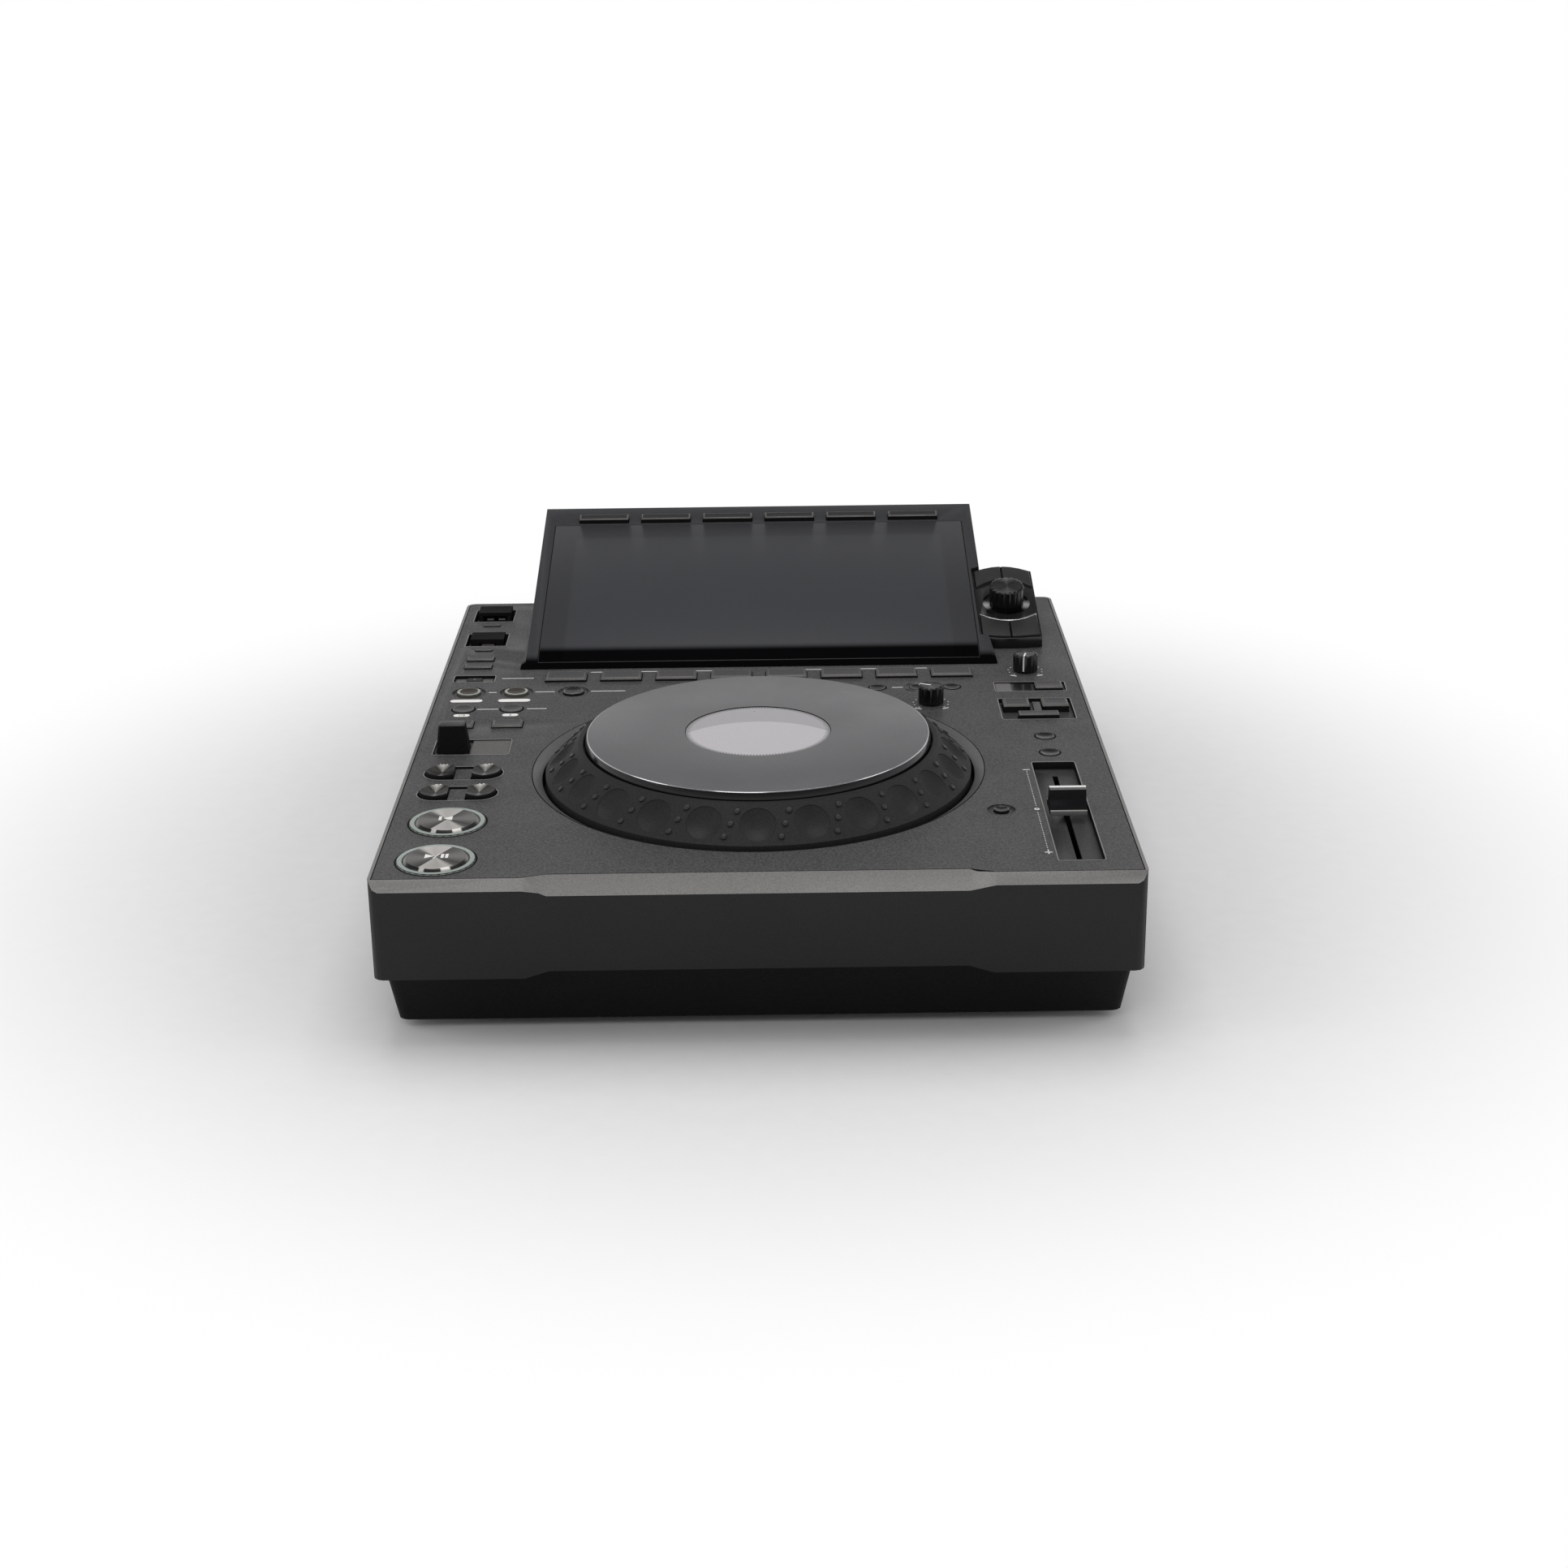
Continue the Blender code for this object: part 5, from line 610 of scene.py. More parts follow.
class PLAYER_OT_stage(bpy.types.Operator):
    """Makes the pale floor, the soft lamps and the camera"""
    bl_idname = "player.stage"
    bl_label = "Stage"

    def execute(self, context):
        stage = context.scene.player_stage
        bpy.context.scene.view_settings.view_transform = "Standard"
        bm = bmesh.new()
        bmesh.ops.create_grid(bm, x_segments=8, y_segments=8, size=stage.floor_width / 2)
        mesh = bpy.data.meshes.new("floor")
        bm.to_mesh(mesh)
        bm.free()
        mesh.materials.append(floor_finish(stage))
        floor = bpy.data.objects.new("floor", mesh)
        context.scene.collection.objects.link(floor)
        build_world(stage)
        top = stage.key_height
        aim_lamp("top_lamp", (0, 0.25, top), (0, 0, 0), stage.key_power, stage.key_width, stage.key_width)
        reach = stage.side_reach
        aim_lamp("left_lamp", (-reach, -0.4, 1.0), (0, 0, 0.05), stage.side_power, 0.7, 0.9)
        aim_lamp("right_lamp", (reach, -0.2, 1.1), (0, 0, 0.05), stage.side_power, 0.7, 0.9)
        aim_lamp("front_lamp", (-0.3, -1.4, 1.3), (0, 0, 0.05), stage.side_power, 0.9, 0.6)
        data = bpy.data.cameras.new("camera")
        data.sensor_width = 36
        data.lens = stage.lens
        camera = bpy.data.objects.new("camera", data)
        camera.location = (0.0080, -1.21281, 0.4968)
        camera.rotation_euler = [math.radians(turn) for turn in (69.02133, 0.62976, -0.43800)]
        context.scene.collection.objects.link(camera)
        context.scene.camera = camera
        return {"FINISHED"}


# Case

class PLAYER_OT_case(bpy.types.Operator):
    """Makes the lower case with its strip, face, base and feet"""
    bl_idname = "player.case"
    bl_label = "Case"

    def execute(self, context):
        finish = context.scene.player_finish
        bm = merged("lower_case")
        soften(bm, 0.0003, 2, 40.0, [edge for edge in bm.edges if edge.calc_length() > 0.002])
        walls = [face for face in bm.faces if face.normal.y > 0.99 and face.calc_center_median().y > 0]
        rear = max(walls, key=lambda face: face.calc_area()).calc_center_median().y

        def choose(middle, normal):
            if middle.z > DECK - 0.0095 and normal.z > 0.2 and middle.z > DECK - 0.0078:
                return 0
            if middle.z < 0.0049:
                return 3
            if normal.y < -0.5 and middle.y < FRONT + 0.002:
                return 1
            if middle.y > rear + 0.0004 and middle.z < DECK - 0.01:
                return 4
            return 2

        mark_faces(bm, choose)
        face = new_finish("front_face", finish.case_black, 0.0, 0.38, grain=0.0005, tone=0.3, relief=0.12,
                          specular=0.25)
        # Painted shade: the case black at half strength, on a rougher plastic, for the sides, the rear, the base and
        # the recessed lower plinth, which lie in shadow.
        shaded_shell = new_finish("case_plastic_shaded", shade_of(finish.case_black, 0.5)[:3], 0.0, 0.6, grain=0.0009, tone=0.3,
                           relief=0.4, specular=0.12)
        foot = new_finish("foot_rubber", finish.rubber, 0.0, 0.8, grain=0.001, tone=0.2, relief=0.3, specular=0.2)
        metal = new_finish("socket_metal", finish.steel, 1.0, 0.3, tone=0.06, relief=0.04)
        add_piece("case_shell", bm, "player", [trim_finish(finish), face, shaded_shell, foot, metal],
                  "lower_case")
        return {"FINISHED"}


# Deck plate

def recess_areas():
    """The recesses of the deck: middle, width, depth and corner, each found by the controls in it."""
    direction = middle_of("direction_lever")
    search = [(middle_of(a) + middle_of(b)) / 2 for a, b in (
        ("search_back_button", "search_forward_button"),
        ("track_search_back_button", "track_search_forward_button"))]
    sync = (middle_of("key_sync_key") + middle_of("beat_sync_key")) / 2
    call = middle_of("call_key")
    stop_a = middle_of("usb_stop_key_1")
    stop_c = middle_of("usb_stop_key_2")
    slider = middle_of("tempo_slider")
    mode = middle_of("jog_mode_key")
    return {
        "direction": (direction.x + 0.0085, direction.y + 0.0034, 0.0359, 0.0205, 0.0012),
        "search": (search[0].x, search[0].y, 0.0368, 0.0172, 0.00855),
        "track_search": (search[1].x, search[1].y, 0.0368, 0.0172, 0.00855),
        "sync": (sync.x, sync.y - 0.0064, 0.0359, 0.0308, 0.0012),
        "call": (call.x, call.y, 0.0209, 0.0104, 0.0012),
        "usb_a": (stop_a.x, stop_a.y + 0.0184, 0.0216, 0.0213, 0.0003),
        "usb_c": (stop_c.x, stop_c.y + 0.0184, 0.0216, 0.0213, 0.0003),
        "slider": (slider.x, slider.y, 0.0199, 0.119, 0.0012),
        "jog_mode": (mode.x - 0.0094, mode.y, 0.0356, 0.014, 0.0012),
    }


def inside(middle, area, spare=0.0001):
    x, y, width, depth = area[:4]
    return abs(middle.x - x) < width / 2 + spare and abs(middle.y - y) < depth / 2 + spare


class PLAYER_OT_deck_plate(bpy.types.Operator):
    """Makes the top panel with its recesses, and the sloped ring round the jog wheel"""
    bl_idname = "player.deck_plate"
    bl_label = "Deck plate"

    def execute(self, context):
        finish = context.scene.player_finish
        areas = recess_areas()
        jog = middle_of("jog_ring")
        bm = merged("top_panel")
        sloped = [face for face in bm.faces if face.normal.z < 0.95 and self.round_well(face, jog)]
        bmesh.ops.delete(bm, geom=sloped, context="FACES_ONLY")
        rim = [edge for edge in bm.edges
               if all(abs(vert.co.z - DECK) < MERGE * 10 for vert in edge.verts) and edge.calc_face_angle(0) > 0.5]
        soften(bm, 0.00025, 1, 30.0, rim)
        usb = (areas["usb_a"], areas["usb_c"])

        # Faces that do not face up take the near black: painted shade on the walls of holes and recesses, and the own
        # black of the media socket hoods.
        def choose(middle, normal):
            if middle.z > DECK - 0.00005 and normal.z > 0.9 and not any(inside(middle, area) for area in usb):
                return 0
            if any(inside(middle, area) for area in usb):
                hood = middle.z > DECK - 0.0001 or normal.y < -0.5 or abs(normal.x) > 0.5
                return 4 if hood else 1
            if (middle.xy - jog.xy).length < 0.108:
                return 2
            for area in areas.values():
                if inside(middle, area):
                    return 1 if normal.z > 0.9 else 4
            return 4 if normal.z < 0.9 else 0

        mark_faces(bm, choose)
        floor = new_finish("recess_floor", finish.recess, 0.3, 0.4, grain=0.0007, tone=0.25, relief=0.12,
                           specular=0.3)
        well = new_finish("well_black", finish.case_black, 0.0, 0.7, grain=0.0008, tone=0.2, relief=0.1,
                          specular=0.2)
        add_piece("deck_panel", bm, "player",
                  [panel_finish(finish), floor, well, gloss_finish(finish), black_and_shade_finish(finish)], "top_panel")
        funnel = [(0.1008, -0.0101), (0.1008, -0.0029), (0.1010, -0.0027), (0.1051, -0.0001), (0.1053, 0.00008),
                  (0.1058, 0.00008), (0.1058, -0.0003), (0.1016, -0.0031), (0.1012, -0.0101)]
        ring = moved(spun(funnel, 192, closed=True), (jog.x, jog.y, DECK))

        def part(middle, normal):
            radius = (middle.xy - jog.xy).length
            return 0 if radius < 0.1052 and middle.z > DECK - 0.0028 else 1

        mark_faces(ring, part)
        slope = new_finish("funnel_paint", finish.funnel, 0.35, 0.4, grain=0.0007, tone=0.12, relief=0.1,
                           specular=0.3)
        add_piece("jog_funnel", ring, "player", [slope, black_and_shade_finish(finish)])
        self.fittings(finish, areas)
        return {"FINISHED"}

    def round_well(self, face, jog):
        """True for the sloped and upright faces round the jog wheel's well."""
        middle = face.calc_center_median()
        radius = (middle.xy - jog.xy).length
        if middle.z > DECK - 0.0031:
            return 0.1 < radius < 0.107
        return middle.z > DECK - 0.0105 and 0.099 < radius < 0.1022

    def fittings(self, finish, areas):
        """The plates that lie in the recesses beside their controls."""
        pale = new_finish("plate_pale", (0.12, 0.116, 0.112), 0.2, 0.45, grain=0.0008, tone=0.2, relief=0.1,
                          specular=0.25)
        clear = new_finish("mode_lens", (0.12, 0.115, 0.114), 0.0, 0.25, tone=0.08, relief=0.02, specular=0.3)
        x, y, width, depth = areas["direction"][:4]
        add_piece("direction_plate", plate(x + width / 2 - 0.0092, y, DECK - 0.00139, 0.0178, depth - 0.0008, 0.0006,
                                           0.0011), "player", [pale])
        x, y, width, depth = areas["call"][:4]
        bm = bmesh.new()
        for side in (-1, 1):
            joined(bm, plate(x + side * 0.0068, y - 0.0008, DECK - 0.00159, 0.0052, 0.0066, 0.0005, 0.0006))
        add_piece("call_plates", bm, "player", [pale])
        x, y, width, depth = areas["jog_mode"][:4]
        left = x - width / 2
        deep = depth - 0.0008
        add_piece("mode_lens", plate(left + 0.0043, y, DECK - 0.00119, 0.0078, deep, 0.0008, 0.0008), "player",
                  [clear])
        bm = plate(left + 0.0101, y, DECK - 0.00119, 0.0036, deep, 0.0002, 0.0007)
        joined(bm, plate(left + 0.0153, y, DECK - 0.00119, 0.0062, deep, 0.0002, 0.0006))
        add_piece("mode_lens_dark", bm, "player", [gloss_finish(finish)])
        bm = bmesh.new()
        for name in ("search", "track_search"):
            x, y = areas[name][:2]
            joined(bm, plate(x, y - 0.0011, DECK - 0.00159, 0.0078, 0.0140, 0.0004, 0.0014))
        add_piece("search_bridges", bm, "player", [panel_finish(finish)])


# Jog wheel

def wrapped(bm, foot, top, rise, half_slope):
    """Wraps a flat patch, in arc length and slope length, round the skirt's cone with its middle facing the player."""
    lean = math.hypot(foot - top, rise)
    for vert in bm.verts:
        height = 0.5 + vert.co.y / (2 * half_slope)
        reach = foot + (top - foot) * height
        turn = vert.co.x / reach - math.pi / 2
        out = reach + vert.co.z * rise / lean
        up = height * rise + vert.co.z * (foot - top) / lean
        vert.co = (out * math.cos(turn), out * math.sin(turn), up)


def turns_beside(verts, known):
    """The turn of each new vertex, from the older vertex that it was drawn out of."""
    found = {}
    for vert in verts:
        beside = [edge.other_vert(vert) for edge in vert.link_edges]
        found[vert] = next(known[other] for other in beside if other in known)
    return found


def dimple_patch(jog, foot, top, half_slope):
    """One sector of the skirt: a round dimple in a four-sided patch, flat, with its nubs at one side."""
    bm = bmesh.new()
    half_turn = math.pi / jog.dimples
    bmesh.ops.create_circle(bm, segments=48, radius=1)
    rim = {vert: math.atan2(vert.co.y, vert.co.x) for vert in bm.verts}

    def border(turn):
        quarter = math.pi / 4
        side = round(turn / (2 * quarter)) % 4
        along = (turn - 2 * quarter * round(turn / (2 * quarter))) / quarter
        up = {0: along, 1: 1.0, 2: -along, 3: -1.0}[side] * half_slope
        across = {0: 1.0, 1: -along, 2: -1.0, 3: along}[side]
        reach = (foot + top) / 2 + (top - foot) * up / (2 * half_slope)
        return Vector((across * half_turn * reach, up, 0))

    def at_rim(turn, scale, depth):
        return Vector((math.cos(turn) * scale, math.sin(turn) * scale, -depth))

    for vert, turn in rim.items():
        vert.co = at_rim(turn, jog.dimple_radius * 1.04, 0)
    start = bm.edges[:]
    edges = start
    known = {vert: math.atan2(vert.co.y, vert.co.x) for vert in bm.verts}
    for blend in (0.3, 0.65, 1.0):
        made = bmesh.ops.extrude_edge_only(bm, edges=edges)["geom"]
        verts = [item for item in made if isinstance(item, bmesh.types.BMVert)]
        edges = [item for item in made if isinstance(item, bmesh.types.BMEdge)]
        known.update(turns_beside(verts, known))
        for vert in verts:
            out = at_rim(known[vert], jog.dimple_radius * 1.04, 0)
            vert.co = out.lerp(border(known[vert]), blend)
    edges = start
    for scale in (1.0, 0.975, 0.88, 0.76, 0.6, 0.4, 0.2):
        made = bmesh.ops.extrude_edge_only(bm, edges=edges)["geom"]
        verts = [item for item in made if isinstance(item, bmesh.types.BMVert)]
        edges = [item for item in made if isinstance(item, bmesh.types.BMEdge)]
        known.update(turns_beside(verts, known))
        for vert in verts:
            depth = 0 if scale == 1.0 else 0.0002 + jog.dimple_depth * (1 - scale ** 2)
            vert.co = at_rim(known[vert], jog.dimple_radius * scale, depth)
    bmesh.ops.contextual_create(bm, geom=edges)
    for step in (-1, 0, 1):
        up = step * jog.nub_pitch
        reach = (foot + top) / 2 + (top - foot) * up / (2 * half_slope)
        pose = Matrix.Translation((half_turn * reach + jog.nub_slant * up, up, 0))
        reach = jog.nub_radius
        made = bmesh.ops.create_cone(bm, cap_ends=True, segments=20, radius1=reach, radius2=reach * 0.86,
                                     depth=jog.nub_rise * 2, matrix=pose)
        head = max((face for vert in made["verts"] for face in vert.link_faces),
                   key=lambda face: face.calc_center_median().z)
        # Painted highlight: the nub's top face takes a lighter rubber.
        head.material_index = 1
        bmesh.ops.bevel(bm, geom=list(head.edges), offset=reach * 0.3, segments=3, profile=0.5, affect="EDGES",
                        material=-1)
    return bm


class PLAYER_OT_jog_wheel(bpy.types.Operator):
    """Makes the dimpled skirt, the grooved disc and the still window of the jog wheel"""
    bl_idname = "player.jog_wheel"
    bl_label = "Jog wheel"

    def execute(self, context):
        jog = context.scene.player_jog
        finish = context.scene.player_finish
        low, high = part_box("jog_ring")
        centre = Vector(((low.x + high.x) / 2, (low.y + high.y) / 2, DECK))
        foot = (high.x - low.x) / 2
        top = foot - jog.skirt_run
        half_slope = math.hypot(jog.skirt_run, jog.skirt_rise) / 2
        bm = dimple_patch(jog, foot, top, half_slope)
        wrapped(bm, foot, top, jog.skirt_rise, half_slope)
        geometry = bm.verts[:] + bm.edges[:] + bm.faces[:]
        last = jog.dimples - 1
        bmesh.ops.spin(bm, geom=geometry, cent=(0, 0, 0), axis=UP, angle=math.tau * last / jog.dimples, steps=last,
                       use_duplicate=True)
        bore = top - jog.rim_width
        shelf = bore - jog.shelf_width
        body = spun([
            (foot, 0), (foot, -jog.hem), (foot - jog.wall, -jog.hem),
            (shelf + jog.wall, jog.shelf_rise - 0.0025), (shelf, jog.shelf_rise - 0.0025), (shelf, jog.shelf_rise),
            (bore, jog.shelf_rise), (bore, jog.skirt_rise - 0.0004), (bore + 0.0004, jog.skirt_rise),
            (top, jog.skirt_rise)], jog.dimples * 12)
        joined(bm, body)
        bmesh.ops.remove_doubles(bm, verts=bm.verts, dist=0.000003)
        bmesh.ops.recalc_face_normals(bm, faces=bm.faces)
        rubber = new_finish("skirt_rubber", finish.rubber, 0.0, 0.62, grain=0.0009, tone=0.25, relief=0.2,
                            specular=0.3)
        # Painted highlight: a lighter copy of the rubber for the nubs' tops.
        nub_highlight = new_finish("nub_rubber_highlight", shade_of(finish.rubber, 1.7)[:3], 0.0, 0.4, grain=0.0009, relief=0.1, specular=0.4)
        add_piece("jog_skirt", moved(bm, centre), "jog_wheel", [rubber, nub_highlight], "jog_ring", 26.0)
        self.disc(jog, finish, centre)
        self.window(jog, finish, centre)
        return {"FINISHED"}

    def disc(self, jog, finish, centre):
        low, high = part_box("jog_disc")
        rim = (high.x - low.x) / 2
        top = high.z - DECK
        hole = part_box("jog_display")[1].x - centre.x + 0.0001
        profile = [
            (hole, top - 0.0001), (hole + 0.0001, top), (rim - 0.0013, top), (rim - 0.0010, top - 0.0001),
            (rim - 0.0008, top - 0.0004), (rim - 0.0001, top - 0.0027), (rim, top - 0.003),
            (rim, jog.shelf_rise + 0.0003), (rim - 0.005, jog.shelf_rise + 0.0003), (rim - 0.005, top - 0.003),
            (hole + 0.003, top - 0.003), (hole + 0.003, top - 0.0055), (hole, top - 0.0055)]
        bm = moved(spun(profile, 256, closed=True), centre)

        def choose(middle, normal):
            radius = (middle.xy - centre.xy).length
            if radius > rim - 0.0012:
                return 1 if middle.z > centre.z + top - 0.0003 else 2
            return 0 if radius > hole + 0.0001 else 3

        mark_faces(bm, choose)
        face = new_finish("disc_metal", finish.disc, 0.55, 0.36, grain=0.0006, tone=0.06, relief=0.05)
        tree = face.node_tree
        shader, base = base_of(face)
        place = centred(tree, centre)
        radius = radius_of(tree, place)
        wave = math_of(tree, "SINE", math_of(tree, "MULTIPLY", radius, math.tau / jog.groove_pitch))
        outer = math_of(tree, "GREATER_THAN", radius, hole + 0.002)
        groove = math_of(tree, "MULTIPLY", wave, outer)
        depth = math_of(tree, "MULTIPLY_ADD", groove, 0.5, 0.5)
        tree.links.new(blend_of(tree, math_of(tree, "MULTIPLY", depth, 0.22), base, shade_of(finish.disc, 0.3)),
                       shader.inputs["Base Color"])
        bump = node_after(tree, "ShaderNodeBump")
        bump.inputs["Strength"].default_value = 0.25
        bump.inputs["Distance"].default_value = 0.0001
        tree.links.new(depth, bump.inputs["Height"])
        tree.links.new(bump.outputs["Normal"], shader.inputs["Normal"])
        edge = new_finish("disc_edge", (0.55, 0.55, 0.57), 0.9, 0.16, tone=0.05, relief=0.02)
        side = new_finish("disc_side", finish.gloss_black, 0.0, 0.15, tone=0.05, relief=0.01, specular=0.3)
        add_piece("jog_top", bm, "jog_wheel", [face, edge, side, black_and_shade_finish(finish)], "jog_disc")

    def window(self, jog, finish, centre):
        low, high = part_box("jog_display")
        rim = high.x - centre.x
        top = high.z - DECK
        bm = moved(spun([(0, top), (rim - 0.0001, top), (rim, top - 0.0001), (rim, top - 0.003), (0.012, top - 0.003),
                         (0.012, low.z - DECK), (0, low.z - DECK)], 192), centre)
        glass = new_finish("jog_window", finish.window, 0.0, 0.3, grain=0.0006, tone=0.05, relief=0.02,
                           coat=0.6, coat_roughness=0.08)
        tree = glass.node_tree
        shader, base = base_of(glass)
        place = centred(tree, centre)
        radius = radius_of(tree, place)
        wave = math_of(tree, "SINE", math_of(tree, "MULTIPLY", turns_of(tree, place), math.tau * jog.window_teeth))
        bite = math_of(tree, "MULTIPLY_ADD", wave, 0.0009, rim - 0.0016)
        ring = math_of(tree, "GREATER_THAN", radius, bite)
        raised = node_after(tree, "ShaderNodeVectorMath", place, (0, 0.031, 0), operation="ADD").outputs[0]
        lens = math_of(tree, "GREATER_THAN", radius_of(tree, raised), 0.044)
        band = blend_of(tree, math_of(tree, "MULTIPLY", lens, 0.55), base, shade_of(finish.disc, 1.15))
        tree.links.new(blend_of(tree, ring, band, shade_of(finish.disc, 0.85)), shader.inputs["Base Color"])
        add_piece("jog_window", bm, "player", [glass], "jog_display")


# Display

def slope_matrix(display):
    """The place of the display's slope: its origin is the middle of the glass's front top edge."""
    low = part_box("display_glass")[0]
    up = low.z + GLASS_THICKNESS * math.cos(display.tilt)
    return Matrix.Translation((0, low.y, up)) @ Matrix.Rotation(display.tilt, 4, "X")


class PLAYER_OT_display(bpy.types.Operator):
    """Makes the display's frame and its touch glass"""
    bl_idname = "player.display"
    bl_label = "Display"

    def execute(self, context):
        display = context.scene.player_display
        finish = context.scene.player_finish
        slope = slope_matrix(display)
        level = slope.inverted()
        bm = merged("display_frame")
        outer = [edge for edge in bm.edges if edge.calc_length() > 0.004]
        soften(bm, 0.0003, 2, 30.0, outer)
        mark_faces(bm, lambda middle, normal: 1 if (level @ middle).z < -0.006 and normal.z < 0.3 else 0)
        border = new_finish("display_border", finish.glass, 0.0, 0.4, tone=0.12, relief=0.02, specular=0.12)
        # Painted reflection: black band along the front of the border.
        self.shade(border, slope, display, finish, 0.001, 0.009)
        add_piece("display_housing", bm, "player", [border, black_and_shade_finish(finish)], "display_frame")
        bm = merged("display_glass")
        soften(bm, display.edge, 2, 30.0)
        mark_faces(bm, lambda middle, normal: 0 if (level.to_3x3() @ normal).z > 0.99 else 1)
        glass = new_finish("touch_glass", finish.glass, 0.0, 0.34, tone=0.05, relief=0.002, smudge=0.04, specular=0.14)
        # Painted reflection: the glass's grey, with a black band along its front edge where the reflection ends.
        self.shade(glass, slope, display, finish, 0.0105, 0.0175)
        tree = glass.node_tree
        shader, base = base_of(glass)
        split = node_after(tree, "ShaderNodeSeparateXYZ", centred(tree, slope.translation, display.tilt))
        half = display.image_width / 2
        soft = 0.0012
        across = math_of(tree, "MULTIPLY", fade_of(tree, split.outputs[0], -half - soft, -half + soft),
                         fade_of(tree, split.outputs[0], half + soft, half - soft))
        rear = display.image_front + display.image_depth
        image = math_of(tree, "MULTIPLY", across, fade_of(tree, split.outputs[1], rear + soft, rear - soft))
        lit = node_after(tree, "ShaderNodeHueSaturation")
        lit.inputs["Value"].default_value = 1.22
        lit.inputs["Saturation"].default_value = 1.3
        tree.links.new(base, lit.inputs["Color"])
        tree.links.new(blend_of(tree, image, base, lit.outputs[0]), shader.inputs["Base Color"])
        edge = new_finish("glass_edge", (0.02, 0.021, 0.023), 0.0, 0.3, tone=0.05, relief=0.01, specular=0.3)
        add_piece("touch_glass", bm, "player", [glass, edge], "display_glass")
        return {"FINISHED"}

    def shade(self, material, slope, display, finish, low, high):
        """Painted reflection: black along the front edge of the slope, where the glass and its border show no
        reflection of the lamps, with a soft border to the material's own grey, itself a painted reflection; the
        specular level fades out with the black.
        """
        tree = material.node_tree
        shader, base = base_of(material)
        split = node_after(tree, "ShaderNodeSeparateXYZ", centred(tree, slope.translation, display.tilt))
        fade = fade_of(tree, split.outputs[1], low, high)
        tree.links.new(blend_of(tree, fade, shade_of(finish.gloss_black, 0.5), base), shader.inputs["Base Color"])
        gloss = shader.inputs[SOCKETS["specular"]]
        tree.links.new(math_of(tree, "MULTIPLY", fade, gloss.default_value), gloss)


# Keys

PANEL_KEYS = (
    ["usb_stop_key_1", "usb_stop_key_2", "quantize_key", "time_mode_key", "beat_jump_back_key",
     "beat_jump_forward_key", "jog_mode_key", "key_sync_key", "beat_sync_key", "master_key"]
    + [f"hot_cue_key_{number}" for number in range(1, 9)]
)
SLOPE_KEYS = [f"source_key_{number}" for number in range(1, 7)]


class PLAYER_OT_keys(bpy.types.Operator):
    """Makes the rectangular keys, with pale edges of painted highlight and black sides of painted shade"""
    bl_idname = "player.keys"
    bl_label = "Rectangular keys"

    def execute(self, context):
        finish = context.scene.player_finish
        tilt = context.scene.player_display.tilt
        top = new_finish("key_top", finish.key_top, 0.2, 0.45, grain=0.0006, tone=0.3, relief=0.2, specular=0.32)
        edge = new_finish("key_edge", finish.key_edge, 0.3, 0.4, grain=0.0006, tone=0.2, relief=0.1, specular=0.35)
        dark = new_finish("source_key_top", shade_of(finish.key_top, 0.5)[:3], 0.1, 0.45, grain=0.0006, tone=0.2,
                          relief=0.1, specular=0.2)
        leaned = Vector((0, -math.sin(tilt), math.cos(tilt)))
        for node in PANEL_KEYS + SLOPE_KEYS:
            up = leaned if node in SLOPE_KEYS else UP
            self.key(node, up, [dark if node in SLOPE_KEYS else top, edge, black_and_shade_finish(finish)])
        self.call_key(finish)
        return {"FINISHED"}

    def key(self, node, up, materials):
        bm = merged(node)
        bm.faces.ensure_lookup_table()
        head = max(bm.faces, key=lambda face: face.calc_center_median().dot(up))
        bmesh.ops.inset_region(bm, faces=[head], thickness=0.00035, depth=-0.00008, use_even_offset=True)

        # The key top takes the top face; the inset ring and chamfers near the top take the painted highlight; the sides
        # take the painted shade.
        def choose(middle, normal):
            if normal.dot(up) > 0.995 and middle.dot(up) > crest - 0.0003:
                return 0
            if normal.dot(up) > 0.3 and middle.dot(up) > crest - 0.0012:
                return 1
            return 2

        crest = max(vert.co.dot(up) for vert in bm.verts)
        mark_faces(bm, choose)
        soften(bm, 0.00012, 2, 30.0, [edge for edge in bm.edges if edge.calc_length() > 0.0015])
        add_piece(f"{node}_cap", bm, node, materials, node)

    def call_key(self, finish):
        bm = merged("call_key")
        soften(bm, 0.0002, 2)
        add_piece("call_key_cap", bm, "call_key", [black_finish(finish)], "call_key")
        middle = middle_of("call_key")
        bm = bmesh.new()
        slab(bm, middle.x, middle.y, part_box("call_key")[1].z - 0.00002, 0.0009, 0.0022, 0.00006)
        light = new_finish("call_key_light", finish.key_edge, 0.2, 0.4, tone=0.1, relief=0.05)
        add_piece("call_key_middle", bm, "call_key", [light])


# Selector pod

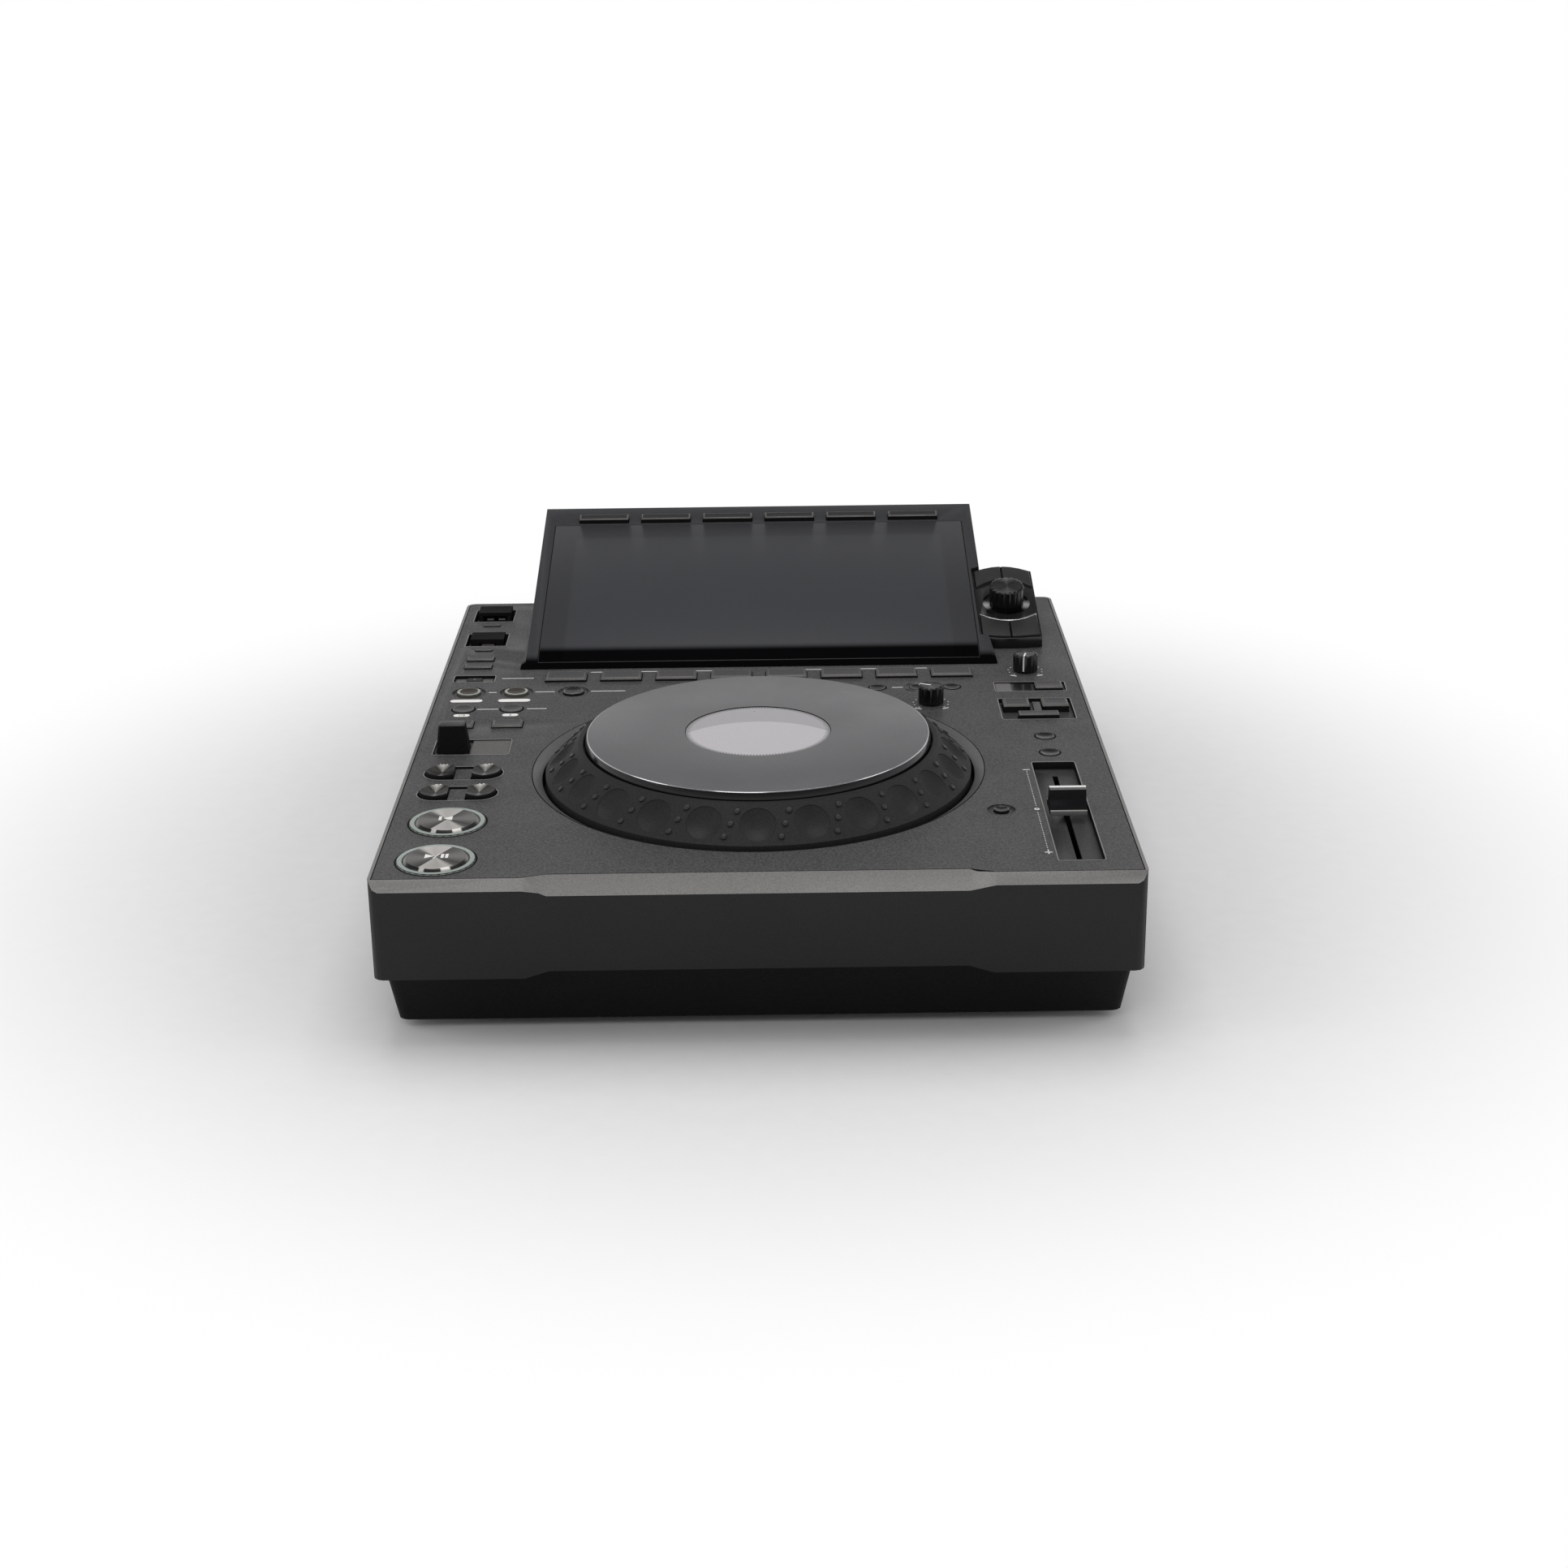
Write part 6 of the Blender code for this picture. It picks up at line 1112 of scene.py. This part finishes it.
class PLAYER_OT_pod(bpy.types.Operator):
    """Makes the selector pod with its four keys and its fluted selector"""
    bl_idname = "player.pod"
    bl_label = "Selector pod"

    def execute(self, context):
        finish = context.scene.player_finish
        tilt = context.scene.player_display.tilt
        up = Vector((0, -math.sin(tilt), math.cos(tilt)))
        bm = merged("selector_pod", 0.3)
        deck = max((face for face in bm.faces if face.normal.dot(up) > 0.9999), key=lambda face: face.calc_area())
        level = deck.calc_center_median().dot(up)
        knob = middle_of("selector_knob")

        def choose(middle, normal):
            lifted = middle.dot(up) - level
            if lifted > 0.0001:
                return 1
            if -0.003 < lifted < -0.0001 and (middle - knob).length < 0.0145:
                return 2
            return 0

        mark_faces(bm, choose)
        soften(bm, 0.0002, 2, 40.0, [edge for edge in bm.edges if edge.calc_length() > 0.003])
        ridge = new_finish("pod_ridge", (0.5, 0.5, 0.51), 0.9, 0.25, tone=0.05, relief=0.02)
        # Painted highlights: bright crescents at the left and right of the selector's well.
        well = spun_finish("selector_well", (0.8, 0.8, 0.8), knob, 0.3, 0.25, WELL_PAINTED_FANS, turn=tilt)
        add_piece("pod_housing", bm, "player", [gloss_finish(finish), ridge, well], "selector_pod")
        key = new_finish("pod_key", (0.02, 0.02, 0.021), 0.0, 0.4, grain=0.0005, tone=0.2, relief=0.06, specular=0.3)
        for node in ("back_key", "tag_key", "track_filter_key", "shortcut_key"):
            bm = merged(node, 0.3)
            soften(bm, 0.00018, 2, 35.0, [edge for edge in bm.edges if edge.calc_length() > 0.0008])
            add_piece(f"{node}_cap", bm, node, [key], node)
        self.selector(finish, tilt, level, up)
        return {"FINISHED"}

    def selector(self, finish, tilt, level, up):
        centre = middle_of("selector_knob")
        turn = Matrix.Rotation(tilt, 3, "X")
        bm = fluted_knob(0.0092, 0.00045, 18, -0.0008, 0.011)
        foot = centre + up * (level - centre.dot(up))
        materials = [
            new_finish("knob_black", finish.gloss_black, 0.0, 0.24, grain=0.0005, tone=0.2, relief=0.03, specular=0.35),
            spun_finish("selector_top", (0.10, 0.10, 0.105), foot, 0.5, 0.3, SOFT_PAINTED_FANS, turn=tilt)]
        add_piece("selector_cap", moved(bm, foot, turn), "selector_knob", materials, "selector_knob")


# Knobs

def fluted_knob(radius, depth, flutes, low, high, crown=0.0009):
    """A fluted knob about Z: wall, rounded crown and a slightly sunk top face with its own finish."""
    bm = bmesh.new()
    bmesh.ops.create_circle(bm, segments=flutes * 8, radius=radius, cap_ends=True)
    for vert in bm.verts:
        turn = math.atan2(vert.co.y, vert.co.x)
        dip = max(0.0, math.cos(turn * flutes)) ** 0.7
        reach = radius - depth * dip
        vert.co = (reach * math.cos(turn), reach * math.sin(turn), low)
    face = bm.faces[:][0]
    face = lift(bm, face, high - crown - low)
    face = lift(bm, face, crown * 0.6, 1 - 0.35 * crown / radius)
    face = lift(bm, face, crown * 0.4, 1 - 0.9 * crown / radius)
    face = lift(bm, face, -0.00012, 0.96)
    face.material_index = 1
    bmesh.ops.recalc_face_normals(bm, faces=bm.faces)
    return bm


class PLAYER_OT_knobs(bpy.types.Operator):
    """Makes the two fluted knobs, each with its white pointer"""
    bl_idname = "player.knobs"
    bl_label = "Knobs"

    def execute(self, context):
        finish = context.scene.player_finish
        for node, turn in (("vinyl_speed_knob", math.radians(-14)), ("jog_adjust_knob", math.radians(-115))):
            spot = deck_spot(node)
            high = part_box(node)[1].z - DECK
            bm = fluted_knob(0.0063, 0.0005, 12, 0.0006, high)
            materials = [
                new_finish("knob_black", finish.gloss_black, 0.0, 0.24, grain=0.0005, tone=0.2, relief=0.03,
                           specular=0.4),
                spun_finish(f"{node}_top", (0.08, 0.08, 0.082), spot, 0.4, 0.3, SOFT_PAINTED_FANS)]
            add_piece(f"{node}_cap", moved(bm, spot), node, materials, node)
            bm = bmesh.new()
            slab(bm, 0, 0.0031, high - 0.0001, 0.0008, 0.0058, 0.00014)
            pose = Matrix.Translation((0, 0.00632, (high + 0.001) / 2)) @ Matrix.Diagonal((0.0008, 0.00025, high - 0.002, 1))
            bmesh.ops.create_cube(bm, size=1, matrix=pose)
            add_piece(f"{node}_pointer", moved(bm, spot, Matrix.Rotation(turn + math.pi, 3, "Z")), node,
                      [print_finish(finish)])
        return {"FINISHED"}


# Round buttons

def cap_shape(node, edge, dish, steps=48):
    """A round button from its node's box: dished top, rounded rim and flange."""
    low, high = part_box(node)
    radius = (high.x - low.x) / 2 - FLANGE
    top = high.z - DECK
    flat = radius - edge
    profile = [(flat * reach, top - dish * (1 - reach ** 2)) for reach in (0.0, 0.25, 0.5, 0.7, 0.85, 0.95, 1.0)]
    for step in (1, 2, 3, 4):
        turn = step * math.pi / 8
        profile.append((flat + edge * math.sin(turn), top - edge * (1 - math.cos(turn))))
    base = low.z - DECK
    profile += [(radius, base + FLANGE), (radius + FLANGE, base + FLANGE), (radius + FLANGE, base), (0, base)]
    return spun(profile, steps), radius, top


def gap_shade_ring(bm, spot, inner, outer, level, steps=48):
    """A thin flat ring round the hole of a round button; its callers make it black, as painted shade in the gap between
    the button and the panel.
    """
    profile = [(inner, level - 0.0009), (inner, level + 0.00004), (outer, level + 0.00004), (outer, level - 0.0009)]
    joined(bm, moved(spun(profile, steps, closed=True), spot))


SMALL_BUTTONS = {
    "reloop_button": 0.0009, "loop_half_button": 0.0006, "loop_double_button": 0.0006,
    "cue_call_button": 0.0004, "cue_delete_button": 0.0004, "cue_memory_button": 0.0004,
    "tempo_range_button": 0.0004, "master_tempo_button": 0.0004, "tempo_reset_button": 0.0004,
}


class PLAYER_OT_round_buttons(bpy.types.Operator):
    """Makes the small round buttons, the loop buttons and the rings of their holes, the thin black ones painted shade
    in the gaps
    """
    bl_idname = "player.round_buttons"
    bl_label = "Round buttons"

    def execute(self, context):
        finish = context.scene.player_finish
        dark = new_finish("button_black", finish.soft_black, 0.0, 0.25, grain=0.0005, tone=0.2, relief=0.03,
                          specular=0.3)
        # Painted highlight: the lip colour lightens the rounded rim of each small button.
        lip = new_finish("button_lip_highlight", finish.key_edge, 0.2, 0.3, tone=0.1, relief=0.03)
        grey = new_finish("button_grey", finish.key_top, 0.2, 0.4, grain=0.0006, tone=0.25, relief=0.1, specular=0.3)
        for node, edge in SMALL_BUTTONS.items():
            bm, radius, top = cap_shape(node, edge, 0.0006)
            mark_faces(bm, lambda middle, normal: 1 if top - edge * 0.6 < middle.z and middle.xy.length > radius - edge
                       else 0)
            face = grey if node in ("loop_half_button", "loop_double_button") else dark
            add_piece(f"{node}_cap", moved(bm, deck_spot(node)), node, [face, lip], node)
        self.loop_buttons(finish)
        self.hole_rings(finish)
        return {"FINISHED"}

    def loop_buttons(self, finish):
        lens = new_finish("olive_lens", finish.olive, 0.0, 0.28, tone=0.08, relief=0.03, subsurface=0.1)
        dark = new_finish("loop_top", (0.045, 0.038, 0.034), 0.0, 0.4, grain=0.0005, tone=0.15, relief=0.04,
                          specular=0.15)
        # Painted highlight: a light rim round the top edge of each loop button, but for its rear.
        rim = new_finish("loop_rim_highlight", (0.36, 0.36, 0.33), 0.2, 0.3, tone=0.05, relief=0.02)
        for node in ("loop_in_button", "loop_out_button"):
            bm, radius, top = cap_shape(node, 0.0005, 0.0008)

            def choose(middle, normal):
                reach = middle.xy.length
                if reach < radius - 0.0011:
                    return 1
                return 2 if middle.z > top - 0.0003 and middle.y < radius * 0.5 else 0

            mark_faces(bm, choose)
            add_piece(f"{node}_cap", moved(bm, deck_spot(node)), node, [lens, dark, rim], node)

    def hole_rings(self, finish):
        bm = bmesh.new()
        for node in SMALL_BUTTONS:
            radius = (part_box(node)[1].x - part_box(node)[0].x) / 2 - FLANGE
            if node in ("reloop_button", "tempo_reset_button", "cue_delete_button"):
                continue
            gap_shade_ring(bm, deck_spot(node), radius + 0.00005, radius + 0.0009, 0)
        # Painted shade: black rings in the gaps round the small buttons.
        add_piece("button_gap_shade", bm, "player", [black_and_shade_finish(finish)])
        bm = bmesh.new()
        for node, dish, depth in (("loop_in_button", 0.0086, 0.0008), ("loop_out_button", 0.0086, 0.0008),
                                  ("reloop_button", 0.008, 0.0008), ("tempo_reset_button", 0.0064, 0.0009)):
            radius = (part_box(node)[1].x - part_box(node)[0].x) / 2 - FLANGE + 0.0008
            profile = [(radius, -depth - 0.0004), (radius, -depth + 0.00005)]
            floor = dish - 0.0004 - radius
            for step in (0.3, 0.36, 0.42, 0.6, 0.66, 0.72, 0.9):
                ridge = 0.00018 if step in (0.36, 0.66) else 0.00005
                profile.append((radius + floor * step, -depth + ridge))
            profile += [(dish - 0.0003, -depth + 0.0001), (dish, 0.00005), (dish + 0.0004, 0.00006),
                        (dish + 0.0004, -depth - 0.0004)]
            joined(bm, moved(spun(profile, 64, closed=True), deck_spot(node)))
        dish = new_finish("dish_paint", finish.recess, 0.4, 0.34, tone=0.2, relief=0.08, specular=0.4)
        add_piece("button_dishes", bm, "player", [dish], smooth=20.0)
        spot = deck_spot("cue_delete_button")
        steel = spun_finish("delete_dish", (0.3, 0.3, 0.3), spot, 0.7, 0.3, SOFT_PAINTED_FANS)
        ring = [(0.0047, -0.0006), (0.0047, 0.00004), (0.0061, 0.00012), (0.0065, 0.00025), (0.0067, 0.00004),
                (0.0067, -0.0006)]
        add_piece("delete_ring", moved(spun(ring, 64, closed=True), spot), "player", [steel])


class PLAYER_OT_large_buttons(bpy.types.Operator):
    """Makes the two large steel buttons with their light rings"""
    bl_idname = "player.large_buttons"
    bl_label = "Cue and play"

    def execute(self, context):
        finish = context.scene.player_finish
        bm = bmesh.new()
        for node in ("cue_button", "play_button"):
            low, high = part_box(node)
            radius = (high.x - low.x) / 2 - FLANGE
            top = high.z - DECK
            base = low.z - DECK
            spot = deck_spot(node)
            profile = [(0, top), (radius - 0.0016, top), (radius - 0.0014, top - 0.00005),
                       (radius - 0.0003, top - 0.0011), (radius, top - 0.0014), (radius, base + FLANGE),
                       (radius + FLANGE, base + FLANGE), (radius + FLANGE, base), (0, base)]
            cap = spun(profile, 96)
            # Painted highlights on the caps, and on the bevels painted reflections: narrow bright patches of lamp light
            # by angle round the bevel.
            steel = spun_finish(f"{node}_steel", finish.steel, spot, 0.75, 0.42, STEEL_PAINTED_FANS)
            bevel = spun_finish(f"{node}_bevel", finish.steel, spot, 0.3, 0.3, BEVEL_PAINTED_REFLECTIONS, 1.0)
            mark_faces(cap, lambda middle, normal: 0 if middle.xy.length < radius - 0.00145 else 1)
            add_piece(f"{node}_cap", moved(cap, spot), node, [steel, bevel], node)
            ring = [(radius + 0.0002, -0.001), (radius + 0.0002, 0.0004), (radius + 0.0004, 0.0006),
                    (radius + 0.0023, 0.00063), (radius + 0.0026, 0.0005), (radius + 0.00275, 0.00003),
                    (radius + 0.00275, -0.001)]
            joined(bm, moved(spun(ring, 96, closed=True), spot))
        glow = new_finish("light_ring", finish.glow_ring, 0.0, 0.35, tone=0.05, relief=0.02, subsurface=0.15)
        add_piece("light_rings", bm, "player", [glow])
        bm = bmesh.new()
        for node in ("cue_button", "play_button"):
            radius = (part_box(node)[1].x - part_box(node)[0].x) / 2 - FLANGE
            gap_shade_ring(bm, deck_spot(node), radius + 0.00276, radius + 0.0036, 0, 96)
        # Painted shade: a black line in the gap outside each light ring.
        add_piece("large_button_gap_shade", bm, "player", [black_and_shade_finish(finish)])
        self.symbols(finish)
        return {"FINISHED"}

    def symbols(self, finish):
        rise = 0.00005
        ink = print_finish(finish)
        spot = middle_of("play_button")
        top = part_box("play_button")[1].z
        bm = bmesh.new()
        triangle(bm, spot.x - 0.0034, spot.y + 0.001, top, 0.0054, rise, 0.0)
        slab(bm, spot.x + 0.0002, spot.y + 0.001, top, 0.0005, 0.0056, rise, -0.45)
        for side in (0.0028, 0.0047):
            slab(bm, spot.x + side, spot.y + 0.001, top, 0.0013, 0.0044, rise)
        add_piece("play_symbol", bm, "play_button", [ink])
        spot = middle_of("cue_button")
        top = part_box("cue_button")[1].z
        bm = bmesh.new()
        slab(bm, spot.x - 0.0032, spot.y + 0.001, top, 0.0013, 0.0044, rise)
        triangle(bm, spot.x + 0.0008, spot.y + 0.001, top, 0.0054, rise, math.pi)
        add_piece("cue_symbol", bm, "cue_button", [ink])


class PLAYER_OT_search_caps(bpy.types.Operator):
    """Makes the four spun search caps, cut straight on the side that faces the middle"""
    bl_idname = "player.search_caps"
    bl_label = "Search caps"

    def execute(self, context):
        finish = context.scene.player_finish
        for pair in ("search", "track_search"):
            for side, way in (("back", 1), ("forward", -1)):
                node = f"{pair}_{side}_button"
                bm, radius, top = cap_shape(node, 0.0009, 0.0012, 64)
                geometry = bm.verts[:] + bm.edges[:] + bm.faces[:]
                cut = bmesh.ops.bisect_plane(bm, geom=geometry, plane_co=(way * radius * 0.72, 0, 0),
                                             plane_no=(way, 0, 0), clear_outer=True)
                rim = [item for item in cut["geom_cut"] if isinstance(item, bmesh.types.BMEdge)]
                bmesh.ops.edgeloop_fill(bm, edges=rim)
                bmesh.ops.recalc_face_normals(bm, faces=bm.faces)
                spot = deck_spot(node)
                # Painted highlights: narrow fans of light before and behind the middle of each cap.
                metal = spun_finish(f"{node}_metal", finish.dark_metal, spot, 0.6, 0.36, DARK_PAINTED_FANS, 1.0)
                mark_faces(bm, lambda middle, normal: 0 if middle.xy.length < radius - 0.0007 else 1)
                add_piece(f"{node}_cap", moved(bm, spot), node, [metal, black_and_shade_finish(finish)], node)
        return {"FINISHED"}


# Lever and slider

class PLAYER_OT_sliding(bpy.types.Operator):
    """Makes the direction lever and the tempo slider"""
    bl_idname = "player.sliding"
    bl_label = "Lever and slider"

    def execute(self, context):
        finish = context.scene.player_finish
        low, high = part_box("direction_lever")
        bm = merged("direction_lever")
        soften(bm, 0.0006, 3, 40.0, [edge for edge in bm.edges
                                     if all(vert.co.z > high.z - 0.0002 for vert in edge.verts)])
        # Painted highlight: the rounded top of the lever is lighter than its black body.
        mark_faces(bm, lambda middle, normal: 1 if middle.z > high.z - 0.0007 and normal.z > 0.2 else 0)
        edge = new_finish("lever_top_highlight", (0.035, 0.034, 0.034), 0.0, 0.4, tone=0.15, relief=0.05)
        add_piece("lever_cap", bm, "direction_lever", [black_and_shade_finish(finish), edge], "direction_lever")
        low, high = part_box("tempo_slider")
        bm = merged("tempo_slider", 0.5)

        def choose(middle, normal):
            height = middle.z - DECK
            if height > 0.0104:
                return 1 if normal.z > 0.9 else 2
            if height > 0.0098 and normal.z > 0.6:
                return 2
            if height > 0.0008 and normal.z > 0.97:
                return 3
            if 0 < height < 0.0018 and abs(normal.y) > 0.9:
                return 2
            return 4 if height > 0.003 and 0.4 < normal.z < 0.6 else 0

        mark_faces(bm, choose)
        soften(bm, 0.0002, 2, 35.0, [edge for edge in bm.edges
                                     if all(vert.co.z > DECK - 0.003 for vert in edge.verts)])
        # Painted light on the slider cap: a white highlight on the ridge tops, grey highlights on the slopes and the
        # lip's faces, a pale highlight on the lip's top, and painted shade in the hollow.
        painted_light_tops = [
            new_finish("slider_ridge_highlight", finish.white, 0.0, 0.5, tone=0.06, relief=0.03),
            new_finish("slider_slope_highlight", (0.15, 0.15, 0.15), 0.0, 0.4, tone=0.08, relief=0.04),
            new_finish("slider_lip_highlight", (0.30, 0.30, 0.28), 0.0, 0.45, tone=0.08, relief=0.04),
            new_finish("slider_hollow_shade", (0.006, 0.0065, 0.008), 0.0, 0.4, tone=0.1, relief=0.03, specular=0.12)]
        add_piece("slider_cap", bm, "tempo_slider", [black_and_shade_finish(finish), *painted_light_tops], "tempo_slider")
        bm = merged("power_button")
        soften(bm, 0.0003, 2, 30.0)
        add_piece("power_cap", bm, "power_button", [black_finish(finish)], "power_button")
        return {"FINISHED"}


# Printed lines and marks, and painted highlight lines round the recesses

class PLAYER_OT_legends(bpy.types.Operator):
    """Makes the printed lines, pills and scales, and the light lines of painted highlight round the recesses"""
    bl_idname = "player.legends"
    bl_label = "Printed marks"

    def execute(self, context):
        finish = context.scene.player_finish
        legend = context.scene.player_legend
        bm = bmesh.new()
        # Painted highlight: thin light lines round the recesses, where their edges catch the light.
        for x, y, width, depth, radius in recess_areas().values():
            joined(bm, frame_line(x, y, DECK - 0.00002, width, depth, radius, legend.frame_line,
                                  legend.print_rise * 1.5, 6))
        add_piece("recess_edge_highlights", bm, "player", [edge_highlight_finish(finish)])
        self.left_marks(legend, finish)
        self.middle_marks(legend, finish)
        self.right_marks(legend, finish)
        return {"FINISHED"}

    def bar(self, bm, legend, x, y, width, depth=None):
        slab(bm, x, y, DECK, width, depth or legend.line, legend.print_rise)

    def left_marks(self, legend, finish):
        bm = bmesh.new()
        rise = legend.print_rise
        loop_in = middle_of("loop_in_button")
        loop_out = middle_of("loop_out_button")
        reloop = middle_of("reloop_button")
        half = middle_of("loop_half_button")
        double = middle_of("loop_double_button")
        call = middle_of("call_key")
        for first, second, spare in ((loop_in, loop_out, 0.0201), (loop_out, reloop, 0.019), (half, double, 0.0135)):
            gap = second.x - first.x - spare
            self.bar(bm, legend, (first.x + second.x) / 2, first.y, gap)
        self.bar(bm, legend, reloop.x + 0.0176, reloop.y, 0.0175)
        self.bar(bm, legend, double.x + 0.0125, double.y, 0.0098)
        self.bar(bm, legend, call.x + 0.0224, call.y, 0.0163)
        for spot in (loop_in, loop_out):
            joined(bm, plate(spot.x, spot.y - 0.0127, DECK, 0.0162, legend.pill, legend.pill * 0.49, rise, 8))
        for spot in (half, double):
            joined(bm, plate(spot.x, spot.y - 0.0089, DECK, 0.008, legend.pill * 0.88, legend.pill * 0.43, rise, 8))
        mark = legend.mark
        track = middle_of("track_search_back_button")
        for spot, way in ((middle_of("track_search_back_button"), math.pi), (middle_of("track_search_forward_button"), 0.0),
                          (middle_of("search_back_button"), math.pi), (middle_of("search_forward_button"), 0.0)):
            side = 1 if way == 0.0 else -1
            for step in (-0.4, 0.4):
                triangle(bm, spot.x + step * mark, spot.y + 0.0116, DECK, mark * 0.8, rise, way)
            if spot.y > track.y - 0.001:
                slab(bm, spot.x + side * mark * 1.0, spot.y + 0.0116, DECK, mark * 0.2, mark * 0.7, rise)
        add_piece("left_marks", bm, "player", [print_finish(finish)])
        bm = bmesh.new()
        printed_text(bm, "1/2", half.x, half.y - 0.0089, DECK + rise, 0.0029, rise / 2)
        printed_text(bm, "2", double.x, double.y - 0.0089, DECK + rise, 0.0029, rise / 2)
        add_piece("pill_numbers", bm, "player", [black_finish(finish)])

    def middle_marks(self, legend, finish):
        bm = bmesh.new()
        rise = legend.print_rise
        first = middle_of("hot_cue_key_1")
        last = middle_of("hot_cue_key_8")
        line_y = first.y + 0.0093
        for low, high in ((first.x + 0.012, -0.009), (0.009, last.x - 0.012)):
            self.bar(bm, legend, (low + high) / 2, line_y, high - low)
        call = middle_of("cue_call_button")
        delete = middle_of("cue_delete_button")
        self.bar(bm, legend, (call.x + delete.x) / 2, call.y, 0.0055)
        add_piece("middle_marks", bm, "player", [print_finish(finish)])

    def right_marks(self, legend, finish):
        bm = bmesh.new()
        rise = legend.print_rise
        slider = middle_of("tempo_slider")
        scale_x = slider.x - 0.0134
        rear = slider.y + 0.0473
        front = slider.y - 0.0475
        dots = 44
        for step in range(dots + 1):
            if abs(step - dots / 2) > 1:
                slab(bm, scale_x, front + (rear - front) * step / dots, DECK, 0.0004, 0.0006, rise)
        self.bar(bm, legend, scale_x, rear + 0.0024, 0.0032)
        self.bar(bm, legend, scale_x, front - 0.0028, 0.0032)
        slab(bm, scale_x, front - 0.0028, DECK, legend.line, 0.0036, rise)
        ring = spun([(0.0005, 0), (0.0012, 0), (0.0012, rise), (0.0005, rise)], 24, closed=True)
        joined(bm, moved(ring, (scale_x, slider.y, DECK)))
        for node, spread in (("vinyl_speed_knob", 135), ("jog_adjust_knob", 135)):
            knob = middle_of(node)
            for step in range(11):
                turn = math.radians(90 + spread - step * spread / 5)
                x = knob.x + 0.0088 * math.cos(turn)
                y = knob.y + 0.0088 * math.sin(turn)
                slab(bm, x, y, DECK, 0.0006, 0.0006, rise, turn)
            for side in (-1, 1):
                slab(bm, knob.x + side * 0.0068, knob.y - 0.0082, DECK, 0.0034, 0.0007, rise, side * 0.5)
        add_piece("right_marks", bm, "player", [print_finish(finish)])


# Sockets

class PLAYER_OT_sockets(bpy.types.Operator):
    """Makes the contacts of the media sockets and of the rear sockets"""
    bl_idname = "player.sockets"
    bl_label = "Sockets"

    def execute(self, context):
        finish = context.scene.player_finish
        areas = recess_areas()
        bright = new_finish("contact_metal", (0.95, 0.92, 0.84), 0.2, 0.35, tone=0.04, relief=0.02)
        bm = bmesh.new()
        for name, widths, reach, level in (("usb_a", (0.0038, 0.0038), 0.0042, 0.0035), ("usb_c", (0.0067,), 0.0022, 0.0038)):
            x, y = areas[name][:2]
            spread = 0.0064
            for index, wide in enumerate(widths):
                shift = (index - (len(widths) - 1) / 2) * spread
                slab(bm, x + shift, y + reach, DECK - level, wide, 0.0006, 0.0009)
        add_piece("usb_contacts", bm, "player", [bright])
        self.rear(finish, bright)
        return {"FINISHED"}

    def rear(self, finish, bright):
        height = middle_of("power_button").z
        wall = BACK
        bm = bmesh.new()
        inlet = HALF_WIDTH - 0.0365
        for x, z in ((-0.007, -0.0035), (0.007, -0.0035), (0, 0.0035)):
            pose = Matrix.Translation((inlet + x, wall - 0.0085, height + z))
            bmesh.ops.create_cube(bm, size=1, matrix=pose @ Matrix.Diagonal((0.002, 0.014, 0.004, 1)))
        for step in range(8):
            pose = Matrix.Translation((-0.01 + (step - 3.5) * 0.00102, wall - 0.007, height + 0.0028))
            bmesh.ops.create_cube(bm, size=1, matrix=pose @ Matrix.Diagonal((0.00045, 0.009, 0.0005, 1)))
        add_piece("rear_pins", bm, "player", [bright])


class PLAYER_PT_panel(bpy.types.Panel):
    """Lists the player's pieces"""
    bl_label = "Club Media Player"
    bl_idname = "PLAYER_PT_panel"
    bl_space_type = "VIEW_3D"
    bl_region_type = "UI"
    bl_category = "Player"

    def draw(self, context):
        for operator in OPERATORS:
            self.layout.operator(operator.bl_idname)
        for group in SETTINGS:
            box = self.layout.box()
            box.label(text=group)
            settings = getattr(context.scene, group)
            for name in settings.bl_rna.properties.keys():
                if name not in ("rna_type", "name"):
                    box.prop(settings, name)


SETTINGS = {
    "player_stage": StageSettings,
    "player_finish": FinishSettings,
    "player_jog": JogSettings,
    "player_display": DisplaySettings,
    "player_legend": LegendSettings,
}
OPERATORS = (
    PLAYER_OT_stage, PLAYER_OT_case, PLAYER_OT_deck_plate, PLAYER_OT_jog_wheel, PLAYER_OT_display, PLAYER_OT_keys,
    PLAYER_OT_pod, PLAYER_OT_knobs, PLAYER_OT_round_buttons, PLAYER_OT_large_buttons, PLAYER_OT_search_caps,
    PLAYER_OT_sliding, PLAYER_OT_legends, PLAYER_OT_sockets,
)
CLASSES = (*SETTINGS.values(), *OPERATORS, PLAYER_PT_panel)


def register():
    for item in CLASSES:
        bpy.utils.register_class(item)
    for name, group in SETTINGS.items():
        setattr(bpy.types.Scene, name, PointerProperty(type=group))


def unregister():
    for name in SETTINGS:
        delattr(bpy.types.Scene, name)
    for item in reversed(CLASSES):
        bpy.utils.unregister_class(item)


def main():
    register()
    bpy.ops.player.stage()
    bpy.ops.player.case()
    bpy.ops.player.deck_plate()
    bpy.ops.player.jog_wheel()
    bpy.ops.player.display()
    bpy.ops.player.keys()
    bpy.ops.player.pod()
    bpy.ops.player.knobs()
    bpy.ops.player.round_buttons()
    bpy.ops.player.large_buttons()
    bpy.ops.player.search_caps()
    bpy.ops.player.sliding()
    bpy.ops.player.legends()
    bpy.ops.player.sockets()


if __name__ == "__main__":
    main()
